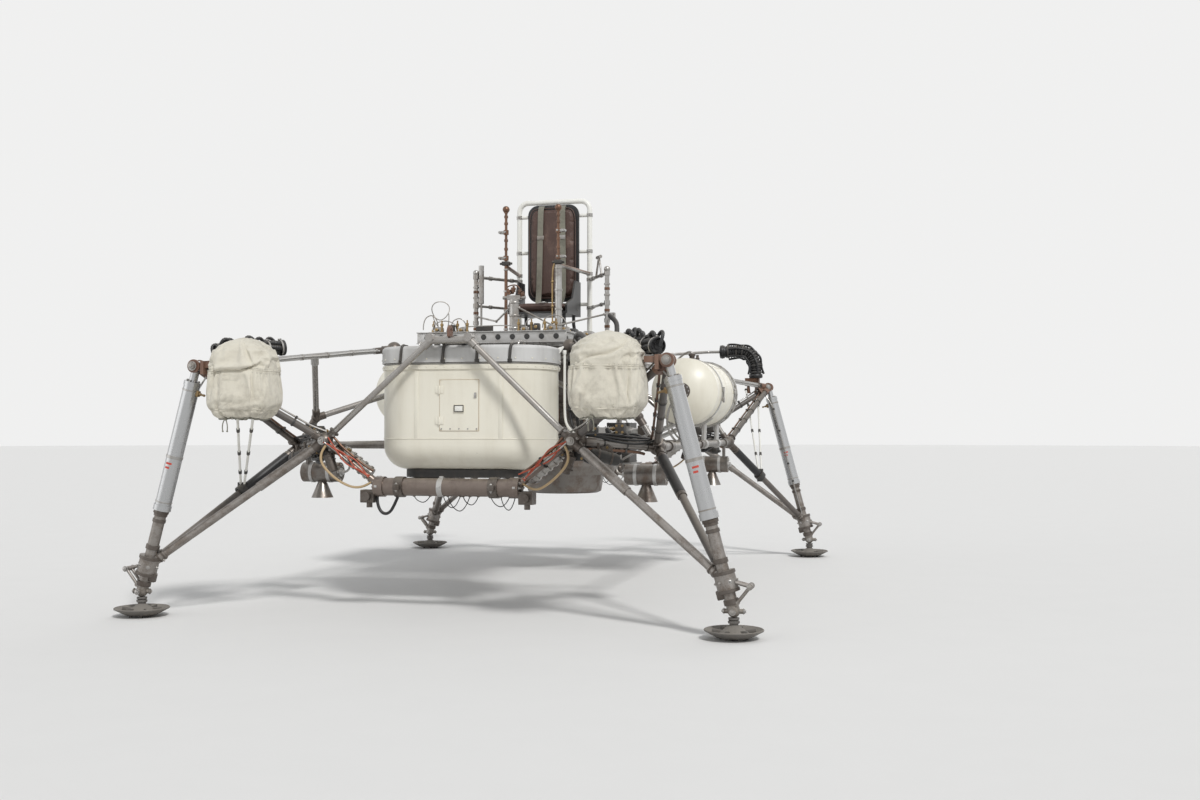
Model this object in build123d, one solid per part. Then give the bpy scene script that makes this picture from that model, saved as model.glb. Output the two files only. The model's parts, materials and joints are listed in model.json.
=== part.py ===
from build123d import *
from math import asin, copysign, cos, radians, sin, sqrt, tan
import os

# Lunar landing research vehicle, standing on its four legs.
# Millimetres. Origin on the ground at the middle of the footprint, +Z up,
# the front faces -Y and the vehicle's left side is +X.

# Overall stance
FOOT_X = 1790.0            # foot pads, from the centre line
STANCE_Y = 2350.0          # leg planes, fore and aft of the middle
LEG_TOP_X = 1433.0
LEG_TOP_Z = 1500.0
FOOT_JOINT_Z = 150.0       # universal joint over each pad
SEAT_GAP = 0.3             # running clearance where separate pieces meet

# Main frame stations
SHOULDER_X = 786.0         # front and rear shoulder fittings
SHOULDER_Y = 1961.0
SHOULDER_Z = 1055.0
SIDE_X = 1196.0            # side fittings
SIDE_Y = 1486.0
SIDE_Z = 1015.0
UPPER_X = 600.0            # upper corner fittings
UPPER_Y = 1330.0
UPPER_Z = 1650.0
APEX_X = 124.0             # ends of the bar on top of each A-frame
APEX_Y = 1890.0
APEX_Z = 1665.0
KEEL_X = 430.0             # ends of the stout lower tube
KEEL_Y = 1930.0
KEEL_Z = 775.0
REST_X = 300.0             # uprights behind the tub and behind the engine
FRONT_REST_Y = -1080.0
REAR_REST_Y = 1330.0
REST_Z = 1490.0            # where the inner diagonals meet them
HAUNCH_X = 1080.0          # small fittings on the inner diagonals
HAUNCH_Y = 1486.0
HAUNCH_Z = 1200.0
DECK_BEAMS_Y = (-1080.0, -380.0, 330.0)

# Frame tubes
MAIN_R = 25.0
CROSS_R = 22.0
DIAGONAL_R = 19.0
RAIL_HALF = 18.0           # corner rails are square
RAIL_SOCKET_GAP = 4.0      # a round socket reaches this far past the square rail
RAIL_STRUT_AT = 760.0      # along a corner rail, where its strut meets it
RAIL_LUG = 60.0

# Frame fittings
BOSS_WALL = 6.0            # a fitting's socket stands this much proud of its tube
BOSS_REACH = 85.0          # socket length from the fitting's middle
BALL_R = 50.0
BALL_TURN = (31.0, 17.0, 0.0)  # turns a ball's poles away from its sockets
HAUNCH_BALL = 32.0
HAUNCH_REACH = 62.0
TEE_REACH = 70.0
TEE_LENGTH = 90.0
TEE_WALL = 9.0

# A-frames and hoist eyes
APEX_BAR_R = 19.0
APEX_REACH = 60.0
HEAD_PROUD = 4.0           # the short top bar is this much thicker than the legs
HEAD_OVERHANG = 16.0
HEAD_EYE_R = 26.0
HEAD_EYE_WIDTH = 60.0
HEAD_EYE_RISE = 14.0
LUG_WALL = 16.0
LUG_R = 30.0
LUG_HEIGHT = 40.0
LUG_HOLE_R = 12.5

# Keel tubes and cradle
KEEL_R = 54.0
KEEL_CAP_LENGTH = 60.0
KEEL_CAP_PROUD = 8.0
CRADLE_Z = 800.0
CRADLE_R = 25.0
CRADLE_GRIP = 75.0         # bearer ends stop this far from the keel tube's middle line
CRADLE_CLAMP_PROUD = 9.0
CRADLE_CLAMP_LENGTH = 56.0
VALVE_LENGTH = 86.0
VALVE_DEPTH = 84.0
VALVE_HEIGHT = 78.0
VALVE_DROP = 58.0
VALVE_BOSS_R = 27.0
VALVE_BOSS_PROUD = 24.0
VALVE_CAP_R = 18.0
VALVE_CAP_HEIGHT = 30.0
VALVE_ROUND = 9.0

# Leg-top brackets
EAR_R = 40.0
EAR_WALL = 12.0
EYE_R = 34.0
EYE_WIDTH = 52.0
PIN_R = 14.0
PIN_PROUD = 11.0
BRACKET_REACH = 105.0
BRACKET_WEB = 22.0
BRACKET_WEB_SET = 16.0
BRACKET_WEB_DROP = 10.0

# Landing legs
NECK_R = 25.0
SHOCK_R = 48.0
SHOCK_TOP = 95.0           # shock cylinder, measured down the leg from its top pin
SHOCK_END = 890.0
SHOCK_RING = 5.0
SHOCK_RING_LENGTH = 34.0
SHOCK_CAP = 26.0
SHOCK_CAP_PROUD = 3.0
ROD_R = 34.0
KNUCKLE_AT = 1235.0
KNUCKLE_R = 58.0
KNUCKLE_LENGTH = 120.0
KNUCKLE_REACH = 120.0
BRACE_R = 24.0
SLEEVE_WALL = 5.0
SLEEVE_FROM = 0.62         # rubber sleeve starts this far up a leg brace
SLEEVE_STOP = 30.0
LINK_BAR_R = 9.0
LINK_REACH = 68.0
LINK_SINK = 6.0            # the link's bars end this deep in the knuckle and the rod
LINK_BEND_DROP = 22.0
LINK_DROP = 118.0
LINK_SPREAD = 24.0
LINK_PIN_OUT = (14.0, 8.0)     # cross pins of the link, past its bars
LINK_PIN_THICK = (5.0, 4.0)
FOOT_BALL_R = 34.0
FOOT_PIN_R = 13.0
FOOT_PIN_REACH = 52.0

# Foot pads
PAD_R = 160.0
PAD_DISH = 34.0
PAD_WALL = 7.0
PAD_EDGE = 6.0
PAD_FLAT_R = 96.0
PAD_HUB = 5.0              # extra thickness where the flat middle ends
STEM_R = 24.0
STEM_LENGTH = 24.0
YOKE_R = 30.0
YOKE_HEIGHT = 10.0
YOKE_FLARE = 6.0
CLEATS = 6
CLEAT_CIRCLE = 70.0
CLEAT_R = 9.0
CLEAT_DROP = 12.0
CLEAT_SINK = 2.0

# Front tub
TUB_HALF_X = 545.0
TUB_HALF_Y = 320.0
TUB_CORNER = 258.0
TUB_Y = -1500.0
TUB_BOTTOM = 875.0
TUB_RIM = 1520.0
TUB_ROUND = 150.0
RIM_LIP = 9.0
RIM_DEPTH = 28.0
NECK_SET = 24.0
LID_TOP = 1638.0
LID_GAP = 14.0
LID_PROUD = 13.0
LID_ROUND = 22.0
HATCH_X = 35.0
HATCH_Z = 1270.0
HATCH_W = 250.0
HATCH_H = 310.0
HATCH_PROUD = 4.0
HATCH_CORNER = 26.0
WINDOW_W = 66.0
WINDOW_H = 46.0
WINDOW_PROUD = 6.0
WINDOW_DROP = 20.0
PLINTH_HALF_X = 390.0
PLINTH_HALF_Y = 215.0
PLINTH_CORNER = 120.0

# Brackets between the A-frame's top bar and the lid
BRACKET_X = 62.0
BRACKET_WIDTH = 28.0
BRACKET_RISE = 22.0        # top edge over the lid where the bracket meets it
BRACKET_LAND = 60.0        # length of the foot that lies on the lid
BRACKET_LAND_FROM = 60.0
BRACKET_DEPTH = 20.0
BRACKET_TOE = 4.0
PLATE_AT = 96.0
PLATE_DEPTH = 90.0
PLATE_THICK = 10.0
PLATE_GAP = 3.0

# Side tanks
TANK_X = 1090.0
TANK_Z = 1400.0
TANK_R = 245.0
TANK_FRONT = 40.0
TANK_REAR = 940.0
TANK_DOME = 110.0
STRAP_WIDTH = 40.0
STRAP_WALL = 6.0
SADDLES_Y = (250.0, 850.0)
SADDLE_WIDTH = 60.0
SADDLE_THICK = 16.0
SADDLE_HALF_ANGLE = 42.0
SADDLE_LEG_R = 19.0
SADDLE_LEAN = 25.0
SADDLE_SOCKET = 2.0
FLANGE_PROUD = 18.0
FLANGE_THICK = 24.0

# Gimbal and its bearings
ENGINE_Y = 700.0
GIMBAL_Z = 1110.0
RING_R = 522.0
RING_HALF_WIDTH = 27.0
RING_HALF_HEIGHT = 30.0
GIMBAL_BEAM_X = 640.0
GIMBAL_FRAME_FRONT = 80.0
TRUNNION_R = 24.0
ROLL_PIN_R = 20.0
TRUNNION_GAP = 0.6
TRUNNION_PROUD = 12.0
ROLL_PIN_PROUD = 14.0
BLOCK_WIDTH = 70.0
BLOCK_LENGTH = 90.0
BLOCK_WALL = 20.0
BLOCK_FOOT = 18.0
BLOCK_FOOT_REACH = 40.0

# Engine
ENGINE_TOP = 1640.0
ENGINE_BOTTOM = 625.0
NOZZLE_R = 292.0
NOZZLE_LIP = 26.0
NOZZLE_FLARE = 22.0
COWL_R = 418.0
COWL_TOP = 1085.0
COWL_BOTTOM = 770.0
COWL_ROUND = 30.0
COWL_TAPER = 70.0
CORE_R = 236.0
CORE_TOP = 1330.0
INLET_R = 290.0
INLET_FROM = 1410.0
INLET_BORE = 272.0
INLET_DEPTH = 150.0
STUB_HEIGHT = 27.0
STUB_R = 44.0
ROTOR_R = 262.0
ROTOR_HUB_R = 78.0
ROTOR_TOP = 1604.0
ROTOR_THICK = 40.0
ROTOR_CONE = 32.0
ROTOR_CONE_STEPS = ((0.56, 0.56), (0.18, 0.94))  # shares of its radius and height
ROTOR_SHAFT_R = 24.0
ROTOR_SHAFT_GAP = 8.0
ROTOR_BLADES = 16
BLADE_TURN = 38.0
BLADE_THICK = 5.0
BLADE_SINK = 12.0

# Deck
DECK_HALF_X = 520.0
DECK_FRONT = -1120.0
DECK_REAR = 430.0
DECK_TOP = 1775.0
DECK_THICK = 12.0
RIB_WALL = 8.0
RIB_FLANGE = 34.0
RIB_FLANGE_WALL = 6.0
RIB_HOLE_R = 24.0
RIB_HOLE_STEP = 155.0
DECK_RIBS_X = (-500.0, -170.0, 170.0, 500.0)

# Seat
SEAT_Y = 400.0
SEAT_FRAME_X = 283.0
SEAT_FRAME_TOP = 2912.0
SEAT_TUBE_R = 20.0
SEAT_FRAME_BEND = 70.0
FOOT_FLANGE = 16.0
FOOT_FLANGE_THICK = 10.0
RUNG_R = 14.0
SEAT_RUNGS_Z = (2090.0, 2500.0, 2780.0)
PAN_HALF_WIDTH = 230.0
PAN_FRONT = -60.0
PAN_REAR = 330.0
PAN_BOTTOM = 1985.0
PAN_WALL = 14.0
PAN_SIDE_HEIGHT = 84.0
PAN_NOSE_DROP = 24.0
PAN_NOSE = 30.0
ARM_TOP = 2250.0
ARM_LENGTH = 150.0
ARM_SLOPE = 80.0
ARM_RISE_FROM = 36.0
PAN_LEG_R = 13.0
PAN_LEG_IN = 40.0
PAN_LEG_BEND = 30.0
PAN_LEG_KNEES = (90.0, 150.0)  # heights over the deck where a pan leg bends
PAN_LEG_SET = 60.0
PAN_LEG_SPLAY = (70.0, 40.0)
BACK_HALF_WIDTH = 205.0
BACK_TOP = 2865.0
BACK_BOTTOM = 2110.0
BACK_CORNER = 80.0
BACK_WALL = 16.0
CUSHION_HEIGHT = 62.0
CUSHION_SIDE_GAP = 2.0
CUSHION_END_GAP = 10.0
CUSHION_ROUND = 14.0
PAD_THICKNESS = 46.0
PAD_BORDER = 10.0

# Posts, pedestal and foot rests round the seat
POST_X = 512.0
POST_Y = 30.0
POST_TOP = 2310.0
POST_R = 17.0
POST_FOOT_R = 34.0
POST_FOOT = 12.0
POST_KNOB_R = 24.0
POST_RAIL_DROP = 30.0
POST_RAIL_R = 12.0
POST_LOWER_RAIL_Z = 2060.0
POST_LOWER_RAIL_R = 10.0
DAMPER_R = 20.0
DAMPER_GAP = 5.0
DAMPER_BOTTOM = 2075.0
DAMPER_TOP = 2365.0
DAMPER_ROD_R = 8.0
DAMPER_CLAMP = 26.0
TRESTLE_FEET = (0.3, 0.62)     # feet of the small trestle, as shares of the rail
TRESTLE_TOP = 2425.0
TRESTLE_R = 8.0
TRESTLE_HEAD_R = 13.0
TRESTLE_HEAD = 84.0
ROD_X = 200.0
ROD_Y = -195.0
ARM_Z = 2325.0
THICK_POST_R = 25.5
THIN_POST_R = 12.0
ROD_FOOT_PROUD = 14.0
HAND_ROD_R = 10.0
HAND_ROD_LENGTH = 420.0
HAND_KNOB_R = 26.0
ROD_CLAMP_R = 19.0
ROD_CLAMP_LENGTH = 34.0
ROD_CLAMPS_AT = (60.0, 250.0)
ARM_BAR_R = 14.0
PEDESTAL_Y = -620.0
PEDESTAL_R = 33.0
PEDESTAL_TOP = 2033.0
PEDESTAL_FOOT_PROUD = 24.0
PEDESTAL_FOOT = 16.0
HEAD_BLOCK = (96.0, 40.0, 30.0)
HEAD_BLOCK_LIFT = 14.0
HEAD_PIPE_X = 62.0
HEAD_PIPE_R = 12.0
HEAD_PIPE = 40.0
FOOTREST_X = 150.0
FOOTREST_WIDTH = 120.0
FOOTREST_LENGTH = 250.0
FOOTREST_AHEAD = 80.0
FOOTREST_THICK = 16.0
TOE_BOARD = 14.0
TOE_BOARD_HEIGHT = 60.0

# Front corners: canvas covers and hose bundles
BAG_X = 1104.0
BAG_Y = -2390.0
BAG_R = 200.0              # half-width
BAG_FLATTEN = 0.825        # depth over width
BAG_CURVE = 1.06           # how far the cover curves away where its arm meets it
BAG_TOP = 1662.0
BAG_BOTTOM = 1188.0
BAG_NECK_R = 120.0
BAG_SKIRT = 130.0
BAG_SKIRT_SET = 20.0
BAG_WAIST = 240.0
BAG_SHOULDER = 110.0
BAG_CROWN = 32.0
BAG_CROWN_SET = 42.0
BUNDLE_R = 52.0
BUNDLE_FROM = 125.0        # along the corner rail, from the leg top
BUNDLE_TO = 560.0
HOSE_R = 18.0
HOSE_LEAVES_RAIL = 1000.0
HOSE_BEND = 250.0          # widest bend
HOSE_END_Z = 1960.0
HOSE_BLOCK_X = 60.0        # block on the left post that takes the hose
HOSE_BLOCK_Y = 44.0
HOSE_BLOCK_HEIGHT = 52.0
HOSE_LAST_RUN = 68.0

# Rear corners: open thrusters and ducts
POD_X = 1285.0
POD_Z = 1550.0
POD_SET_BACK = 30.0
POD_HALF = 62.0
POD_DEPTH = 90.0
POD_HEIGHT = 70.0
BELL_R = 16.0
BELL_LENGTH = 60.0
BELL_THROAT_R = 9.0
BELL_SPREAD = (36.0, 22.0)
BELL_RIM_R = 18.0
BELL_RIM = 10.0
ARM_DEPTH = 46.0
ARM_HEIGHT = 34.0
ARM_LIFT = 6.0
ARM_BACK = 27.0
DUCT_R = 62.0
DUCT_OUT = 35.0
DUCT_RISE = 80.0
DUCT_BEND = 90.0
DUCT_CREST_X = 1245.0
DUCT_END_X = 1000.0
DUCT_Z = 1824.0
PIPE_R = 13.0
PIPE_BEND = 40.0
PIPE_Z = 1760.0

# Lift rockets, canisters and rear equipment
ROCKET_X = 1100.0
FRONT_ROCKET_Y = 1350.0
REAR_ROCKET_Y = 1240.0
ROCKET_Z = 840.0
ROCKET_R = 65.0
ROCKET_LENGTH = 260.0
ROCKET_BELL_R = 72.0
ROCKET_THROAT_R = 26.0
ROCKET_BELL = 110.0
ROCKET_BELL_SINK = 7.0
HANGER_WALL = 16.0
HANGER_WIDTH = 70.0
CANISTER_R = 40.0
CANISTER_RIB = 7.0
CANISTER_RIBS = 5
CANISTER_RIB_WIDTH = 14.0
CANISTER_FROM = 110.0
CANISTER_TO = 340.0
CANISTER_SKEW = 1.0023     # the struts lean this much out of the plane across the vehicle
PLATFORM_OVERHANG = 80.0
PLATFORM_DEPTH = 430.0
PLATFORM_THICK = 16.0
PLATFORM_BACK = 10.0
CASE_CORNER = 12.0
EQUIPMENT = (
    # centre x, width, depth, height
    (-250.0, 200.0, 330.0, 300.0),
    (0.0, 240.0, 360.0, 220.0),
    (250.0, 200.0, 300.0, 340.0),
)

SIDES = {"left": 1, "right": -1}
ENDS = {"front": -1, "rear": 1}
CORNERS = {f"{e}_{s}": (SIDES[s], ENDS[e]) for e in ENDS for s in SIDES}


def save(name, *solids):
    """Write one sub-part as parts/NAME.step."""
    found = [solid for shape in solids for solid in shape.solids()]
    export_step(Compound(children=found), f"parts/{name}.step")


def rod(start, end, radius, from_start=0.0, from_end=0.0):
    """A round bar between two points, held back from each end."""
    axis = Vector(*end) - Vector(*start)
    length = axis.length - from_start - from_end
    origin = Vector(*start) + axis.normalized() * from_start
    place = Plane(origin=origin, z_dir=axis)
    return place * Cylinder(radius, length, align=(Align.CENTER, Align.CENTER, Align.MIN))


def bar(start, end, width, height, from_start=0.0, from_end=0.0):
    """A square-cornered bar between two points, its height kept upright."""
    axis = Vector(*end) - Vector(*start)
    length = axis.length - from_start - from_end
    origin = Vector(*start) + axis.normalized() * from_start
    side = axis.cross(Vector(0, 0, 1))
    place = Plane(origin=origin, x_dir=side, z_dir=axis)
    return place * Box(width, height, length, align=(Align.CENTER, Align.CENTER, Align.MIN))


def cluster(centre, arms, ball=BALL_R, reach=BOSS_REACH):
    """A frame fitting: a ball with one socket for each tube that meets it."""
    body = Pos(*centre) * Rot(*BALL_TURN) * Sphere(ball)
    for target, radius in arms:
        body += rod(centre, tuple(point_along(centre, target, reach)), radius + BOSS_WALL)
    return body


def toward(start, end):
    """Unit direction from one point to another."""
    return (Vector(*end) - Vector(*start)).normalized()


def point_along(start, end, distance):
    """The point at a distance from start on the way to end."""
    return Vector(*start) + toward(start, end) * distance


def leg_top(sx, sy):
    """Middle of a leg's top pin."""
    return (sx * LEG_TOP_X, sy * STANCE_Y, LEG_TOP_Z)


def foot_joint(sx, sy):
    """Middle of the universal joint over a foot pad."""
    return (sx * FOOT_X, sy * STANCE_Y, FOOT_JOINT_Z)


def shoulder(sx, sy):
    """Middle of a shoulder fitting, at the foot of an A-frame."""
    return (sx * SHOULDER_X, sy * SHOULDER_Y, SHOULDER_Z)


def side_point(sx, sy):
    """Middle of a side fitting, at the end of a side beam."""
    return (sx * SIDE_X, sy * SIDE_Y, SIDE_Z)


def upper(sx, sy):
    """Middle of an upper corner fitting."""
    return (sx * UPPER_X, sy * UPPER_Y, UPPER_Z)


def apex(sx, sy):
    """End of an A-frame's leg, at its top bar."""
    return (sx * APEX_X, sy * APEX_Y, APEX_Z)


def keel(sx, sy):
    """End of a keel tube."""
    return (sx * KEEL_X, sy * KEEL_Y, KEEL_Z)


def knuckle(sx, sy):
    """Middle of the knuckle where a leg's two braces meet it."""
    return tuple(point_along(leg_top(sx, sy), foot_joint(sx, sy), KNUCKLE_AT))


def upper_rest(sx, sy):
    """Where the inner diagonals meet the uprights."""
    return (sx * REST_X, rest_y(sy), REST_Z)


def rest_y(sy):
    """Where the front or the rear uprights stand."""
    return FRONT_REST_Y if sy < 0 else REAR_REST_Y


def haunch(sx, sy):
    """Middle of the small fitting where an inner diagonal forks."""
    return (sx * HAUNCH_X, sy * HAUNCH_Y, HAUNCH_Z)


def rail_mid(sx, sy):
    """Where a corner rail is held by its strut."""
    return tuple(point_along(leg_top(sx, sy), upper(sx, sy), RAIL_STRUT_AT))


def above_rail(sx, sy, distance, clearance):
    """A point over a corner rail: so far from the leg top, so far above the rail's middle line."""
    along = toward(leg_top(sx, sy), upper(sx, sy))
    up = (Vector(0, 0, 1) - along * along.Z).normalized()
    return tuple(point_along(leg_top(sx, sy), upper(sx, sy), distance) + up * clearance)


def across(centre, radius, length):
    """A round bar lying fore and aft, centred on a point."""
    return Pos(*centre) * Rot(90, 0, 0) * Cylinder(radius, length)


def tee(centre, along, beam_r, arms):
    """A collar clamped round a continuous tube, with sockets for others."""
    middle = Vector(*centre)
    half = Vector(*along).normalized() * (TEE_LENGTH / 2)
    body = rod(tuple(middle - half), tuple(middle + half), beam_r + TEE_WALL)
    for target, radius in arms:
        body += rod(centre, tuple(point_along(centre, target, TEE_REACH)), radius + BOSS_WALL)
    return body - rod(tuple(middle - half * 3), tuple(middle + half * 3), beam_r)


def four_ways(shape):
    """A shape and its mirror images left to right and front to back."""
    pair = [shape, mirror(shape, about=Plane.YZ)]
    return pair + [mirror(piece, about=Plane.XZ) for piece in pair]


def rounded_plan(half_x, half_y, corner, bottom, top):
    """An upright block whose plan is a rectangle with round corners."""
    outline = RectangleRounded(2 * half_x, 2 * half_y, corner)
    return Pos(0, 0, bottom) * extrude(outline, top - bottom)


def lower_tubes():
    """Side beams, shoulder tubes, cross tubes and the beams beside the engine."""
    tubes = []
    for s in SIDES.values():
        tubes.append(rod(side_point(s, -1), side_point(s, 1), MAIN_R, BOSS_REACH, BOSS_REACH))
        start = (s * GIMBAL_BEAM_X, GIMBAL_FRAME_FRONT, SIDE_Z)
        end = (s * GIMBAL_BEAM_X, REAR_REST_Y, SIDE_Z)
        tubes.append(rod(start, end, MAIN_R, TEE_REACH, TEE_REACH))
        for e in ENDS.values():
            tubes.append(rod(shoulder(s, e), side_point(s, e), MAIN_R, BOSS_REACH, BOSS_REACH))
            inner, outer = (s * REST_X, rest_y(e), SIDE_Z), (s * SIDE_X, rest_y(e), SIDE_Z)
            tubes.append(rod(inner, outer, CROSS_R, BOSS_REACH, TEE_REACH))
    for e in ENDS.values():
        left, right = (-REST_X, rest_y(e), SIDE_Z), (REST_X, rest_y(e), SIDE_Z)
        tubes.append(rod(left, right, CROSS_R, BOSS_REACH, BOSS_REACH))
    left, right = (-SIDE_X, GIMBAL_FRAME_FRONT, SIDE_Z), (SIDE_X, GIMBAL_FRAME_FRONT, SIDE_Z)
    tubes.append(rod(left, right, CROSS_R, TEE_REACH, TEE_REACH))
    return tubes


def upper_tubes():
    """Upper fore-and-aft beams with the cross-beams that carry the deck."""
    tubes = []
    for s in SIDES.values():
        tubes.append(rod(upper(s, -1), upper(s, 1), MAIN_R, BOSS_REACH, BOSS_REACH))
    for y in DECK_BEAMS_Y:
        left, right = (-UPPER_X, y, UPPER_Z), (UPPER_X, y, UPPER_Z)
        tubes.append(rod(left, right, CROSS_R, TEE_REACH, TEE_REACH))
    tubes.append(rod(upper(-1, 1), upper(1, 1), CROSS_R, BOSS_REACH, BOSS_REACH))
    return tubes


def inner_struts():
    """Uprights, and the struts that run from the side fittings up to them."""
    tubes = []
    for s, e in CORNERS.values():
        low = (s * REST_X, rest_y(e), CRADLE_Z)
        middle = (s * REST_X, rest_y(e), SIDE_Z)
        high = (s * REST_X, rest_y(e), UPPER_Z)
        tubes.append(rod(low, middle, CROSS_R, HAUNCH_REACH, BOSS_REACH))
        tubes.append(rod(middle, high, CROSS_R, BOSS_REACH, TEE_REACH))
        tubes.append(rod(side_point(s, e), haunch(s, e), DIAGONAL_R, BOSS_REACH, HAUNCH_REACH))
        tubes.append(rod(haunch(s, e), upper_rest(s, e), DIAGONAL_R, HAUNCH_REACH, TEE_REACH))
        tubes.append(rod(haunch(s, e), rail_mid(s, e), DIAGONAL_R, HAUNCH_REACH, RAIL_LUG))
    return tubes


def frame_fittings():
    """Welded clusters and clamped tees where the frame tubes meet."""
    front_shoulder = cluster(shoulder(1, -1), [
        (side_point(1, -1), MAIN_R), (leg_top(1, -1), CROSS_R), (apex(1, -1), APEX_BAR_R),
        (keel(1, -1), DIAGONAL_R), (knuckle(1, -1), BRACE_R)])
    front_side = cluster(side_point(1, -1), [
        (shoulder(1, -1), MAIN_R), (leg_top(1, -1), CROSS_R), (side_point(1, 1), MAIN_R),
        (haunch(1, -1), DIAGONAL_R), (knuckle(1, -1), BRACE_R)])
    parts = four_ways(front_shoulder) + four_ways(front_side)
    for s, e in CORNERS.values():
        parts.append(cluster(haunch(s, e), [
            (side_point(s, e), DIAGONAL_R), (upper_rest(s, e), DIAGONAL_R), (rail_mid(s, e), DIAGONAL_R)],
            HAUNCH_BALL, HAUNCH_REACH))
        beams = [(upper(s, -e), MAIN_R), (leg_top(s, e), RAIL_HALF + RAIL_SOCKET_GAP)]
        if e > 0:
            beams.append((upper(-s, e), CROSS_R))
        parts.append(cluster(upper(s, e), beams))
    for s, e in CORNERS.values():
        x, y = s * REST_X, rest_y(e)
        parts.append(cluster((x, y, SIDE_Z), [
            ((s * SIDE_X, y, SIDE_Z), CROSS_R), ((-x, y, SIDE_Z), CROSS_R),
            ((x, y, CRADLE_Z), CROSS_R), ((x, y, UPPER_Z), CROSS_R)], HAUNCH_BALL))
        parts.append(cluster((x, y, CRADLE_Z), [
            ((x, y, SIDE_Z), CROSS_R), ((x, e * KEEL_Y, CRADLE_Z), CRADLE_R)], HAUNCH_BALL, HAUNCH_REACH))
        parts.append(tee((x, y, UPPER_Z), (1, 0, 0), CROSS_R, [((x, y, SIDE_Z), CROSS_R)]))
        parts.append(tee(upper_rest(s, e), (0, 0, 1), CROSS_R, [(haunch(s, e), DIAGONAL_R)]))
        parts.append(tee((s * SIDE_X, y, SIDE_Z), (0, 1, 0), MAIN_R, [((0, y, SIDE_Z), CROSS_R)]))
    for s in SIDES.values():
        front = (s * SIDE_X, GIMBAL_FRAME_FRONT, SIDE_Z)
        parts.append(tee(front, (0, 1, 0), MAIN_R, [((0, GIMBAL_FRAME_FRONT, SIDE_Z), CROSS_R)]))
        for y in DECK_BEAMS_Y:
            parts.append(tee((s * UPPER_X, y, UPPER_Z), (0, 1, 0), MAIN_R, [((0, y, UPPER_Z), CROSS_R)]))
        for y, way in ((GIMBAL_FRAME_FRONT, 1), (REAR_REST_Y, -1)):
            behind = (s * GIMBAL_BEAM_X, y + way, SIDE_Z)
            parts.append(tee((s * GIMBAL_BEAM_X, y, SIDE_Z), (1, 0, 0), CROSS_R, [(behind, MAIN_R)]))
    return parts


def corner_rails():
    """Square rails from the leg tops up to the upper corners, each with a lug for its strut."""
    rails = []
    for s, e in CORNERS.values():
        rail = bar(leg_top(s, e), upper(s, e), 2 * RAIL_HALF, 2 * RAIL_HALF, BRACKET_REACH, BOSS_REACH)
        lug_end = tuple(point_along(rail_mid(s, e), haunch(s, e), RAIL_LUG))
        rails.append(rail + rod(rail_mid(s, e), lug_end, DIAGONAL_R + BOSS_WALL))
    return rails


def outriggers():
    """Tubes from the shoulder and side fittings out to the leg tops."""
    return [rod(root(s, e), leg_top(s, e), CROSS_R, BOSS_REACH, BRACKET_REACH)
            for s, e in CORNERS.values() for root in (shoulder, side_point)]


def leg_top_brackets():
    """Forked brackets at the leg tops: sockets for the frame, ears for the leg."""
    parts = []
    for s, e in CORNERS.values():
        top = leg_top(s, e)
        body = None
        for target, radius in ((shoulder(s, e), CROSS_R), (side_point(s, e), CROSS_R),
                               (upper(s, e), RAIL_HALF + RAIL_SOCKET_GAP)):
            socket = rod(top, tuple(point_along(top, target, BRACKET_REACH)), radius + BOSS_WALL)
            body = socket if body is None else body + socket
        body -= Pos(*top) * Box(3 * EAR_R, EYE_WIDTH + 2 * SEAT_GAP, 3 * EAR_R)
        for side in (-1, 1):
            ear_y = top[1] + side * (EYE_WIDTH / 2 + SEAT_GAP + EAR_WALL / 2)
            body += across((top[0], ear_y, top[2]), EAR_R, EAR_WALL)
        back = Pos(top[0] - s * (EAR_R + BRACKET_WEB_SET), top[1], top[2] - BRACKET_WEB_DROP)
        body += back * Box(BRACKET_WEB, EYE_WIDTH + 2 * EAR_WALL + 2 * SEAT_GAP, 2 * EAR_R)
        body += across(top, PIN_R, EYE_WIDTH + 2 * EAR_WALL + 2 * PIN_PROUD)
        parts.append(body)
    return parts


def shock_cylinder(s, e):
    """Polished outer cylinder of a leg, hung from its eye at the leg top."""
    top, foot = leg_top(s, e), foot_joint(s, e)
    end = tuple(point_along(top, foot, SHOCK_END))
    neck_end = tuple(point_along(top, foot, SHOCK_TOP + SEAT_GAP))
    cap_end = tuple(point_along(top, foot, SHOCK_TOP + SHOCK_CAP))
    leg = across(top, EYE_R, EYE_WIDTH)
    leg += rod(top, neck_end, NECK_R)
    leg += rod(top, end, SHOCK_R, SHOCK_TOP)
    leg += rod(top, end, SHOCK_R + SHOCK_RING, SHOCK_END - SHOCK_RING_LENGTH)
    leg += rod(top, cap_end, SHOCK_R + SHOCK_CAP_PROUD, SHOCK_TOP)
    return leg - across(top, PIN_R, 3 * EYE_WIDTH)


def torque_link(s, e):
    """Outboard loop of round bar between the knuckle and the rod below it."""
    knee = Vector(*knuckle(s, e))
    down = toward(leg_top(s, e), foot_joint(s, e))
    out = Vector(s, 0, 0)
    high = knee + out * (KNUCKLE_R - LINK_SINK)
    bend = knee + out * (KNUCKLE_R + LINK_REACH) + down * LINK_BEND_DROP
    low = knee + out * (ROD_R - LINK_SINK) + down * LINK_DROP
    loop = None
    for y in (-LINK_SPREAD, LINK_SPREAD):
        shift = Vector(0, y, 0)
        for a, b in ((high, bend), (bend, low)):
            piece = rod(tuple(a + shift), tuple(b + shift), LINK_BAR_R)
            loop = piece if loop is None else loop + piece
    for middle, reach, thick in zip((bend, low), LINK_PIN_OUT, LINK_PIN_THICK):
        width = Vector(0, LINK_SPREAD + reach, 0)
        loop += rod(tuple(middle - width), tuple(middle + width), LINK_BAR_R + thick)
    return loop


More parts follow.
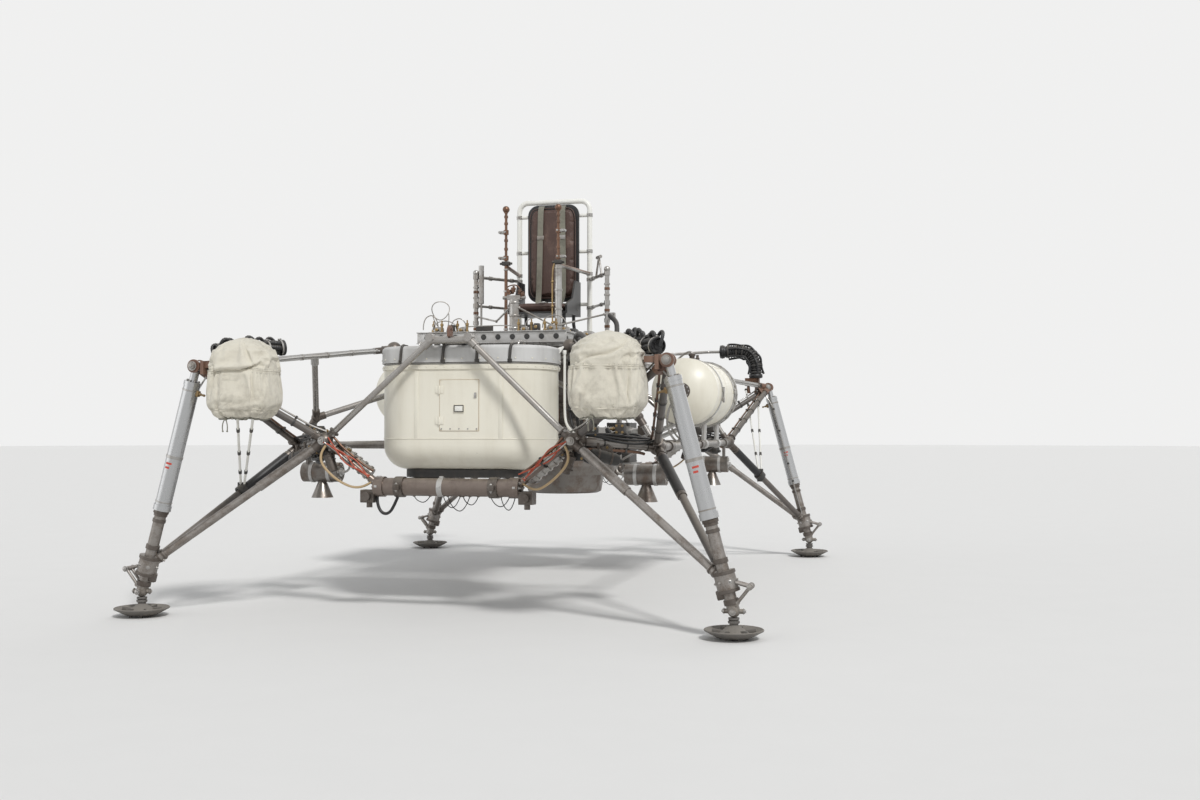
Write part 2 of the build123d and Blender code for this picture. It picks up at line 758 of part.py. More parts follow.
def piston_strut(s, e):
    """Piston rod, knuckle with its two brace sockets, torque link and foot joint."""
    top, foot, knee = leg_top(s, e), foot_joint(s, e), knuckle(s, e)
    body = rod(top, foot, ROD_R, SHOCK_END)
    body += rod(top, tuple(point_along(top, foot, KNUCKLE_AT + KNUCKLE_LENGTH / 2)), KNUCKLE_R,
                KNUCKLE_AT - KNUCKLE_LENGTH / 2)
    for target in (shoulder(s, e), side_point(s, e)):
        body += rod(knee, tuple(point_along(knee, target, KNUCKLE_REACH)), BRACE_R + BOSS_WALL)
    body += Pos(*foot) * Sphere(FOOT_BALL_R)
    for turn in (Rot(90, 0, 0), Rot(0, 90, 0)):
        body += Pos(*foot) * turn * Cylinder(FOOT_PIN_R, 2 * FOOT_PIN_REACH)
    return body + torque_link(s, e)


def leg_brace(knee, target):
    """A lower strut of a leg, with a sleeve on its upper part."""
    length = (Vector(*target) - Vector(*knee)).length
    strut = rod(knee, target, BRACE_R, KNUCKLE_REACH, BOSS_REACH)
    sleeve_end = BOSS_REACH + SLEEVE_STOP
    return strut + rod(knee, target, BRACE_R + SLEEVE_WALL, length * SLEEVE_FROM, sleeve_end)


def foot_pad(s, e):
    """Shallow dished pad with a conical stem and studs under it."""
    x, y, z = foot_joint(s, e)
    cup = z - FOOT_BALL_R
    rim = CLEAT_DROP + PAD_DISH
    yoke = cup - YOKE_HEIGHT
    with BuildSketch(Plane.XZ) as section:
        with BuildLine():
            Polyline((0, CLEAT_DROP), (PAD_FLAT_R, CLEAT_DROP), (PAD_R, rim), (PAD_R, rim + PAD_WALL),
                     (PAD_R - PAD_EDGE, rim + PAD_WALL),
                     (PAD_FLAT_R, CLEAT_DROP + PAD_WALL + PAD_HUB),
                     (STEM_R, yoke - YOKE_FLARE - STEM_LENGTH), (STEM_R, yoke - YOKE_FLARE),
                     (YOKE_R, yoke), (YOKE_R, cup), (0, cup), close=True)
        make_face()
    pad = revolve(section.sketch, Axis.Z)
    stud = Pos(CLEAT_CIRCLE, 0, (CLEAT_DROP + CLEAT_SINK) / 2) * Cylinder(CLEAT_R, CLEAT_DROP + CLEAT_SINK)
    for step in range(CLEATS):
        pad += Rot(0, 0, 360 / CLEATS * step) * stud
    return Pos(x, y, 0) * pad


def a_frame(e):
    """Inverted V over the tub end, with its short top bar."""
    parts = []
    for s in SIDES.values():
        parts.append(rod(shoulder(s, e), apex(s, e), APEX_BAR_R, BOSS_REACH, APEX_REACH))
    reach = APEX_X + HEAD_OVERHANG
    head = rod((-reach, e * APEX_Y, APEX_Z), (reach, e * APEX_Y, APEX_Z), APEX_BAR_R + HEAD_PROUD)
    for s in SIDES.values():
        socket_end = tuple(point_along(apex(s, e), shoulder(s, e), APEX_REACH))
        head += rod(apex(s, e), socket_end, APEX_BAR_R + BOSS_WALL)
        head += across((s * APEX_X, e * APEX_Y, APEX_Z + HEAD_EYE_RISE), HEAD_EYE_R, HEAD_EYE_WIDTH)
    return [head] + parts


def keel_tube(e):
    """Stout lower cross tube, its end fittings and the struts up to the shoulders."""
    cap_half = KEEL_CAP_LENGTH / 2
    parts = [rod(keel(-1, e), keel(1, e), KEEL_R, cap_half, cap_half)]
    for s in SIDES.values():
        end = Pos(*keel(s, e)) * Rot(0, 90, 0) * Cylinder(KEEL_R + KEEL_CAP_PROUD, KEEL_CAP_LENGTH)
        end += rod(keel(s, e), tuple(point_along(keel(s, e), shoulder(s, e), BOSS_REACH)),
                   DIAGONAL_R + BOSS_WALL)
        parts.append(end)
        parts.append(rod(keel(s, e), shoulder(s, e), DIAGONAL_R, BOSS_REACH, BOSS_REACH))
    return parts


def valve_blocks():
    """Machined valve blocks on the ends of the keel tubes, each with a boss and a cap."""
    parts = []
    for s, e in CORNERS.values():
        x = s * (KEEL_X + (KEEL_CAP_LENGTH + VALVE_LENGTH) / 2)
        z = KEEL_Z - VALVE_DROP
        block = Box(VALVE_LENGTH, VALVE_DEPTH, VALVE_HEIGHT)
        block = fillet(block.edges().filter_by(Axis.X), VALVE_ROUND)
        block += Pos(0, e * (VALVE_DEPTH + VALVE_BOSS_PROUD) / 2, 0) * Rot(90, 0, 0) * Cylinder(
            VALVE_BOSS_R, VALVE_BOSS_PROUD)
        block += Pos(0, 0, -(VALVE_HEIGHT + VALVE_CAP_HEIGHT) / 2) * Cylinder(VALVE_CAP_R, VALVE_CAP_HEIGHT)
        parts.append(Pos(x, e * KEEL_Y, z) * block)
    return parts


def cradle(e):
    """Fore-and-aft bearers between the keel tube and the uprights."""
    parts = []
    front_y = e * (KEEL_Y - CRADLE_GRIP)
    for s in SIDES.values():
        x = s * REST_X
        parts.append(rod((x, rest_y(e), CRADLE_Z), (x, front_y, CRADLE_Z), CRADLE_R, HAUNCH_REACH))
        middle = Pos(x, e * KEEL_Y, KEEL_Z) * Rot(0, 90, 0)
        collar = middle * Cylinder(KEEL_R + CRADLE_CLAMP_PROUD, CRADLE_CLAMP_LENGTH)
        collar += rod((x, front_y, CRADLE_Z), (x, e * KEEL_Y, CRADLE_Z), CRADLE_R + BOSS_WALL)
        parts.append(collar - middle * Cylinder(KEEL_R, 2 * CRADLE_CLAMP_LENGTH))
    return parts


def tub():
    """Closed oval tub with a big rounded bottom edge and a thin rim lip."""
    body = Pos(0, TUB_Y) * rounded_plan(TUB_HALF_X, TUB_HALF_Y, TUB_CORNER, TUB_BOTTOM, TUB_RIM)
    body = fillet(body.edges().group_by(Axis.Z)[0], TUB_ROUND)
    lip = rounded_plan(TUB_HALF_X + RIM_LIP, TUB_HALF_Y + RIM_LIP, TUB_CORNER + RIM_LIP,
                       TUB_RIM - RIM_DEPTH, TUB_RIM)
    neck = rounded_plan(TUB_HALF_X - NECK_SET, TUB_HALF_Y - NECK_SET, TUB_CORNER - NECK_SET,
                        TUB_RIM, TUB_RIM + LID_GAP)
    return body + Pos(0, TUB_Y) * (lip + neck)


def tub_lid():
    """Deep lid with a soft upper edge, set proud of the tub all round."""
    lid = rounded_plan(TUB_HALF_X + LID_PROUD, TUB_HALF_Y + LID_PROUD, TUB_CORNER + LID_PROUD,
                       TUB_RIM + LID_GAP, LID_TOP)
    lid = fillet(lid.edges().group_by(Axis.Z)[-1], LID_ROUND)
    return Pos(0, TUB_Y) * lid


def lid_brackets():
    """Strap brackets from the A-frame's top bar down to the lid, and the plate between them."""
    parts = []
    front = TUB_Y - TUB_HALF_Y - LID_PROUD
    bar_y = -APEX_Y + APEX_BAR_R + BOSS_WALL
    land_from = front + BRACKET_LAND_FROM
    for s in SIDES.values():
        with BuildSketch(Plane.YZ) as section:
            with BuildLine():
                Polyline((bar_y, APEX_Z + BOSS_WALL),
                         (land_from - PLATE_THICK, LID_TOP + BRACKET_RISE),
                         (land_from + BRACKET_LAND, LID_TOP), (land_from, LID_TOP),
                         (land_from - BRACKET_LAND / 2, LID_TOP + BRACKET_TOE),
                         (bar_y, APEX_Z + BOSS_WALL - BRACKET_DEPTH), close=True)
            make_face()
        strap = extrude(section.sketch, BRACKET_WIDTH / 2, both=True)
        parts.append(Pos(s * BRACKET_X, 0, 0) * strap)
    width = 2 * BRACKET_X - BRACKET_WIDTH - 2 * PLATE_GAP
    parts.append(Pos(0, front + PLATE_AT, LID_TOP + PLATE_THICK / 2) * Box(width, PLATE_DEPTH, PLATE_THICK))
    return parts


def tub_hatch():
    """Raised hatch on the tub's front with a small framed window plate."""
    face = TUB_Y - TUB_HALF_Y
    panel = Pos(HATCH_X, face - HATCH_PROUD / 2, HATCH_Z) * Rot(90, 0, 0) * extrude(
        RectangleRounded(HATCH_W, HATCH_H, HATCH_CORNER), HATCH_PROUD / 2, both=True)
    frame_y = face - HATCH_PROUD - WINDOW_PROUD / 2
    frame = Pos(HATCH_X, frame_y, HATCH_Z - WINDOW_DROP) * Box(WINDOW_W, WINDOW_PROUD, WINDOW_H)
    return panel + frame


def tub_plinth():
    """Dark plinth under the tub, on the cradle's bearers."""
    base = CRADLE_Z + CRADLE_R
    plinth = rounded_plan(PLINTH_HALF_X, PLINTH_HALF_Y, PLINTH_CORNER, base, TUB_BOTTOM)
    return Pos(0, TUB_Y) * plinth


def side_tank(s):
    """Drum tank lying fore and aft with domed ends."""
    ball_r = (TANK_R ** 2 + TANK_DOME ** 2) / (2 * TANK_DOME)
    mid_r = ball_r * sin(asin(TANK_R / ball_r) / 2)
    mid_out = sqrt(ball_r ** 2 - mid_r ** 2) - (ball_r - TANK_DOME)
    with BuildSketch(Plane.XY) as section:
        with BuildLine():
            Line((0, TANK_FRONT - TANK_DOME), (0, TANK_REAR + TANK_DOME))
            ThreePointArc((0, TANK_REAR + TANK_DOME), (mid_r, TANK_REAR + mid_out), (TANK_R, TANK_REAR))
            Line((TANK_R, TANK_REAR), (TANK_R, TANK_FRONT))
            ThreePointArc((TANK_R, TANK_FRONT), (mid_r, TANK_FRONT - mid_out), (0, TANK_FRONT - TANK_DOME))
        make_face()
    return Pos(s * TANK_X, 0, TANK_Z) * revolve(section.sketch, Axis.Y)


def tank_saddles():
    """Curved saddles under the tanks and their legs."""
    parts = []
    outer = TANK_R + SADDLE_THICK
    beam_r = MAIN_R + TEE_WALL
    for s in SIDES.values():
        for y in SADDLES_Y:
            ring = across((s * TANK_X, y, TANK_Z), outer, SADDLE_WIDTH)
            ring -= across((s * TANK_X, y, TANK_Z), TANK_R, 2 * SADDLE_WIDTH)
            drop = outer * cos(radians(SADDLE_HALF_ANGLE))
            below = Pos(s * TANK_X, y, TANK_Z - drop - outer)
            parts.append(ring & below * Box(3 * outer, 3 * SADDLE_WIDTH, 2 * outer))
            for lean, foot_x in ((SADDLE_LEAN, SIDE_X), (-SADDLE_LEAN, GIMBAL_BEAM_X)):
                angle = radians(lean)
                start = (s * (TANK_X + outer * sin(angle)), y, TANK_Z - outer * cos(angle))
                foot = (s * foot_x, y, SIDE_Z)
                parts.append(rod(start, foot, SADDLE_LEG_R, 0, beam_r + SADDLE_SOCKET))
                socket_end = tuple(point_along(foot, start, beam_r + SADDLE_SOCKET))
                collar = across(foot, beam_r, TEE_LENGTH) + rod(foot, socket_end, SADDLE_LEG_R)
                parts.append(collar - across(foot, MAIN_R, 2 * TEE_LENGTH))
    return parts


def tank_bands():
    """Clamping bands round each drum, above its saddles, and the rear flange ring."""
    parts = []
    for s in SIDES.values():
        for y in SADDLES_Y:
            band = across((s * TANK_X, y, TANK_Z), TANK_R + STRAP_WALL, STRAP_WIDTH)
            band -= across((s * TANK_X, y, TANK_Z), TANK_R, 2 * STRAP_WIDTH)
            drop = (TANK_R + SADDLE_THICK) * cos(radians(SADDLE_HALF_ANGLE))
            below = Pos(s * TANK_X, y, TANK_Z - drop - TANK_R)
            parts.append(band - below * Box(3 * TANK_R, 3 * STRAP_WIDTH, 2 * TANK_R))
        middle = (s * TANK_X, TANK_REAR - FLANGE_THICK / 2, TANK_Z)
        flange = across(middle, TANK_R + FLANGE_PROUD, FLANGE_THICK)
        parts.append(flange - across(middle, TANK_R, 2 * FLANGE_THICK))
    return parts


def bearing_blocks():
    """Pillow blocks on the inner beams that carry the gimbal ring's trunnions."""
    parts = []
    base = SIDE_Z + MAIN_R
    top = GIMBAL_Z + TRUNNION_R + BLOCK_WALL
    for s in SIDES.values():
        x = s * GIMBAL_BEAM_X
        block = Pos(x, ENGINE_Y, (base + top) / 2) * Box(BLOCK_WIDTH, BLOCK_LENGTH, top - base)
        foot = Box(BLOCK_WIDTH, BLOCK_LENGTH + 2 * BLOCK_FOOT_REACH, BLOCK_FOOT)
        block += Pos(x, ENGINE_Y, base + BLOCK_FOOT / 2) * foot
        bore = Rot(0, 90, 0) * Cylinder(TRUNNION_R + TRUNNION_GAP, 3 * BLOCK_WIDTH)
        parts.append(block - Pos(x, ENGINE_Y, GIMBAL_Z) * bore)
    return parts


def gimbal_ring():
    """Ring round the engine: side trunnions in the blocks, fore and aft bores for the engine."""
    ring = Cylinder(RING_R + RING_HALF_WIDTH, 2 * RING_HALF_HEIGHT)
    ring -= Cylinder(RING_R - RING_HALF_WIDTH, 4 * RING_HALF_HEIGHT)
    pin_end = GIMBAL_BEAM_X + BLOCK_WIDTH / 2 + TRUNNION_PROUD
    for s in SIDES.values():
        ring += rod((s * RING_R, 0, 0), (s * pin_end, 0, 0), TRUNNION_R)
    for e in ENDS.values():
        bore_from, bore_to = RING_R - 2 * RING_HALF_HEIGHT, RING_R + 2 * RING_HALF_HEIGHT
        ring -= rod((0, e * bore_from, 0), (0, e * bore_to, 0), ROLL_PIN_R + TRUNNION_GAP)
    return Pos(0, ENGINE_Y, GIMBAL_Z) * ring


def engine():
    """Closed turbofan block: inlet drum, core, broad aft-fan cowl, nozzle and trunnions."""
    floor = ENGINE_TOP - INLET_DEPTH
    with BuildSketch(Plane.XZ) as section:
        with BuildLine():
            Polyline((0, ENGINE_BOTTOM), (NOZZLE_R - NOZZLE_LIP, ENGINE_BOTTOM),
                     (NOZZLE_R, ENGINE_BOTTOM + NOZZLE_LIP / 2), (NOZZLE_R + NOZZLE_FLARE, COWL_BOTTOM),
                     (COWL_R - COWL_ROUND, COWL_BOTTOM), (COWL_R, COWL_BOTTOM + COWL_TAPER),
                     (COWL_R, COWL_TOP - COWL_ROUND), (COWL_R - COWL_ROUND, COWL_TOP),
                     (CORE_R, COWL_TOP), (CORE_R, CORE_TOP), (INLET_R, INLET_FROM),
                     (INLET_R, floor), (0, floor), close=True)
        make_face()
    body = Pos(0, ENGINE_Y, 0) * revolve(section.sketch, Axis.Z)
    for e in ENDS.values():
        start = (0, ENGINE_Y + e * (CORE_R - ROLL_PIN_R), GIMBAL_Z)
        end = (0, ENGINE_Y + e * (RING_R + RING_HALF_WIDTH + ROLL_PIN_PROUD), GIMBAL_Z)
        body += rod(start, end, ROLL_PIN_R)
    return body


def engine_inlet():
    """Straight intake duct on top of the engine, with the rotor's bearing stub in it."""
    floor = ENGINE_TOP - INLET_DEPTH
    duct = Cylinder(INLET_R, INLET_DEPTH) - Cylinder(INLET_BORE, 2 * INLET_DEPTH)
    stub = Cylinder(STUB_R, STUB_HEIGHT) - Cylinder(ROTOR_SHAFT_R + TRUNNION_GAP, 2 * STUB_HEIGHT)
    on_floor = Pos(0, ENGINE_Y, floor)
    return [on_floor * Pos(0, 0, INLET_DEPTH / 2) * duct, on_floor * Pos(0, 0, STUB_HEIGHT / 2) * stub]


def hoist_lugs():
    """Upright eye plates on the A-frames' top bars."""
    parts = []
    base = APEX_Z + APEX_BAR_R
    for e in ENDS.values():
        eye = Pos(0, e * APEX_Y, base + LUG_HEIGHT) * Rot(0, 90, 0)
        bar_hole = Pos(0, e * APEX_Y, APEX_Z) * Rot(0, 90, 0)
        plate = Pos(0, e * APEX_Y, base + LUG_HEIGHT / 2) * Box(LUG_WALL, 2 * LUG_R, LUG_HEIGHT)
        plate += eye * Cylinder(LUG_R, LUG_WALL)
        plate -= bar_hole * Cylinder(APEX_BAR_R + HEAD_PROUD, 3 * LUG_WALL)
        parts.append(plate - eye * Cylinder(LUG_HOLE_R, 3 * LUG_WALL))
    return parts


def engine_rotor():
    """First rotor stage seen down the inlet: cone, hub disc and flat blades."""
    cone = [(ROTOR_HUB_R * across_share, ROTOR_TOP + ROTOR_CONE * up_share)
            for across_share, up_share in ROTOR_CONE_STEPS]
    with BuildSketch(Plane.XZ) as section:
        with BuildLine():
            Polyline((0, ROTOR_TOP - ROTOR_THICK), (ROTOR_HUB_R, ROTOR_TOP - ROTOR_THICK),
                     (ROTOR_HUB_R, ROTOR_TOP), *cone, (0, ROTOR_TOP + ROTOR_CONE), close=True)
        make_face()
    rotor = revolve(section.sketch, Axis.Z)
    shaft_bottom = ENGINE_TOP - INLET_DEPTH + ROTOR_SHAFT_GAP
    rotor += rod((0, 0, shaft_bottom), (0, 0, ROTOR_TOP), ROTOR_SHAFT_R)
    span = ROTOR_R - ROTOR_HUB_R + BLADE_SINK
    blade = Pos(ROTOR_R - span / 2, 0, ROTOR_TOP - ROTOR_THICK / 2) * Rot(BLADE_TURN, 0, 0) * Box(
        span, BLADE_THICK, ROTOR_THICK)
    for step in range(ROTOR_BLADES):
        rotor += Rot(0, 0, 360 / ROTOR_BLADES * step) * blade
    return Pos(0, ENGINE_Y, 0) * rotor


def deck_ribs():
    """Fore-and-aft channels with lightening holes, standing on the cross-beams."""
    parts = []
    base = UPPER_Z + CROSS_R
    height = DECK_TOP - DECK_THICK - base
    middle_y = (DECK_FRONT + DECK_REAR) / 2
    length = DECK_REAR - DECK_FRONT
    holes = int(length / RIB_HOLE_STEP)
    for x in DECK_RIBS_X:
        rib = Pos(x, middle_y, base + height / 2) * Box(RIB_WALL, length, height)
        flange_x = x - copysign(RIB_FLANGE / 2 - RIB_WALL / 2, x)
        for z in (base + RIB_FLANGE_WALL / 2, base + height - RIB_FLANGE_WALL / 2):
            rib += Pos(flange_x, middle_y, z) * Box(RIB_FLANGE, length, RIB_FLANGE_WALL)
        for step in range(holes):
            y = DECK_FRONT + (step + 0.5) * length / holes
            hole = Rot(0, 90, 0) * Cylinder(RIB_HOLE_R, 3 * RIB_WALL)
            rib -= Pos(x, y, base + height / 2) * hole
        parts.append(rib)
    return parts


def deck_plate():
    """Flat deck on the ribs, open over the engine's inlet behind it."""
    middle_y = (DECK_FRONT + DECK_REAR) / 2
    plate = Box(2 * DECK_HALF_X, DECK_REAR - DECK_FRONT, DECK_THICK)
    return Pos(0, middle_y, DECK_TOP - DECK_THICK / 2) * plate


def bent_tube(points, radius, bend):
    """A round tube along straight runs joined by bends."""
    path = FilletPolyline(*points, radius=bend)
    return sweep(Plane(origin=path @ 0, z_dir=path % 0) * Circle(radius), path=path)


def seat_frame():
    """White inverted U behind the seat with its feet."""
    x, top = SEAT_FRAME_X, SEAT_FRAME_TOP - SEAT_TUBE_R
    hoop = bent_tube([(-x, SEAT_Y, DECK_TOP), (-x, SEAT_Y, top), (x, SEAT_Y, top), (x, SEAT_Y, DECK_TOP)],
                     SEAT_TUBE_R, SEAT_FRAME_BEND)
    foot = Cylinder(SEAT_TUBE_R + FOOT_FLANGE, FOOT_FLANGE_THICK)
    for side in SIDES.values():
        hoop += Pos(side * x, SEAT_Y, DECK_TOP + FOOT_FLANGE_THICK / 2) * foot
    return hoop


def seat_rungs():
    """Cross rungs of the seat hoop, behind the seat back."""
    start, end = (-SEAT_FRAME_X, SEAT_Y, 0), (SEAT_FRAME_X, SEAT_Y, 0)
    rung = rod(start, end, RUNG_R, SEAT_TUBE_R, SEAT_TUBE_R)
    return [Pos(0, 0, z) * rung for z in SEAT_RUNGS_Z]


def back_face_y():
    """Front face of the seat's back shell, which rests on the hoop's rungs."""
    return SEAT_Y - RUNG_R - BACK_WALL


def pan_side(s):
    """One upstanding side of the seat pan, rising to an arm at the back."""
    floor = PAN_BOTTOM + PAN_WALL
    arm_front = PAN_REAR - ARM_LENGTH
    nose_top = PAN_BOTTOM + PAN_SIDE_HEIGHT
    with BuildSketch(Plane.YZ) as section:
        with BuildLine():
            Polyline((PAN_FRONT, floor), (PAN_REAR, floor), (PAN_REAR, ARM_TOP), (arm_front, ARM_TOP),
                     (arm_front - ARM_SLOPE, nose_top + ARM_RISE_FROM), (PAN_FRONT + PAN_NOSE, nose_top),
                     (PAN_FRONT, nose_top - PAN_NOSE_DROP), close=True)
        make_face()
    return Pos(s * (PAN_HALF_WIDTH - PAN_WALL / 2), 0, 0) * extrude(section.sketch, PAN_WALL / 2, both=True)


def seat_bucket():
    """Black seat pan with curved sides, carried on bent legs, and the back shell."""
    pan_y = (PAN_FRONT + PAN_REAR) / 2
    floor = Box(2 * PAN_HALF_WIDTH, PAN_REAR - PAN_FRONT, PAN_WALL)
    parts = [Pos(0, pan_y, PAN_BOTTOM + PAN_WALL / 2) * floor]
    low, high = PAN_LEG_KNEES
    for s in SIDES.values():
        parts.append(pan_side(s))
        x = s * (PAN_HALF_WIDTH - PAN_LEG_IN)
        tops = (PAN_FRONT + PAN_LEG_SET, PAN_REAR - PAN_LEG_SET)
        for y, foot_y in zip(tops, (tops[0] - PAN_LEG_SPLAY[0], tops[1] + PAN_LEG_SPLAY[1])):
            parts.append(bent_tube([(x, foot_y, DECK_TOP), (x, foot_y, DECK_TOP + low),
                                    (x, y, DECK_TOP + high), (x, y, PAN_BOTTOM)],
                                   PAN_LEG_R, PAN_LEG_BEND))
    shell = extrude(RectangleRounded(2 * BACK_HALF_WIDTH, BACK_TOP - BACK_BOTTOM, BACK_CORNER),
                    BACK_WALL / 2, both=True)
    middle = Pos(0, back_face_y() + BACK_WALL / 2, (BACK_BOTTOM + BACK_TOP) / 2)
    parts.append(middle * Rot(90, 0, 0) * shell)
    return parts


def seat_cushion():
    """Cushion lying in the pan."""
    pan_y = (PAN_FRONT + PAN_REAR) / 2
    width = 2 * (PAN_HALF_WIDTH - PAN_WALL - CUSHION_SIDE_GAP)
    block = Box(width, PAN_REAR - PAN_FRONT - 2 * CUSHION_END_GAP, CUSHION_HEIGHT)
    block = fillet(block.edges(), CUSHION_ROUND)
    return Pos(0, pan_y, PAN_BOTTOM + PAN_WALL + SEAT_GAP + CUSHION_HEIGHT / 2) * block


def back_pad():
    """Pad on the front of the seat's back shell."""
    outline = RectangleRounded(2 * (BACK_HALF_WIDTH - PAD_BORDER), BACK_TOP - BACK_BOTTOM - 2 * PAD_BORDER,
                               BACK_CORNER - PAD_BORDER)
    pad = extrude(outline, PAD_THICKNESS / 2, both=True)
    middle_y = back_face_y() - SEAT_GAP - PAD_THICKNESS / 2
    return Pos(0, middle_y, (BACK_BOTTOM + BACK_TOP) / 2) * Rot(90, 0, 0) * pad


def damper():
    """Damper beside the right post: a silver cylinder over a thin rod, clamped to the post."""
    x = -(POST_X - POST_R - DAMPER_GAP - DAMPER_R)
    body = rod((x, POST_Y, DAMPER_BOTTOM), (x, POST_Y, DAMPER_TOP), DAMPER_R)
    body += rod((x, POST_Y, DECK_TOP), (x, POST_Y, DAMPER_BOTTOM), DAMPER_ROD_R)
    for z in (DAMPER_BOTTOM + DAMPER_CLAMP, POST_TOP - POST_RAIL_DROP - 2 * DAMPER_CLAMP):
        middle = (-POST_X + x) / 2
        body += Pos(middle, POST_Y, z) * Box(POST_X + x, 2 * POST_R, DAMPER_CLAMP)
    return body


def trestle():
    """Small trestle standing on the left post's upper rail, with a cross bar on top."""
    z = POST_TOP - POST_RAIL_DROP
    start, end = Vector(POST_X, POST_Y, z), Vector(SEAT_FRAME_X, SEAT_Y, z)
    along = (end - start).normalized()
    feet = [start + (end - start) * share for share in TRESTLE_FEET]
    top = (feet[0] + feet[1]) * 0.5
    top.Z = TRESTLE_TOP
    body = None
    for foot in feet:
        leg = rod(tuple(foot), tuple(top), TRESTLE_R)
        body = leg if body is None else body + leg
    return body + rod(tuple(top - along * (TRESTLE_HEAD / 2)), tuple(top + along * (TRESTLE_HEAD / 2)),
                      TRESTLE_HEAD_R)


def side_posts():
    """Posts each side of the seat, their cross rails, the right damper and the left trestle."""
    parts = []
    for s in SIDES.values():
        x, hoop_x = s * POST_X, s * SEAT_FRAME_X
        post = rod((x, POST_Y, DECK_TOP), (x, POST_Y, POST_TOP), POST_R)
        post += Pos(x, POST_Y, DECK_TOP + POST_FOOT / 2) * Cylinder(POST_FOOT_R, POST_FOOT)
        post += Pos(x, POST_Y, POST_TOP) * Sphere(POST_KNOB_R)
        z = POST_TOP - POST_RAIL_DROP
        upper_rail = rod((x, POST_Y, z), (hoop_x, SEAT_Y, z), POST_RAIL_R, POST_R, SEAT_TUBE_R)
        z = POST_LOWER_RAIL_Z
        lower_rail = rod((x, POST_Y, z), (hoop_x, SEAT_Y, z), POST_LOWER_RAIL_R, POST_R, SEAT_TUBE_R)
        if s < 0:
            post += damper()
        else:
            upper_rail += trestle()
            post += Pos(x + HOSE_BLOCK_X / 2, POST_Y, HOSE_END_Z) * Box(
                HOSE_BLOCK_X, HOSE_BLOCK_Y, HOSE_BLOCK_HEIGHT)
        parts += [post, upper_rail, lower_rail]
    return parts


def control_posts():
    """Front posts of the station with their arm bars, rods and knobs."""
    parts = []
    for s in SIDES.values():
        r = THICK_POST_R if s > 0 else THIN_POST_R
        x = s * ROD_X
        post = rod((x, ROD_Y, DECK_TOP), (x, ROD_Y, ARM_Z), r)
        post += Pos(x, ROD_Y, DECK_TOP + POST_FOOT / 2) * Cylinder(r + ROD_FOOT_PROUD, POST_FOOT)
        post += rod((x, ROD_Y, ARM_Z), (x, ROD_Y, ARM_Z + HAND_ROD_LENGTH), HAND_ROD_R)
        post += Pos(x, ROD_Y, ARM_Z + HAND_ROD_LENGTH) * Sphere(HAND_KNOB_R)
        for lift in ROD_CLAMPS_AT:
            post += Pos(x, ROD_Y, ARM_Z + lift) * Cylinder(ROD_CLAMP_R, ROD_CLAMP_LENGTH)
        parts.append(post)
        parts.append(rod((x, ROD_Y, ARM_Z), (s * SEAT_FRAME_X, SEAT_Y, ARM_Z), ARM_BAR_R, r, SEAT_TUBE_R))
    return parts


def pedestal():
    """Pedestal ahead of the seat, with pipe fittings on its head."""
    body = rod((0, PEDESTAL_Y, DECK_TOP), (0, PEDESTAL_Y, PEDESTAL_TOP), PEDESTAL_R)
    body += Pos(0, PEDESTAL_Y, DECK_TOP + PEDESTAL_FOOT / 2) * Cylinder(
        PEDESTAL_R + PEDESTAL_FOOT_PROUD, PEDESTAL_FOOT)
    head_z = PEDESTAL_TOP + HEAD_BLOCK_LIFT
    body += Pos(0, PEDESTAL_Y, head_z) * Box(*HEAD_BLOCK)
    for s in SIDES.values():
        body += Pos(s * HEAD_PIPE_X, PEDESTAL_Y, head_z) * Rot(0, 90, 0) * Cylinder(HEAD_PIPE_R, HEAD_PIPE)
    return body


def footrests():
    """Foot plates beside the pedestal, each with a toe board."""
    parts = []
    plate_y = PEDESTAL_Y - FOOTREST_AHEAD
    toe_y = plate_y - (FOOTREST_LENGTH - TOE_BOARD) / 2 + 1
    toe_z = DECK_TOP + FOOTREST_THICK / 4 + TOE_BOARD_HEIGHT / 2
    for s in SIDES.values():
        x = s * FOOTREST_X
        rest = Pos(x, plate_y, DECK_TOP + FOOTREST_THICK / 2) * Box(
            FOOTREST_WIDTH, FOOTREST_LENGTH, FOOTREST_THICK)
        parts.append(rest + Pos(x, toe_y, toe_z) * Box(FOOTREST_WIDTH, TOE_BOARD, TOE_BOARD_HEIGHT))
    return parts


def canvas_cover(s):
    """Canvas bag over a front thruster cluster: round crown, gathered bottom."""
    with BuildSketch(Plane.XZ) as section:
        with BuildLine():
            Polyline((0, BAG_BOTTOM), (BAG_NECK_R, BAG_BOTTOM),
                     (BAG_R - BAG_SKIRT_SET, BAG_BOTTOM + BAG_SKIRT),
                     (BAG_R, BAG_BOTTOM + BAG_WAIST), (BAG_R, BAG_TOP - BAG_SHOULDER),
                     (BAG_R - BAG_CROWN_SET, BAG_TOP - BAG_CROWN), (BAG_R - BAG_SHOULDER, BAG_TOP),
                     (0, BAG_TOP), close=True)
        make_face()
    cover = scale(revolve(section.sketch, Axis.Z), by=(1, BAG_FLATTEN, 1))
    return Pos(s * BAG_X, BAG_Y, 0) * cover


def thruster_arms():
    """Boxed arms from the leg-top brackets inboard to the thruster clusters."""
    parts = []
    outer = LEG_TOP_X - EAR_R - ARM_BACK
    for s, e in CORNERS.values():
        inner = BAG_X + BAG_R - BAG_CURVE + SEAT_GAP if e < 0 else POD_X + POD_HALF
        arm = Box(outer - inner, ARM_DEPTH, ARM_HEIGHT)
        parts.append(Pos(s * (inner + outer) / 2, e * STANCE_Y, LEG_TOP_Z + ARM_LIFT) * arm)
    return parts


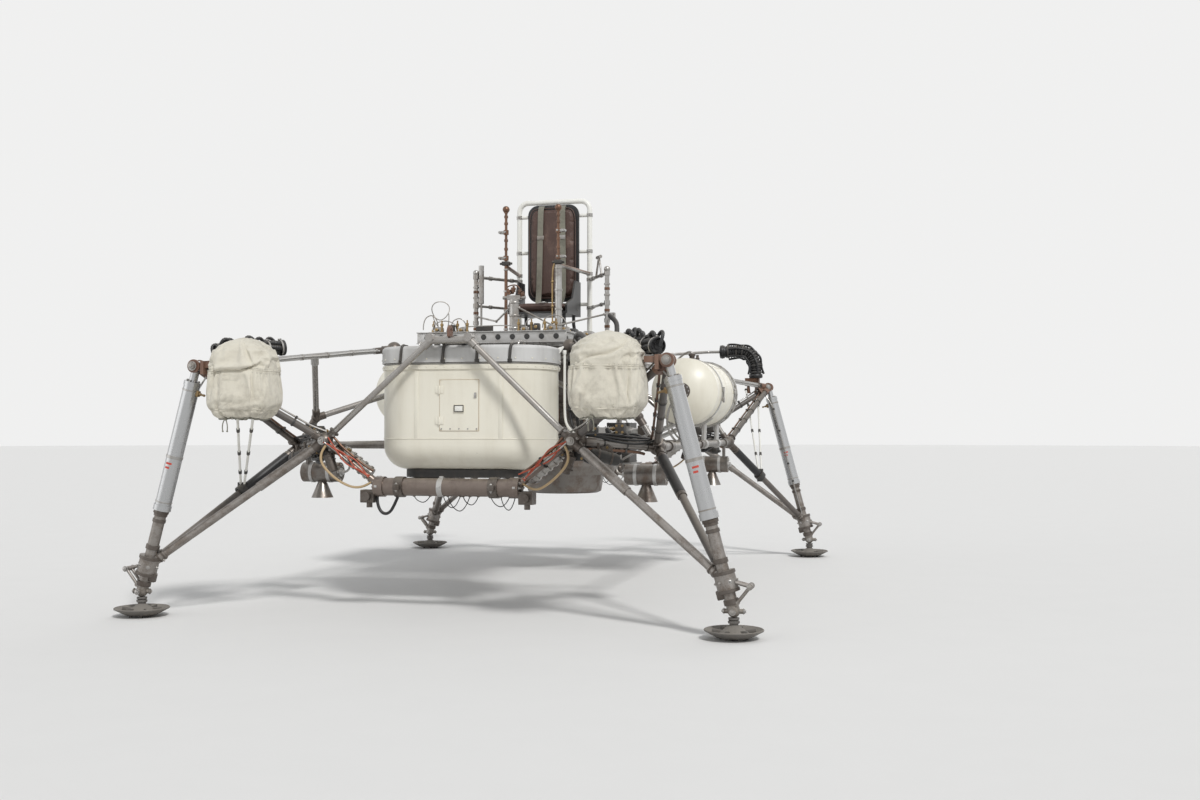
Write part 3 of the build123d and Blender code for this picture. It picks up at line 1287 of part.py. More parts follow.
def thruster_pods():
    """Open thruster clusters at the rear corners: a box manifold with four bells."""
    parts = []
    spread_x, spread_y = BELL_SPREAD
    pod_y = STANCE_Y + POD_SET_BACK
    for s in SIDES.values():
        pod = Pos(s * POD_X, pod_y, POD_Z) * Box(2 * POD_HALF, POD_DEPTH, POD_HEIGHT)
        for y in (-1, 1):
            for x in (-1, 1):
                root = Pos(s * POD_X + x * spread_x, pod_y + y * spread_y, POD_Z - POD_HEIGHT / 2)
                pod += root * Pos(0, 0, -BELL_LENGTH / 2) * Cone(BELL_R, BELL_THROAT_R, BELL_LENGTH)
                pod += root * Pos(0, 0, -BELL_LENGTH) * Cylinder(BELL_RIM_R, BELL_RIM)
        parts.append(pod)
    return parts


def corner_ducts():
    """Tall wrapped ducts that arch over the rear leg tops."""
    parts = []
    base = POD_Z + POD_HEIGHT / 2
    for s in SIDES.values():
        x = s * (POD_X + DUCT_OUT)
        parts.append(bent_tube([(x, STANCE_Y, base), (x, STANCE_Y, base + DUCT_RISE),
                                (s * DUCT_CREST_X, STANCE_Y, DUCT_Z), (s * DUCT_END_X, STANCE_Y, DUCT_Z)],
                               DUCT_R, DUCT_BEND))
    return parts


def hose_bundles():
    """Bundles of wrapped hoses lying on the front corner rails, behind the covers."""
    bundles = []
    clearance = RAIL_HALF + BUNDLE_R + SEAT_GAP
    for s in SIDES.values():
        start = above_rail(s, -1, BUNDLE_FROM, clearance)
        end = above_rail(s, -1, BUNDLE_TO, clearance)
        bundles.append(rod(start, end, BUNDLE_R))
    return bundles


def widest_radii(points, most):
    """One fillet radius for each corner of a route: as large as its two runs allow."""
    radii = []
    for before, corner, after in zip(points, points[1:], points[2:]):
        run_in, run_out = Vector(*corner) - Vector(*before), Vector(*after) - Vector(*corner)
        half_turn = radians(run_in.get_angle(run_out)) / 2
        radii.append(min(most, 0.45 * min(run_in.length, run_out.length) / tan(half_turn)))
    return radii


def seat_hose():
    """Hose from the left bundle along the rail and the upper beam, up to the seat's left post."""
    on_rail = RAIL_HALF + HOSE_R + SEAT_GAP
    on_beam = UPPER_Z + MAIN_R + TEE_WALL + HOSE_R + SEAT_GAP
    end_x = POST_X + (POST_R + HOSE_BLOCK_X) / 2
    end_y = POST_Y - HOSE_BLOCK_Y / 2
    route = [
        above_rail(1, -1, BUNDLE_TO, on_rail),
        above_rail(1, -1, HOSE_LEAVES_RAIL, on_rail),
        (UPPER_X + 90, -UPPER_Y - 90, on_beam + 24),
        (UPPER_X + 12, -UPPER_Y + 100, on_beam + 18),
        (UPPER_X, DECK_BEAMS_Y[0], on_beam),
        (UPPER_X - 2, DECK_BEAMS_Y[1], on_beam),
        (UPPER_X + 12, DECK_BEAMS_Y[1] + 120, on_beam + 36),
        (UPPER_X + 40, POST_Y - 220, on_beam + 112),
        (UPPER_X + 18, POST_Y - 140, HOSE_END_Z - 55),
        (end_x, end_y - HOSE_LAST_RUN, HOSE_END_Z),
        (end_x, end_y, HOSE_END_Z)]
    return bent_tube(route, HOSE_R, widest_radii(route, HOSE_BEND))


def duct_pipes():
    """Thin pipes from the rear ducts inboard to the upper corners."""
    parts = []
    for s in SIDES.values():
        parts.append(bent_tube([(s * DUCT_END_X, STANCE_Y, DUCT_Z),
                                (s * (DUCT_END_X - 110), STANCE_Y, DUCT_Z),
                                (s * (UPPER_X + 50), STANCE_Y - 250, PIPE_Z + 35),
                                (s * UPPER_X, UPPER_Y + 170, PIPE_Z), (s * UPPER_X, UPPER_Y, PIPE_Z),
                                (s * UPPER_X, UPPER_Y, UPPER_Z + BALL_R)],
                               PIPE_R, PIPE_BEND))
    return parts


def lift_rockets():
    """Cross-lying cylinders with a bell below, hung from the side beams and fittings."""
    parts = []
    for s, e in CORNERS.values():
        x, y = s * ROCKET_X, REAR_ROCKET_Y if e > 0 else -FRONT_ROCKET_Y
        beam = (s * SIDE_X, y, SIDE_Z)
        drum = Pos(x, y, ROCKET_Z) * Rot(0, 90, 0) * Cylinder(ROCKET_R, ROCKET_LENGTH)
        bell_z = ROCKET_Z - ROCKET_R - ROCKET_BELL / 2 + ROCKET_BELL_SINK
        bell = Pos(x, y, bell_z) * Cone(ROCKET_BELL_R, ROCKET_THROAT_R, ROCKET_BELL)
        hanger = Box(HANGER_WALL, HANGER_WIDTH, SIDE_Z - ROCKET_Z)
        hanger = Pos(s * SIDE_X, y, (SIDE_Z + ROCKET_Z) / 2) * hanger
        clamp = across(beam, MAIN_R + TEE_WALL, HANGER_WIDTH)
        parts.append(drum + bell + hanger + clamp - across(beam, MAIN_R, 3 * HANGER_WIDTH))
    return parts


def ribbed_canisters():
    """Canisters clamped behind the short struts between shoulder fittings and keel tubes."""
    parts = []
    for s, e in CORNERS.values():
        shift = Vector(0, -e * (CANISTER_R + CANISTER_RIB + DIAGONAL_R) * CANISTER_SKEW, 0)
        high = point_along(shoulder(s, e), keel(s, e), CANISTER_FROM) + shift
        low = point_along(shoulder(s, e), keel(s, e), CANISTER_TO) + shift
        half = toward(high, low) * (CANISTER_RIB_WIDTH / 2)
        body = rod(tuple(high), tuple(low), CANISTER_R)
        for step in range(CANISTER_RIBS):
            at = high + (low - high) * ((step + 0.5) / CANISTER_RIBS)
            body += rod(tuple(at - half), tuple(at + half), CANISTER_R + CANISTER_RIB)
        parts.append(body)
    return parts


def rear_platform():
    """Flat tray on the rear bearers, behind the engine."""
    y = (REAR_REST_Y + KEEL_Y) / 2 + PLATFORM_BACK
    z = CRADLE_Z + CRADLE_R + PLATFORM_THICK / 2
    return Pos(0, y, z) * Box(2 * (REST_X + PLATFORM_OVERHANG), PLATFORM_DEPTH, PLATFORM_THICK)


def equipment_boxes():
    """Plain equipment cases on the rear tray."""
    base = CRADLE_Z + CRADLE_R + PLATFORM_THICK
    y = (REAR_REST_Y + KEEL_Y) / 2 + PLATFORM_BACK
    parts = []
    for x, width, depth, height in EQUIPMENT:
        case = Pos(x, y, base + height / 2) * Box(width, depth, height)
        parts.append(fillet(case.edges().filter_by(Axis.Z), CASE_CORNER))
    return parts


LEG_PIECES = {
    "shock_cylinders": shock_cylinder,
    "piston_struts": piston_strut,
    "front_leg_braces": lambda s, e: leg_brace(knuckle(s, e), shoulder(s, e)),
    "side_leg_braces": lambda s, e: leg_brace(knuckle(s, e), side_point(s, e)),
    "foot_pads": foot_pad,
}

os.makedirs("parts", exist_ok=True)

sub_parts = {
    "lower_tubes": lower_tubes(),
    "upper_tubes": upper_tubes(),
    "inner_struts": inner_struts(),
    "frame_fittings": frame_fittings(),
    "corner_rails": corner_rails(),
    "outriggers": outriggers(),
    "leg_top_brackets": leg_top_brackets(),
    "a_frames": a_frame(-1) + a_frame(1),
    "keel_tubes": keel_tube(-1) + keel_tube(1),
    "valve_blocks": valve_blocks(),
    "cradle": cradle(-1) + cradle(1),
    "front_tub": [tub()],
    "tub_lid": [tub_lid()],
    "lid_brackets": lid_brackets(),
    "tub_hatch": [tub_hatch()],
    "tub_plinth": [tub_plinth()],
    "tank_saddles": tank_saddles(),
    "tank_bands": tank_bands(),
    "bearing_blocks": bearing_blocks(),
    "gimbal_ring": [gimbal_ring()],
    "engine": [engine()],
    "engine_inlet": engine_inlet(),
    "engine_rotor": [engine_rotor()],
    "hoist_lugs": hoist_lugs(),
    "deck_ribs": deck_ribs(),
    "deck_plate": [deck_plate()],
    "seat_frame": [seat_frame()],
    "seat_rungs": seat_rungs(),
    "seat_bucket": seat_bucket(),
    "seat_cushion": [seat_cushion()],
    "back_pad": [back_pad()],
    "side_posts": side_posts(),
    "control_posts": control_posts(),
    "pedestal": [pedestal()],
    "footrests": footrests(),
    "thruster_arms": thruster_arms(),
    "thruster_pods": thruster_pods(),
    "corner_ducts": corner_ducts(),
    "duct_pipes": duct_pipes(),
    "hose_bundles": hose_bundles(),
    "seat_hose": [seat_hose()],
    "lift_rockets": lift_rockets(),
    "ribbed_canisters": ribbed_canisters(),
    "rear_platform": [rear_platform()],
    "equipment_boxes": equipment_boxes(),
}
for side, s in SIDES.items():
    sub_parts[f"side_tank_{side}"] = [side_tank(s)]
    sub_parts[f"canvas_cover_{side}"] = [canvas_cover(s)]
for name, make in LEG_PIECES.items():
    sub_parts[name] = [make(s, e) for s, e in CORNERS.values()]

for name, solids in sub_parts.items():
    save(name, *solids)
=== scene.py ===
"""Looks of the lunar landing research vehicle, dressed over its packed construction model."""

from __future__ import annotations

import json
import logging
import math
from dataclasses import dataclass
from enum import Enum
from typing import Callable, Iterable, Sequence

import bpy
from mathutils import Matrix, Vector

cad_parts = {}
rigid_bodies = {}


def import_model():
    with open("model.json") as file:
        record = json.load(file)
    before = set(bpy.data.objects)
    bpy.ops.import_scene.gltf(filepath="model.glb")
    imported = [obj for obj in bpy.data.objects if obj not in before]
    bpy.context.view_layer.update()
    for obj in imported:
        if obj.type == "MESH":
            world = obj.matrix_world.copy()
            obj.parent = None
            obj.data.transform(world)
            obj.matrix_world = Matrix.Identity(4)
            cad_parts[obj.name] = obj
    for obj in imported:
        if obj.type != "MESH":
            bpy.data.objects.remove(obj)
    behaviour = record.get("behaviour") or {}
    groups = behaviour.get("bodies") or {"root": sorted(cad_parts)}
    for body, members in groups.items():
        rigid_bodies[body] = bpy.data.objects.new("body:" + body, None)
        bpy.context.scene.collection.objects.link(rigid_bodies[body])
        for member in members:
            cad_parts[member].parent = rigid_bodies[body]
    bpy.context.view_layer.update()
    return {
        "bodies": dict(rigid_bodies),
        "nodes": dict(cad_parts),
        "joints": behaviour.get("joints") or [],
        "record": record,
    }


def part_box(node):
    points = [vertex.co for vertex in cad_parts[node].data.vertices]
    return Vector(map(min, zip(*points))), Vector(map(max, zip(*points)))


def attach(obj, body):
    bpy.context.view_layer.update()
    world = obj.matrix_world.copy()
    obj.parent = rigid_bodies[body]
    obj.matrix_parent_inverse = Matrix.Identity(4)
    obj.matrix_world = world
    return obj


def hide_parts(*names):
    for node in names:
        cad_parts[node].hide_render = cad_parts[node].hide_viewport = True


LOG = logging.getLogger("vehicle")
Colour = tuple[float, float, float]
Point = tuple[float, float, float]
UP, DOWN, LEFT, REAR, FRONT = (0, 0, 1), (0, 0, -1), (1, 0, 0), (0, 1, 0), (0, -1, 0)


# Shader tools


class Signal:
    """A number that varies over a surface; Python's operators on it add Math nodes."""

    def __init__(self, graph: "ShaderGraph", socket: bpy.types.NodeSocket) -> None:
        """Wraps one output socket of a graph."""
        self.graph = graph
        self.socket = socket

    def _math(self, operation: str, first: object, second: object) -> "Signal":
        """Adds one Math node.

        Args:
            operation: The Math node's operation.
            first: Its first value, a number or a Signal.
            second: Its second value, a number or a Signal.

        Returns:
            The node's result.
        """
        node = self.graph.add("ShaderNodeMath", {"operation": operation}, {0: first, 1: second})
        return Signal(self.graph, node.outputs[0])

    def __add__(self, other: object) -> "Signal":
        """Sum."""
        return self._math("ADD", self, other)

    def __radd__(self, other: object) -> "Signal":
        """Sum with the number first."""
        return self._math("ADD", other, self)

    def __sub__(self, other: object) -> "Signal":
        """Difference."""
        return self._math("SUBTRACT", self, other)

    def __rsub__(self, other: object) -> "Signal":
        """Difference with the number first."""
        return self._math("SUBTRACT", other, self)

    def __mul__(self, other: object) -> "Signal":
        """Product."""
        return self._math("MULTIPLY", self, other)

    def fold(self) -> "Signal":
        """1 where the signal is one half, falling away evenly on both sides."""
        return 1 - self._math("ABSOLUTE", self * 2 - 1, 0.0)

    def band(self, low: float, high: float) -> "Signal":
        """A smooth step.

        Args:
            low: Value that becomes 0.
            high: Value that becomes 1; it may be the smaller one.

        Returns:
            The stepped signal, held between 0 and 1.
        """
        node = self.graph.add(
            "ShaderNodeMapRange", {"interpolation_type": "SMOOTHSTEP"},
            {"Value": self, "From Min": low, "From Max": high})
        return Signal(self.graph, node.outputs["Result"])


class ShaderGraph:
    """One material's node tree, built from Python expressions."""

    def __init__(self, name: str) -> None:
        """Starts a material with its Principled shader and object coordinates."""
        self.material = bpy.data.materials.new(name)
        self.material.use_nodes = True
        self.tree = self.material.node_tree
        self.shader = next(n for n in self.tree.nodes if n.type == "BSDF_PRINCIPLED")
        self.place = self.add("ShaderNodeTexCoord").outputs["Object"]
        self.normal = self.add("ShaderNodeTexCoord").outputs["Normal"]

    def add(
        self,
        kind: str,
        settings: dict[str, object] | None = None,
        values: dict[object, object] | None = None,
    ) -> bpy.types.Node:
        """Adds a node.

        Args:
            kind: The node's type.
            settings: Its own settings, set before its sockets.
            values: Numbers, colours, sockets or Signals for its inputs, by name or place.

        Returns:
            The new node.
        """
        node = self.tree.nodes.new(kind)
        for name, value in (settings or {}).items():
            setattr(node, name, value)
        for key, value in (values or {}).items():
            target = node.inputs[key] if isinstance(key, int) else self._input(node, str(key))
            self.feed(target, value)
        return node

    def _input(self, node: bpy.types.Node, key: str) -> bpy.types.NodeSocket:
        """The enabled input of a node with a name or an identifier."""
        for socket in node.inputs:
            if socket.identifier == key:
                return socket
        return next(socket for socket in node.inputs if socket.name == key and socket.enabled)

    def feed(self, target: bpy.types.NodeSocket, value: object) -> None:
        """Links a Signal or socket to an input, or sets a plain value on it."""
        if isinstance(value, Signal):
            value = value.socket
        if isinstance(value, bpy.types.NodeSocket):
            self.tree.links.new(value, target)
        elif isinstance(value, tuple) and len(value) == 3 and target.type == "RGBA":
            target.default_value = (*value, 1.0)
        else:
            target.default_value = value

    def stretched(self, stretch: Point) -> bpy.types.NodeSocket:
        """Object coordinates multiplied along each axis."""
        node = self.add("ShaderNodeVectorMath", {"operation": "MULTIPLY"}, {0: self.place, 1: stretch})
        return node.outputs[0]

    def noise(
        self, scale: float, detail: float = 4.0, roughness: float = 0.55, stretch: Point = (1, 1, 1),
        warp: float = 0.0,
    ) -> Signal:
        """Fractal noise.

        Args:
            scale: Features per metre, roughly.
            detail: Octaves.
            roughness: How strong the fine octaves are.
            stretch: Multiplier of each axis.
            warp: Distortion.

        Returns:
            A signal around one half.
        """
        node = self.add(
            "ShaderNodeTexNoise", {},
            {
                "Vector": self.stretched(stretch), "Scale": scale, "Detail": detail, "Roughness": roughness,
                "Distortion": warp})
        return Signal(self, node.outputs["Fac"])

    def cells(self, scale: float, stretch: Point = (1, 1, 1), feature: str = "F1") -> Signal:
        """Distance field of scattered cells."""
        node = self.add(
            "ShaderNodeTexVoronoi", {"feature": feature}, {"Vector": self.stretched(stretch), "Scale": scale})
        return Signal(self, node.outputs["Distance"])

    def axis(self, letter: str) -> Signal:
        """One object coordinate, in metres."""
        node = self.add("ShaderNodeSeparateXYZ", {}, {"Vector": self.place})
        return Signal(self, node.outputs[letter])

    def facing_up(self) -> Signal:
        """1 on faces that look up, 0 on walls and undersides."""
        node = self.add("ShaderNodeSeparateXYZ", {}, {"Vector": self.normal})
        return Signal(self, node.outputs["Z"]).band(0.15, 0.95)

    def blend(self, first: object, second: object, share: object) -> bpy.types.NodeSocket:
        """Mixes two colours by a share of the second."""
        node = self.add(
            "ShaderNodeMix", {"data_type": "RGBA"}, {"Factor_Float": share, "A_Color": first, "B_Color": second})
        return node.outputs[2]

    def relief(self, height: Signal, strength: float, distance: float) -> None:
        """Feeds a bump made from a height signal to the shader's normal."""
        node = self.add("ShaderNodeBump", {}, {"Strength": strength, "Distance": distance, "Height": height})
        self.feed(self.shader.inputs["Normal"], node.outputs["Normal"])

    def set(self, **values: object) -> None:
        """Sets the Principled shader's inputs; underscores stand for spaces."""
        for name, value in values.items():
            self.feed(self.shader.inputs[name.replace("_", " ").title().replace("Ior", "IOR")], value)


# Finishes


def tint(colour: Colour, share: float) -> Colour:
    """A colour made darker."""
    return tuple(channel * share for channel in colour)


class Grain(Enum):
    """Which way a metal's fine marks run."""

    NONE = (1.0, 1.0, 1.0)
    ALONG_X = (0.06, 1.0, 1.0)
    ALONG_Y = (1.0, 0.06, 1.0)
    ALONG_Z = (1.0, 1.0, 0.06)


@dataclass(frozen=True)
class Paint:
    """Old gloss paint with dust, faint streaks and chips."""

    name: str
    colour: Colour
    shade: Colour
    chip: Colour = (0.16, 0.14, 0.12)
    dust: Colour = (0.62, 0.55, 0.44)
    roughness: float = 0.42
    chips: float = 0.5
    dusting: float = 0.5

    def material(self) -> bpy.types.Material:
        """Builds the finish."""
        g = ShaderGraph(self.name)
        broad = g.noise(2.3, 5, 0.6)
        streaks = g.noise(9.0, 4, 0.6, (1.0, 1.0, 0.12))
        fine = g.noise(140.0, 3, 0.6)
        colour = g.blend(self.colour, self.shade, (broad * 0.6 + streaks * 0.6).band(0.5, 0.85))
        grime = (g.facing_up() * 0.75 + g.noise(14.0, 6, 0.7).band(0.5, 0.8) * 0.4) * self.dusting
        colour = g.blend(colour, self.dust, grime.band(0.0, 1.6))
        spots = (g.cells(34.0) + g.noise(60.0, 3) * 0.35).band(0.235, 0.205)
        patch = g.noise(3.1, 3, 0.6, (1, 1, 1), 0.4).band(0.56, 0.68)
        chipped = spots * patch * self.chips
        colour = g.blend(colour, self.chip, chipped)
        g.set(base_color=colour, roughness=(self.roughness + grime * 0.3 + chipped * 0.2 + fine * 0.06))
        g.shader.inputs["Coat Weight"].default_value = 0.12
        g.shader.inputs["Coat Roughness"].default_value = 0.3
        g.relief(fine * 0.25 + broad * 0.8 - chipped * 0.5, 0.25, 0.002)
        return g.material


@dataclass(frozen=True)
class BareMetal:
    """Bare metal with brushed marks, stains and dulled patches."""

    name: str
    colour: Colour
    stain: Colour
    roughness: float = 0.35
    metallic: float = 0.95
    grain: Grain = Grain.ALONG_Z
    staining: float = 0.6
    dust: Colour = (0.55, 0.48, 0.38)
    dusting: float = 0.35
    relief: float = 0.22
    wear: float = 1.0
    sleeved: Colour | None = None
    sleeve_top: float = 2.325

    def material(self) -> bpy.types.Material:
        """Builds the finish."""
        g = ShaderGraph(self.name)
        marks = g.noise(180.0, 4, 0.7, self.grain.value)
        scratches = g.noise(420.0, 2, 0.5, self.grain.value).band(0.62, 0.72)
        cloud = g.noise(7.0, 6, 0.62, (1, 1, 1), 0.3)
        spots = g.noise(46.0, 5, 0.65)
        tarnish = ((cloud + spots * 0.35).band(0.58, 0.86)) * self.staining
        bare = self.colour
        if self.sleeved:
            bare = g.blend(
                bare, self.sleeved,
                g.axis("Z").band(self.sleeve_top + 0.002, self.sleeve_top - 0.002) * g.axis("X").band(0.05, 0.06))
        colour = g.blend(bare, self.stain, tarnish)
        colour = g.blend(
            colour, tuple(min(1.0, c * 1.25 + 0.04) for c in self.colour), scratches * (0.5 * self.wear))
        settled = (g.facing_up() * g.noise(20.0, 4, 0.6).band(0.35, 0.65)) * self.dusting
        colour = g.blend(colour, self.dust, settled)
        g.set(
            base_color=colour, metallic=(self.metallic - tarnish * 0.35 - settled * 0.7),
            roughness=(self.roughness + marks * (0.16 * self.wear) + tarnish * 0.25 + settled * 0.35 - 0.08))
        g.relief(marks * 0.5 + spots * 0.6, self.relief, 0.0012)
        return g.material


@dataclass(frozen=True)
class GroundDust:
    """Bare or painted metal low on the vehicle, caked with pale dust towards the ground."""

    name: str
    colour: Colour
    stain: Colour
    dust: Colour = (0.60, 0.52, 0.41)
    metallic: float = 0.6
    top: float = 0.55

    def material(self) -> bpy.types.Material:
        """Builds the finish."""
        g = ShaderGraph(self.name)
        cloud = g.noise(18.0, 6, 0.65)
        fine = g.noise(160.0, 4, 0.6)
        colour = g.blend(self.colour, self.stain, (cloud * 0.7 + fine * 0.4).band(0.45, 0.75))
        low = (g.axis("Z") + cloud * 0.25 - 0.12).band(self.top, 0.02)
        cake = (low * (cloud * 0.8 + fine * 0.4).band(0.35, 0.7) * 0.6 + g.facing_up() * low * 0.55).band(0.05, 1.0)
        colour = g.blend(colour, self.dust, cake)
        g.set(
            base_color=colour, metallic=(self.metallic - cake * self.metallic),
            roughness=(0.42 + cake * 0.45 + fine * 0.1))
        g.relief(fine * 0.6 + cloud + cake * 0.8, 0.3, 0.002)
        return g.material


@dataclass(frozen=True)
class Canvas:
    """Heavy cotton canvas: plain weave, soft stains, pressed crease lines and painted shade along them."""

    name: str
    colour: Colour
    stain: Colour
    thread: float = 0.0022

    def material(self) -> bpy.types.Material:
        """Builds the finish."""
        g = ShaderGraph(self.name)
        turn = 2 * math.pi / self.thread
        waves = []
        for letter in "XYZ":
            sine = g.add("ShaderNodeMath", {"operation": "SINE"}, {0: g.axis(letter) * turn})
            waves.append(Signal(g, sine.outputs[0]))
        weave = (waves[0] + waves[1]) * waves[2]
        cloud = g.noise(5.0, 6, 0.6, (1, 1, 1), 0.5)
        crease_relief_and_shade = g.noise(5.5, 3, 0.5, (1.0, 1.0, 0.8), 1.4).fold().band(0.90, 1.0) * g.noise(3.0, 2).band(
            0.42, 0.6)
        blotch = g.noise(28.0, 5, 0.65)
        colour = g.blend(self.colour, self.stain, (cloud * 0.7 + blotch * 0.45).band(0.5, 0.85))
        # Painted shade: the colour darkens along each crease line.
        colour = g.blend(colour, tint(self.stain, 0.72), crease_relief_and_shade * 0.45)
        # Darker blotches towards the bottom of the skirt.
        low = g.axis("Z").band(1.34, 1.20) * blotch.band(0.35, 0.7)
        colour = g.blend(colour, tint(self.stain, 0.8), low * 0.5)
        colour = g.blend(colour, tint(self.colour, 0.8), weave.band(0.2, -1.2) * 0.35)
        g.set(base_color=colour, roughness=(0.86 + blotch * 0.08))
        g.shader.inputs["Sheen Weight"].default_value = 0.25
        g.shader.inputs["Sheen Roughness"].default_value = 0.6
        g.relief(weave * 0.12 - crease_relief_and_shade * 0.5 + blotch * 0.9 + cloud * 1.4, 0.6, 0.005)
        return g.material


@dataclass(frozen=True)
class Leather:
    """Worn brown upholstery leather with grain and rubbed highlights."""

    name: str
    colour: Colour
    rubbed: Colour

    def material(self) -> bpy.types.Material:
        """Builds the finish."""
        g = ShaderGraph(self.name)
        grain = g.cells(330.0, (1, 1, 1), "DISTANCE_TO_EDGE").band(0.0, 0.12)
        pores = g.noise(520.0, 3, 0.6)
        wear = g.noise(6.0, 5, 0.6, (1, 1, 1), 0.4)
        colour = g.blend(self.colour, self.rubbed, wear.band(0.5, 0.72) * 0.8)
        colour = g.blend(tint(self.colour, 0.45), colour, grain)
        g.set(base_color=colour, roughness=(0.5 - wear * 0.2 + pores * 0.15))
        g.relief(grain * 0.5 + pores * 0.4 + wear * 0.8, 0.4, 0.0014)
        return g.material


@dataclass(frozen=True)
class Rubber:
    """Black rubber or tape, faintly dusty, with a fine wrapped relief."""

    name: str
    colour: Colour
    dust: Colour = (0.34, 0.30, 0.25)
    shine: float = 0.5
    dusting: float = 0.45

    def material(self) -> bpy.types.Material:
        """Builds the finish."""
        g = ShaderGraph(self.name)
        fine = g.noise(240.0, 4, 0.6)
        cloud = g.noise(12.0, 5, 0.65)
        settled = (g.facing_up() * 0.6 + cloud.band(0.5, 0.8) * 0.35) * self.dusting
        colour = g.blend(self.colour, self.dust, settled)
        g.set(base_color=colour, roughness=(self.shine + settled * 0.4 + fine * 0.12))
        g.relief(fine * 0.7 + cloud, 0.3, 0.0015)
        return g.material


FINISHES = (
    Paint("cream_paint", (0.80, 0.765, 0.655), (0.70, 0.655, 0.54), roughness=0.34, chips=0.45, dusting=0.35),
    Paint("lid_paint", (0.62, 0.615, 0.60), (0.42, 0.41, 0.39), roughness=0.54, chips=0.9, dusting=0.3),
    BareMetal("bare_tube", (0.355, 0.340, 0.322), (0.185, 0.150, 0.122), 0.27, 0.9, Grain.NONE, 0.45, dusting=0.15),
    Paint("white_paint", (0.83, 0.82, 0.77), (0.74, 0.72, 0.65), roughness=0.36, chips=0.8, dusting=0.3),
    Paint(
        "black_paint", (0.018, 0.018, 0.019), (0.035, 0.033, 0.03), (0.22, 0.20, 0.18), roughness=0.38,
        dusting=0.4),
    Paint("dark_metal", (0.030, 0.029, 0.028), (0.07, 0.06, 0.05), (0.3, 0.27, 0.24), roughness=0.5, dusting=0.55),
    Paint(
        "dark_tube", (0.085, 0.075, 0.068), (0.15, 0.125, 0.105), (0.42, 0.39, 0.35), roughness=0.4, chips=0.9,
        dusting=0.5),
    Paint(
        "clevis", (0.155, 0.082, 0.055), (0.23, 0.14, 0.10), (0.40, 0.35, 0.30), roughness=0.46, chips=0.9,
        dusting=0.4),
    Paint("red_mark", (0.52, 0.05, 0.03), (0.42, 0.07, 0.04), roughness=0.5, dusting=0.2),
    BareMetal(
        "polished", (0.47, 0.475, 0.48), (0.38, 0.37, 0.36), 0.34, staining=0.05, dusting=0.03, relief=0.012,
        wear=0.12),
    BareMetal("bright_rod", (0.44, 0.42, 0.40), (0.24, 0.20, 0.16), 0.24, staining=0.5),
    BareMetal("frame_tube", (0.235, 0.22, 0.205), (0.125, 0.10, 0.082), 0.34, 0.85, Grain.NONE, 0.6, dusting=0.22),
    BareMetal("fitting", (0.135, 0.118, 0.105), (0.065, 0.048, 0.036), 0.36, 0.8, Grain.NONE, 0.7, dusting=0.2),
    BareMetal("rail", (0.49, 0.485, 0.475), (0.33, 0.305, 0.275), 0.40, 0.9, Grain.ALONG_Y, 0.5, dusting=0.2),
    BareMetal("deck_metal", (0.46, 0.455, 0.445), (0.29, 0.27, 0.245), 0.62, 0.6, Grain.ALONG_Y, 0.6, dusting=0.3),
    BareMetal("steel", (0.40, 0.39, 0.375), (0.20, 0.165, 0.13), 0.28, 0.92, Grain.ALONG_Z, 0.6, dusting=0.2),
    BareMetal("keel", (0.205, 0.168, 0.146), (0.115, 0.086, 0.068), 0.30, 0.8, Grain.ALONG_X, 0.45, dusting=0.2),
    BareMetal("bronze", (0.185, 0.105, 0.070), (0.085, 0.055, 0.042), 0.36, 0.8, Grain.ALONG_Z, 0.7, dusting=0.2),
    BareMetal(
        "control_post", (0.185, 0.105, 0.070), (0.10, 0.065, 0.048), 0.34, 0.85, Grain.ALONG_Z, 0.55, dusting=0.1,
        sleeved=(0.47, 0.465, 0.45)),
    BareMetal(
        "engine_metal", (0.215, 0.20, 0.185), (0.120, 0.082, 0.058), 0.32, 0.92, Grain.ALONG_Z, 0.75, dusting=0.2),
    BareMetal("brass", (0.33, 0.235, 0.115), (0.16, 0.10, 0.055), 0.35, 0.9, Grain.NONE, 0.6),
    GroundDust("foot", (0.165, 0.156, 0.147), (0.115, 0.102, 0.090), (0.225, 0.206, 0.180), top=0.20),
    GroundDust(
        "lower_strut", (0.285, 0.266, 0.248), (0.160, 0.132, 0.110), (0.36, 0.32, 0.26), metallic=0.85, top=0.36),
    Canvas("canvas", (0.76, 0.715, 0.60), (0.50, 0.455, 0.365)),
    Leather("brown_leather", (0.085, 0.045, 0.034), (0.20, 0.125, 0.095)),
    Canvas("webbing", (0.235, 0.225, 0.175), (0.16, 0.15, 0.115), 0.0016),
    Rubber("black_hose", (0.012, 0.012, 0.013), shine=0.33, dusting=0.28),
    Rubber("black_sleeve", (0.010, 0.010, 0.011), shine=0.38, dusting=0.12),
    Rubber("red_wire", (0.45, 0.07, 0.03), shine=0.42),
    Rubber("tan_hose", (0.46, 0.33, 0.18), shine=0.5))


class Shop:
    """Every finish on the vehicle, made once and handed out by name."""

    def __init__(self) -> None:
        """Lists the finishes."""
        self._made: dict[str, bpy.types.Material] = {}
        self._recipes = {finish.name: finish for finish in FINISHES}

    def get(self, name: str) -> bpy.types.Material:
        """The material of a finish.

        Args:
            name: The finish's name.

        Returns:
            The material, built the first time it is asked for.
        """
        if name not in self._made:
            self._made[name] = self._recipes[name].material()
        return self._made[name]


SLOT_OF_FINISH = {
    "red_mark": "clevis", "bright_rod": "steel", "brass": "bronze", "foot": "dark_metal",
    "lower_strut": "dark_tube", "control_post": "bronze", "lid_paint": "cream_paint", "bare_tube": "frame_tube",
    "deck_metal": "rail", "webbing": "canvas", "black_sleeve": "black_hose", "red_wire": "black_hose",
    "tan_hose": "black_hose"}

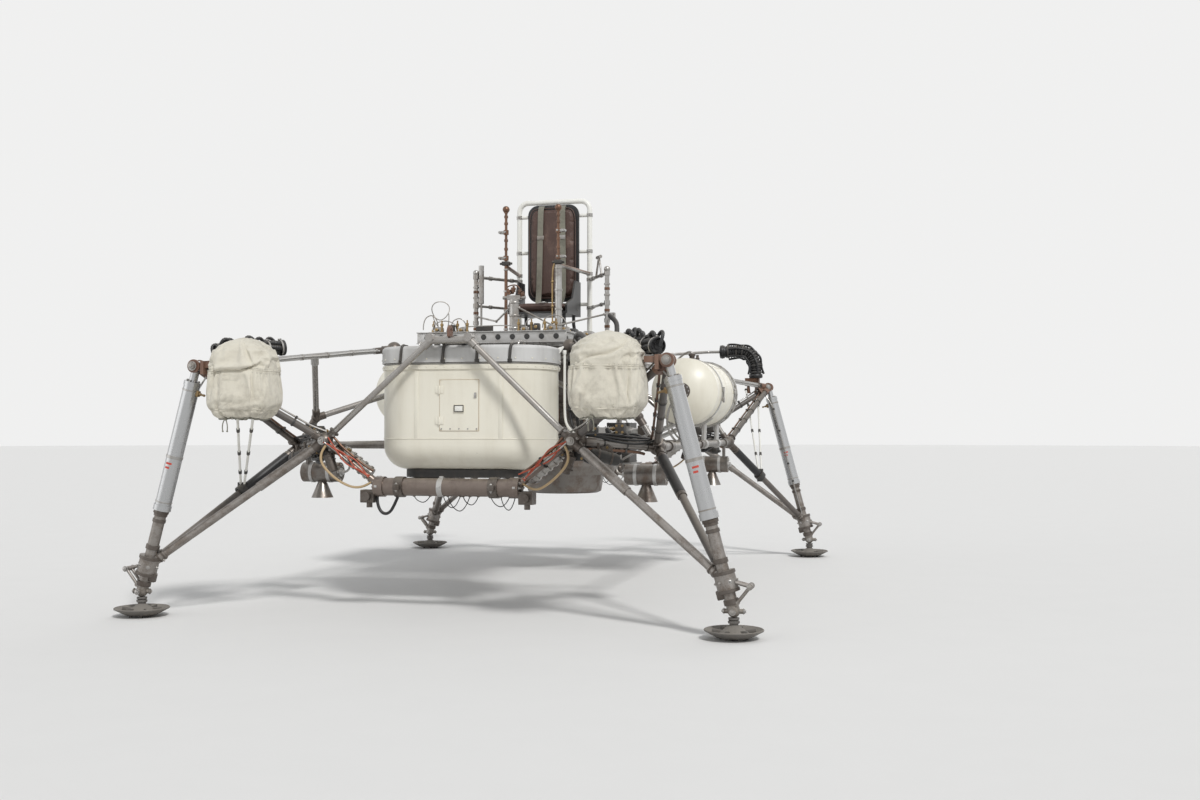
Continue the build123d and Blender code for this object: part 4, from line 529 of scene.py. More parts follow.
NODES_OF_FINISH = {
    "frame_tube": "lower_tubes", "bare_tube": "upper_tubes inner_struts a_frames",
    "fitting": "frame_fittings cradle valve_blocks bearing_blocks",
    "rail": "corner_rails tank_saddles tank_bands gimbal_ring deck_ribs rear_platform",
    "dark_tube": "outriggers side_leg_braces", "clevis": "leg_top_brackets hoist_lugs thruster_arms",
    "keel": "keel_tubes", "cream_paint": "front_tub tub_hatch side_tank_left side_tank_right",
    "lid_paint": "tub_lid", "dark_metal": "lid_brackets tub_plinth footrests equipment_boxes",
    "engine_metal": "engine engine_inlet lift_rockets", "bright_rod": "engine_rotor", "deck_metal": "deck_plate",
    "white_paint": "seat_frame seat_rungs", "black_paint": "seat_bucket",
    "steel": "side_posts pedestal duct_pipes ribbed_canisters", "control_post": "control_posts",
    "bronze": "thruster_pods", "polished": "shock_cylinders", "lower_strut": "piston_struts front_leg_braces",
    "foot": "foot_pads", "black_hose": "seat_hose"}
FINISH_OF_NODE = {node: finish for finish, nodes in NODES_OF_FINISH.items() for node in nodes.split()}


# Stations of the vehicle, repeated from its construction model


@dataclass(frozen=True)
class Stations:
    """Where the frame's fittings are, in metres; sx is +1 on the left side, sy is -1 at the front."""

    foot_x: float = 1.790
    stance_y: float = 2.350
    leg_top_x: float = 1.433
    leg_top_z: float = 1.500
    foot_z: float = 0.150
    knuckle_at: float = 1.235
    deck_top: float = 1.775
    gimbal_z: float = 1.110
    tub_y: float = -1.500
    keel_y: float = 1.930
    keel_z: float = 0.775

    def leg_top(self, sx: int, sy: int) -> Vector:
        """Middle of a leg's top pin."""
        return vec(sx * self.leg_top_x, sy * self.stance_y, self.leg_top_z)

    def foot(self, sx: int, sy: int) -> Vector:
        """Middle of a foot joint."""
        return vec(sx * self.foot_x, sy * self.stance_y, self.foot_z)

    def down_leg(self, sx: int, sy: int, distance: float) -> Vector:
        """A point so far down a leg from its top pin."""
        top = self.leg_top(sx, sy)
        return top + (self.foot(sx, sy) - top).normalized() * distance

    def knuckle(self, sx: int, sy: int) -> Vector:
        """Middle of a leg's knuckle."""
        return self.down_leg(sx, sy, self.knuckle_at)

    def shoulder(self, sx: int, sy: int) -> Vector:
        """Middle of a shoulder fitting."""
        return vec(sx * 0.786, sy * 1.961, 1.055)

    def side(self, sx: int, sy: int) -> Vector:
        """Middle of a side fitting."""
        return vec(sx * 1.196, sy * 1.486, 1.015)

    def upper(self, sx: int, sy: int) -> Vector:
        """Middle of an upper corner fitting."""
        return vec(sx * 0.600, sy * 1.330, 1.650)

    def apex(self, sx: int, sy: int) -> Vector:
        """End of an A-frame's top bar."""
        return vec(sx * 0.124, sy * 1.890, 1.665)

    def keel(self, sx: int, sy: int) -> Vector:
        """End of a keel tube."""
        return vec(sx * 0.430, sy * self.keel_y, self.keel_z)


AT = Stations()
CORNERS = ((1, -1), (-1, -1), (1, 1), (-1, 1))
SIDES = (1, -1)


# Modelling


class Workbench:
    """Blender's modelling operators, used as by hand, and the hand-over of finished pieces."""

    sleeve_bevel = 0.001
    sharp_angle = 0.6

    def __init__(self, shop: Shop) -> None:
        """Keeps the finishes that pieces take."""
        self.shop = shop
        self.count = 0
        self._models: dict[tuple, bpy.types.Mesh] = {}

    @staticmethod
    def pick(*pieces: bpy.types.Object) -> None:
        """Selects only these objects, the first one active."""
        bpy.ops.object.select_all(action="DESELECT")
        for piece in pieces:
            piece.select_set(True)
        bpy.context.view_layer.objects.active = pieces[0]

    @staticmethod
    def turn_to(axis: Sequence[float]) -> Matrix:
        """The rotation that takes +Z to an axis, with +Y kept as level as it can be."""
        return Vector(axis).normalized().to_track_quat("Z", "Y").to_matrix().to_4x4()

    def _model(self, key: tuple, make: Callable[[], bpy.types.Object], place: Matrix) -> bpy.types.Object:
        """A copy, at a place, of a shape that is modelled once at the origin.

        Args:
            key: What tells this shape from others.
            make: Models it.
            place: Where the copy goes.

        Returns:
            The copy, with its own mesh.
        """
        if key not in self._models:
            made = make()
            self._models[key] = made.data
            bpy.data.objects.remove(made)
        mesh = self._models[key].copy()
        mesh.transform(place)
        return self._placed(mesh)

    @staticmethod
    def _placed(mesh: bpy.types.Mesh) -> bpy.types.Object:
        """An object with a mesh, in the scene."""
        piece = bpy.data.objects.new("part", mesh)
        bpy.context.collection.objects.link(piece)
        return piece

    @classmethod
    def shape(cls, points: Iterable[Sequence[float]], faces: Sequence[tuple[int, ...]]) -> bpy.types.Object:
        """An object made of points and faces."""
        mesh = bpy.data.meshes.new("part")
        mesh.from_pydata([tuple(point) for point in points], [], faces)
        return cls._placed(mesh)

    def clear_models(self) -> None:
        """Forgets the shapes that were modelled once."""
        for mesh in self._models.values():
            bpy.data.meshes.remove(mesh)
        self._models = {}

    def drum(
        self, centre: Sequence[float], axis: Sequence[float], radius: float, length: float,
        sides: int = 32, bevel: float = 0.0, open_ends: bool = False,
    ) -> bpy.types.Object:
        """A round bar with softened ends.

        Args:
            centre: Its middle.
            axis: The way it points.
            radius: Its radius.
            length: Its length.
            sides: Faces round it.
            bevel: Width of the bevel on its end edges.
            open_ends: Whether its ends are left open.

        Returns:
            The object, its place in its mesh.
        """

        def make() -> bpy.types.Object:
            """Models it at the origin."""
            bpy.ops.object.select_all(action="DESELECT")
            bpy.ops.mesh.primitive_cone_add(
                vertices=sides, radius1=radius, radius2=radius, depth=length,
                end_fill_type="NOTHING" if open_ends else "NGON")
            piece = bpy.context.object
            if bevel:
                self.bevel(piece, bevel)
            return piece

        return self._model(("drum", radius, length, sides, bevel, open_ends), make, facing(centre, axis))

    def block(
        self, centre: Sequence[float], size: Sequence[float], bevel: float = 0.0, axis: Sequence[float] = UP,
        segments: int = 2,
    ) -> bpy.types.Object:
        """A box with softened edges, its local Z along an axis."""

        def make() -> bpy.types.Object:
            """Models it at the origin."""
            bpy.ops.object.select_all(action="DESELECT")
            bpy.ops.mesh.primitive_cube_add(size=1.0, scale=tuple(size))
            bpy.ops.object.transform_apply(location=False, rotation=False, scale=True)
            piece = bpy.context.object
            if bevel:
                self.bevel(piece, bevel, segments)
            return piece

        level = tuple(axis) == UP
        place = Matrix.Translation(Vector(centre)) if level else facing(centre, axis)
        return self._model(("block", tuple(size), bevel, segments), make, place)

    def ball(self, centre: Sequence[float], radius: float, squash: Point = (1, 1, 1)) -> bpy.types.Object:
        """A ball or a flattened one."""

        def make() -> bpy.types.Object:
            """Models it at the origin."""
            bpy.ops.object.select_all(action="DESELECT")
            bpy.ops.mesh.primitive_uv_sphere_add(segments=24, ring_count=14, radius=radius, scale=tuple(squash))
            bpy.ops.object.transform_apply(location=False, rotation=False, scale=True)
            return bpy.context.object

        return self._model(("ball", radius, squash), make, Matrix.Translation(Vector(centre)))

    def hoop(
        self, centre: Sequence[float], axis: Sequence[float], radius: float, thickness: float, sides: int = 48
    ) -> bpy.types.Object:
        """A round wire bent into a circle."""

        def make() -> bpy.types.Object:
            """Models it at the origin."""
            bpy.ops.object.select_all(action="DESELECT")
            bpy.ops.mesh.primitive_torus_add(
                major_segments=sides, minor_segments=10, major_radius=radius, minor_radius=thickness)
            return bpy.context.object

        return self._model(("hoop", radius, thickness, sides), make, facing(centre, axis))

    def sleeve(
        self, centre: Sequence[float], axis: Sequence[float], radius: float, length: float, wall: float,
        sides: int = 40,
    ) -> bpy.types.Object:
        """A thin band or collar round a tube: open tube, given a wall outwards and soft edges."""

        def make() -> bpy.types.Object:
            """Models it at the origin."""
            piece = self.drum((0, 0, 0), UP, radius, length, sides, open_ends=True)
            self.modify(piece, "SOLIDIFY", thickness=wall, offset=1.0)
            self.bevel(piece, min(self.sleeve_bevel, wall * 0.4), 1)
            return piece

        return self._model(("sleeve", radius, length, wall, sides), make, facing(centre, axis))

    def lathe(
        self, profile: Sequence[tuple[float, float]], centre: Sequence[float], axis: Sequence[float],
        sides: int = 40,
    ) -> bpy.types.Object:
        """Spins an outline round an axis.

        Args:
            profile: Radius and height pairs, from the bottom up; both ends are closed.
            centre: Where height 0 is.
            axis: The axis that it is spun round.
            sides: Faces round it.

        Returns:
            The object.
        """

        def make() -> bpy.types.Object:
            """Extrudes a circle up the outline, at the origin."""
            bpy.ops.object.select_all(action="DESELECT")
            bpy.ops.mesh.primitive_circle_add(vertices=sides, radius=profile[0][0], location=(0, 0, profile[0][1]))
            bpy.ops.object.transform_apply(location=True)
            bpy.ops.object.mode_set(mode="EDIT")
            bpy.ops.mesh.select_mode(type="VERT")
            bpy.ops.mesh.select_all(action="SELECT")
            for (r0, z0), (r1, z1) in zip(profile, profile[1:]):
                bpy.ops.mesh.extrude_region_move(TRANSFORM_OT_translate={"value": (0, 0, z1 - z0)})
                bpy.ops.transform.resize(value=(r1 / r0, r1 / r0, 1), center_override=(0, 0, z1))
            bpy.ops.mesh.edge_face_add()
            bpy.ops.mesh.select_all(action="DESELECT")
            bpy.ops.mesh.select_non_manifold()
            bpy.ops.mesh.edge_face_add()
            bpy.ops.mesh.select_all(action="SELECT")
            bpy.ops.mesh.normals_make_consistent(inside=False)
            bpy.ops.object.mode_set(mode="OBJECT")
            return bpy.context.object

        return self._model(("lathe", tuple(profile), sides), make, facing(centre, axis))

    def hose(
        self, points: Sequence[Sequence[float]], radius: float, sides: int = 10, steps: int = 6,
        ribs: tuple[float, float] | None = None,
    ) -> bpy.types.Object:
        """A round hose or wire along a smooth line.

        Args:
            points: Control points of the line.
            radius: The hose's radius.
            sides: Faces round it.
            steps: Rings for each control point.
            ribs: Spacing of ribs along it and how far they stand out, where it is ribbed.

        Returns:
            The hose as a closed mesh.
        """
        data = self._curve("NURBS", points, steps, radius, sides)
        data.use_fill_caps = True
        section = 4 + 2 * data.bevel_resolution
        piece = self._placed(self._swept(data))
        if ribs:
            self._rib(piece, section, ribs)
        return piece

    @staticmethod
    def _curve(
        kind: str, points: Sequence[Sequence[float]], steps: int, radius: float = 0.0, sides: int = 4
    ) -> bpy.types.Curve:
        """A curve along points, NURBS or POLY, with a round section where it has a radius."""
        data = bpy.data.curves.new("line", "CURVE")
        data.dimensions = "3D"
        data.resolution_u = steps
        data.bevel_depth = radius
        data.bevel_resolution = max(1, sides // 4)
        spline = data.splines.new(kind)
        spline.points.add(len(points) - 1)
        for slot, point in zip(spline.points, points):
            slot.co = (*point, 1.0)
        if kind == "NURBS":
            spline.order_u = min(4, len(points))
            spline.use_endpoint_u = True
        return data

    @staticmethod
    def _swept(data: bpy.types.Curve) -> bpy.types.Mesh:
        """The mesh of a curve, which is used up."""
        holder = bpy.data.objects.new("line", data)
        mesh = bpy.data.meshes.new_from_object(holder)
        bpy.data.objects.remove(holder)
        bpy.data.curves.remove(data)
        return mesh

    def loop(self, points: Sequence[Sequence[float]], radius: float, sides: int = 8) -> bpy.types.Object:
        """A closed ring of wire through points."""
        data = self._curve("POLY", points, 12, radius, sides)
        data.splines[0].use_cyclic_u = True
        return self._placed(self._swept(data))

    @staticmethod
    def _rib(piece: bpy.types.Object, sides: int, ribs: tuple[float, float]) -> None:
        """Swells a hose in waves along its length; its vertices lie ring after ring."""
        spacing, proud = ribs
        vertices = piece.data.vertices
        run, before = 0.0, None
        for first in range(0, len(vertices) - sides + 1, sides):
            ring = [vertices[index] for index in range(first, first + sides)]
            middle = sum((vertex.co for vertex in ring), Vector()) / sides
            run += (middle - before).length if before is not None else 0.0
            before = middle
            swell = proud * (0.5 + 0.5 * math.cos(2 * math.pi * run / spacing))
            for vertex in ring:
                vertex.co += (vertex.co - middle).normalized() * swell

    def line_through(self, points: Sequence[Sequence[float]], steps: int) -> list[Vector]:
        """Points read from the smooth line of a hose."""
        mesh = self._swept(self._curve("NURBS", points, steps))
        line = [vertex.co.copy() for vertex in mesh.vertices]
        bpy.data.meshes.remove(mesh)
        return line

    def plate(self, corners: Sequence[Vector], wall: float) -> bpy.types.Object:
        """A flat plate through its corners, with soft edges."""
        plate = self.shape(corners, [tuple(range(len(corners)))])
        self.modify(plate, "SOLIDIFY", thickness=wall, offset=0.0)
        self.bevel(plate, 0.0015, 1)
        return plate

    def modify(self, piece: bpy.types.Object, kind: str, **settings: object) -> None:
        """Adds a modifier, sets it and applies it."""
        self.pick(piece)
        modifier = piece.modifiers.new(kind.lower(), kind)
        for name, value in settings.items():
            setattr(modifier, name, value)
        bpy.ops.object.modifier_apply(modifier=modifier.name)

    def bevel(self, piece: bpy.types.Object, width: float, segments: int = 2) -> None:
        """Rounds the sharp edges."""
        self.modify(
            piece, "BEVEL", width=width, segments=segments, limit_method="ANGLE", angle_limit=self.sharp_angle)

    def settle(
        self, piece: bpy.types.Object, last_frame: int, most_moved: float, gravity: float = 0.0, gap: float = 0.0,
        **settings: object,
    ) -> None:
        """Lets a piece move as cloth, then holds each point near where it was.

        Args:
            piece: The piece.
            last_frame: How many frames it moves for.
            most_moved: How far a point may end from where it was.
            gravity: Share of gravity that it feels.
            gap: Distance that it keeps from what it collides with, if it does.
            settings: The cloth's own settings.
        """
        start = [vertex.co.copy() for vertex in piece.data.vertices]
        cloth = piece.modifiers.new("cloth", "CLOTH")
        for name, value in settings.items():
            setattr(cloth.settings, name, value)
        cloth.settings.effector_weights.gravity = gravity
        if gap:
            cloth.collision_settings.distance_min = gap
        cloth.point_cache.frame_start, cloth.point_cache.frame_end = 1, last_frame
        scene = bpy.context.scene
        for frame in range(1, last_frame + 1):
            scene.frame_set(frame)
        self.pick(piece)
        bpy.ops.object.modifier_apply(modifier=cloth.name)
        scene.frame_set(1)
        for vertex, origin in zip(piece.data.vertices, start):
            moved = vertex.co - origin
            if moved.length > most_moved:
                vertex.co = origin + moved.normalized() * most_moved

    def copy(self, piece: bpy.types.Object, place: Matrix) -> bpy.types.Object:
        """A copy with its own mesh, moved by a matrix."""
        twin = piece.copy()
        twin.data = piece.data.copy()
        twin.data.transform(place)
        if place.determinant() < 0:
            twin.data.flip_normals()
        bpy.context.collection.objects.link(twin)
        return twin

    def copies(self, piece: bpy.types.Object, places: Iterable[Matrix]) -> list[bpy.types.Object]:
        """Copies of a piece modelled at the origin, one at each place."""
        return [self.copy(piece, place) for place in places]

    def drop(self, piece: bpy.types.Object) -> None:
        """Deletes a working piece."""
        bpy.data.objects.remove(piece)

    def bolts(self, places: Iterable[Matrix], size: float, proud: float = 0.6) -> list[bpy.types.Object]:
        """Hexagon bolt heads with washers and shank ends.

        Args:
            places: Where each one stands, its head along the place's Z.
            size: Radius of the head.
            proud: How far the shank stands out of the head, as a share of its radius.

        Returns:
            The bolts.
        """

        def make() -> bpy.types.Object:
            """Models one at the origin."""
            return self.join([
                self.drum((0, 0, size * 0.35), UP, size, size * 0.7, 6, size * 0.12),
                self.drum((0, 0, size * (0.7 + proud / 2)), UP, size * 0.5, size * proud, 10, size * 0.08),
                self.drum((0, 0, size * 0.06), UP, size * 1.35, size * 0.16, 16)])

        return [self._model(("bolt", size, proud), make, place) for place in places]

    def join(self, pieces: Sequence[bpy.types.Object]) -> bpy.types.Object:
        """Joins pieces into one mesh."""
        if len(pieces) > 1:
            self.pick(*pieces)
            bpy.ops.object.join()
        return pieces[0]

    def finish(
        self, pieces: bpy.types.Object | Sequence[bpy.types.Object], name: str, finish: str, body: str = "vehicle",
        smooth: float = 0.7, replaces: Sequence[str] = (),
    ) -> bpy.types.Object:
        """Joins, smooths, names, colours and mounts a piece.

        Args:
            pieces: What it is made of.
            name: Its name.
            finish: The finish that it takes.
            body: The CAD body that it rides on.
            smooth: Edges sharper than this angle, in radians, stay sharp.
            replaces: CAD nodes that it stands for.

        Returns:
            The finished piece.
        """
        piece = self.join(list(pieces)) if isinstance(pieces, (list, tuple)) else pieces
        self.pick(piece)
        bpy.ops.object.shade_smooth_by_angle(angle=smooth)
        piece.name = name
        piece.data.name = name
        piece.data.materials.clear()
        piece.data.materials.append(self.shop.get(finish))
        for polygon in piece.data.polygons:
            polygon.material_index = 0
        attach(piece, body)
        SLOT_OF_FINISH.get(finish, finish)
        if replaces:
            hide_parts(*replaces)
        self.count += 1
        LOG.info("%s: %d faces", name, len(piece.data.polygons))
        return piece


def vec(x: float, y: float, z: float) -> Vector:
    """A point or a direction."""
    return Vector((x, y, z))


def signed_power(value: float, power: float) -> float:
    """A number's size raised to a power, with the number's sign."""
    return math.copysign(abs(value) ** power, value)


def trail(root: Vector, *steps: Point) -> list[Vector]:
    """Points at steps from one root."""
    return [root + Vector(step) for step in steps]


def between(start: Vector, end: Vector, share: float) -> Vector:
    """A point part of the way from one point to another."""
    return start + (end - start) * share


def around(
    axis: Sequence[float], centre: Sequence[float], radius: float, count: int, out: bool = False, first: float = 0.0
) -> list[Matrix]:
    """Places on a circle, each one's Z along the axis, or outwards.

    Args:
        axis: The circle's axis.
        centre: Its middle.
        radius: Its radius.
        count: How many places.
        out: Whether each place's Z points away from the axis.
        first: Angle of the first place.

    Returns:
        One matrix for each place.
    """
    frame = Matrix.Translation(Vector(centre)) @ Workbench.turn_to(axis)
    places = []
    for step in range(count):
        turn = Matrix.Rotation(first + 2 * math.pi * step / count, 4, "Z")
        place = frame @ turn @ Matrix.Translation((radius, 0, 0))
        if out:
            place = place @ Matrix.Rotation(math.pi / 2, 4, "Y")
        places.append(place)
    return places


def facing(centre: Sequence[float], axis: Sequence[float]) -> Matrix:
    """The place of something at a point with its Z along an axis."""
    return Matrix.Translation(Vector(centre)) @ Workbench.turn_to(axis)


# The studio


@dataclass
class Studio:
    """Floor, lamps, world and camera."""

    floor_radius: float = 90.0
    floor_colour: Colour = (0.78, 0.77, 0.75)
    camera_place: Point = (2.786, -9.299, 1.120)
    camera_turn: Point = (math.pi / 2 + 0.0230, 0.0, 0.2446)
    lens: float = 39.0
    lens_sensor: float = 36.0
    sky: float = 0.44
    sky_colour: Colour = (0.93, 0.96, 1.0)
    backdrop: Colour = (0.872, 0.872, 0.868)
    aim: Point = (0.0, 0.0, 1.1)
    lamps: tuple[tuple[Point, float, float], ...] = (
        ((5.0, -5.6, 8.5), 0.16, 2.05), ((-7.5, -4.5, 1.6), 0.9, 0.55), ((1.0, 8.0, 6.0), 0.9, 0.40))

    def build(self, bench: Workbench) -> None:
        """Makes the stage and the camera."""
        self._floor()
        self._world()
        for place, spread, strength in self.lamps:
            self._lamp(place, spread, strength)
        self._camera()
        bpy.context.scene.view_settings.view_transform = "Standard"

    def _floor(self) -> None:
        """A broad pale disc under the vehicle."""
        bpy.ops.object.select_all(action="DESELECT")
        bpy.ops.mesh.primitive_circle_add(vertices=96, radius=self.floor_radius, fill_type="NGON")
        floor = bpy.context.object
        floor.name = "studio_floor"
        graph = ShaderGraph("studio_floor")
        speck = graph.noise(3.0, 4, 0.6)
        colour = graph.blend(self.floor_colour, tint(self.floor_colour, 0.97), speck)
        graph.set(base_color=colour, roughness=0.9)
        floor.data.materials.append(graph.material)

    def _world(self) -> None:
        """A soft pale sky: plain light on the vehicle, white behind it and in its reflections."""
        world = bpy.data.worlds.new("studio")
        world.use_nodes = True
        tree = world.node_tree
        light = tree.nodes["Background"]
        light.inputs["Color"].default_value = (*self.sky_colour, 1.0)
        light.inputs["Strength"].default_value = self.sky
        white = tree.nodes.new("ShaderNodeBackground")
        white.inputs["Color"].default_value = (*self.backdrop, 1.0)
        path = tree.nodes.new("ShaderNodeLightPath")
        seen = path.outputs["Is Camera Ray"]
        for name in ("Is Glossy Ray", "Is Transmission Ray"):
            either = tree.nodes.new("ShaderNodeMath")
            either.operation = "MAXIMUM"
            tree.links.new(seen, either.inputs[0])
            tree.links.new(path.outputs[name], either.inputs[1])
            seen = either.outputs[0]
        mix = tree.nodes.new("ShaderNodeMixShader")
        tree.links.new(seen, mix.inputs[0])
        tree.links.new(light.outputs[0], mix.inputs[1])
        tree.links.new(white.outputs[0], mix.inputs[2])
        tree.links.new(mix.outputs[0], tree.nodes["World Output"].inputs["Surface"])
        bpy.context.scene.world = world

    def _lamp(self, place: Point, spread: float, strength: float) -> None:
        """A soft distant lamp that shines from a place towards the vehicle's middle."""
        bpy.ops.object.light_add(type="SUN", location=place)
        lamp = bpy.context.object
        lamp.data.angle = spread
        lamp.data.energy = strength
        aim = Vector(self.aim) - Vector(place)
        lamp.rotation_euler = aim.to_track_quat("-Z", "Y").to_euler()

    def _camera(self) -> None:
        """The camera at the photograph's viewing angle."""
        bpy.ops.object.camera_add(location=self.camera_place, rotation=self.camera_turn)
        camera = bpy.context.object
        camera.data.lens = self.lens
        camera.data.sensor_width = self.lens_sensor
        camera.data.clip_end = 300.0
        bpy.context.scene.camera = camera


@dataclass
class LandingLegs:
    """Fasteners, bands, lines and marks on the four legs."""

    shock_r: float = 0.048
    shock_top: float = 0.095
    shock_end: float = 0.890
    rod_r: float = 0.034
    knuckle_r: float = 0.058
    knuckle_half: float = 0.060
    brace_r: float = 0.024
    sleeve_from: float = 0.62
    pad_r: float = 0.160
    pin_end: float = 0.050
    line_r: float = 0.0055

    def build(self, bench: Workbench) -> None:
        """Builds the details of every leg."""
        self._caps(bench)
        self._bands(bench)
        self._marks(bench)
        self._lines(bench)
        self._knuckles(bench)
        self._pins(bench)
        self._sleeves(bench)
        self._pads(bench)
        self._gussets(bench)

    def _axis(self, sx: int, sy: int) -> Vector:
        """The way down a leg."""
        return (AT.foot(sx, sy) - AT.leg_top(sx, sy)).normalized()

    def _caps(self, bench: Workbench) -> None:
        """Cap screws round each cylinder's head, the gland nut at its foot and its charging valve."""
        screws, glands, valves = [], [], []
        screw = bench.drum((0, 0, 0.004), UP, 0.0055, 0.010, 12, 0.0012)
        for sx, sy in CORNERS:
            axis = self._axis(sx, sy)
            head = AT.down_leg(sx, sy, self.shock_top - 0.001)
            screws += bench.copies(screw, around(-axis, head, 0.036, 8))
            gland = AT.down_leg(sx, sy, self.shock_end + 0.006)
            glands += [
                bench.drum(gland, axis, 0.047, 0.030, 8, 0.003),
                bench.sleeve(AT.down_leg(sx, sy, self.shock_end + 0.028), axis, self.rod_r, 0.016, 0.006)]
            side = axis.cross(Vector(REAR)).normalized() * -sx
            base = AT.down_leg(sx, sy, self.shock_top + 0.062) + side * self.shock_r
            valves += [
                bench.block(base, (0.030, 0.036, 0.026), 0.004, side),
                bench.lathe([
                    (0.009, 0.0), (0.009, 0.016), (0.006, 0.018), (0.006, 0.030), (0.0075, 0.031), (0.0075, 0.040),
                    (0.004, 0.043)], base + side * 0.010, side, 14)]
        bench.drop(screw)
        bench.finish(screws, "shock_cap_screws", "steel")
        bench.finish(glands, "shock_gland_nuts", "fitting")
        bench.finish(valves, "shock_charging_valves", "brass")

    def _bands(self, bench: Workbench) -> None:
        """Thin bands on the cylinders and scraper rings on the rods."""
        bright, dark = [], []
        for sx, sy in CORNERS:
            axis = self._axis(sx, sy)
            for at, width in ((0.148, 0.010), (0.560, 0.018), (0.838, 0.008)):
                bright.append(bench.sleeve(AT.down_leg(sx, sy, at), axis, self.shock_r, width, 0.0022))
            for at, width, wall in ((0.955, 0.020, 0.005), (1.120, 0.026, 0.007), (1.345, 0.030, 0.008)):
                dark.append(bench.sleeve(AT.down_leg(sx, sy, at), axis, self.rod_r, width, wall))
            down = AT.down_leg(sx, sy, 1.32)
            dark.append(bench.block(down + vec(-sx * 0.050, 0, 0.01), (0.034, 0.046, 0.052), 0.006, axis))
        bench.finish(bright, "shock_bands", "steel")
        bench.finish(dark, "piston_bands", "fitting")

    def _marks(self, bench: Workbench) -> None:
        """Bare red painted strokes on the cylinders."""
        strokes = []
        for sx, sy in CORNERS:
            axis = self._axis(sx, sy)
            for at, height, turn, half_angle in ((0.600, 0.012, 0.0, 0.42), (0.626, 0.012, 0.12, 0.30)):
                middle = AT.down_leg(sx, sy, at)
                stroke = bench.drum(middle, axis, self.shock_r + 0.0003, height, 64, open_ends=True)
                self._keep_arc(bench, stroke, middle, axis, vec(0.05 - turn, -1.0, 0.15), half_angle)
                bench.modify(stroke, "SOLIDIFY", thickness=0.0007, offset=1.0)
                strokes.append(stroke)
        bench.finish(strokes, "shock_red_marks", "red_mark")

    @staticmethod
    def _keep_arc(
        bench: Workbench, piece: bpy.types.Object, middle: Vector, axis: Vector, toward: Vector, half_angle: float
    ) -> None:
        """Deletes a tube's faces that don't face a direction within an angle."""
        aim = (toward - axis * toward.dot(axis)).normalized()
        bench.pick(piece)
        bpy.ops.object.mode_set(mode="EDIT")
        bpy.ops.mesh.select_all(action="DESELECT")
        bpy.ops.object.mode_set(mode="OBJECT")
        for polygon in piece.data.polygons:
            out = polygon.center - middle
            out = (out - axis * out.dot(axis)).normalized()
            polygon.select = out.angle(aim) > half_angle
        bpy.ops.object.mode_set(mode="EDIT")
        bpy.ops.mesh.select_mode(type="FACE")
        bpy.ops.mesh.delete(type="FACE")
        bpy.ops.object.mode_set(mode="OBJECT")

    def _lines(self, bench: Workbench) -> None:
        """A thin fluid line down each cylinder, held by clips."""
        pipes, clips = [], []
        for sx, sy in CORNERS:
            axis = self._axis(sx, sy)
            side = vec(0, -sy, 0)
            lift = self.shock_r + self.line_r + 0.004
            route = [
                AT.leg_top(sx, sy) + vec(-sx * 0.10, -sy * 0.02, 0.02),
                AT.leg_top(sx, sy) + vec(-sx * 0.07, -sy * 0.055, -0.02),
                AT.down_leg(sx, sy, 0.13) + side * lift,
                AT.down_leg(sx, sy, 0.30) + side * lift,
                AT.down_leg(sx, sy, 0.62) + side * lift,
                AT.down_leg(sx, sy, 0.88) + side * lift,
                AT.down_leg(sx, sy, 0.95) + side * (lift + 0.004),
                AT.down_leg(sx, sy, 1.02) + side * 0.048,
                AT.down_leg(sx, sy, 1.165) + side * 0.044]
            pipes.append(bench.hose(route, self.line_r, 8, 8))
            for at in (0.20, 0.40, 0.70, 0.86):
                spot = AT.down_leg(sx, sy, at) + side * (lift - 0.002)
                clips.append(bench.block(spot, (0.022, 0.018, 0.016), 0.002, axis))
        bench.finish(pipes, "leg_fluid_lines", "steel")
        bench.finish(clips, "leg_line_clips", "dark_metal")

    def _knuckles(self, bench: Workbench) -> None:
        """Rims and bolts on the knuckles and their brace sockets."""
        rims, bolts = [], []
        bolt_r = 0.0085
        for sx, sy in CORNERS:
            axis, knee = self._axis(sx, sy), AT.knuckle(sx, sy)
            for end in (-1, 1):
                rims.append(bench.sleeve(
                    knee + axis * (end * (self.knuckle_half - 0.010)), axis, self.knuckle_r, 0.018, 0.006))
            bolts += bench.bolts(around(axis, knee, self.knuckle_r - 0.001, 6, True, 0.5), bolt_r)
            for root in (AT.shoulder(sx, sy), AT.side(sx, sy)):
                way = (root - knee).normalized()
                for at in (0.078, 0.108):
                    rims.append(bench.sleeve(knee + way * at, way, self.brace_r + 0.006, 0.010, 0.003))
                bolts += bench.bolts(around(way, knee + way * 0.093, self.brace_r + 0.005, 2, True, 1.2), bolt_r)
        bench.finish(rims, "knuckle_rims", "fitting")
        bench.finish(bolts, "knuckle_bolts", "steel")

    def _pins(self, bench: Workbench) -> None:
        """Nuts and cotter heads on the pins at leg tops, torque links and foot joints."""
        nuts = []
        big, small = (0.021, 0.35), (0.013, 0.4)
        for sx, sy in CORNERS:
            for end in (-1, 1):
                nuts += bench.bolts([facing(AT.leg_top(sx, sy) + vec(0, end * self.pin_end, 0), (0, end, 0))], *big)
                foot = AT.foot(sx, sy)
                nuts += bench.bolts([
                    facing(foot + vec(end * 0.052, 0, 0), (end, 0, 0)),
                    facing(foot + vec(0, end * 0.052, 0), (0, end, 0))], *small)
                knee = AT.knuckle(sx, sy)
                bend = knee + vec(sx * 0.126, 0, 0) + self._axis(sx, sy) * 0.022
                nuts += bench.bolts([facing(bend + vec(0, end * 0.038, 0), (0, end, 0))], *small)
        bench.finish(nuts, "leg_pin_nuts", "steel")

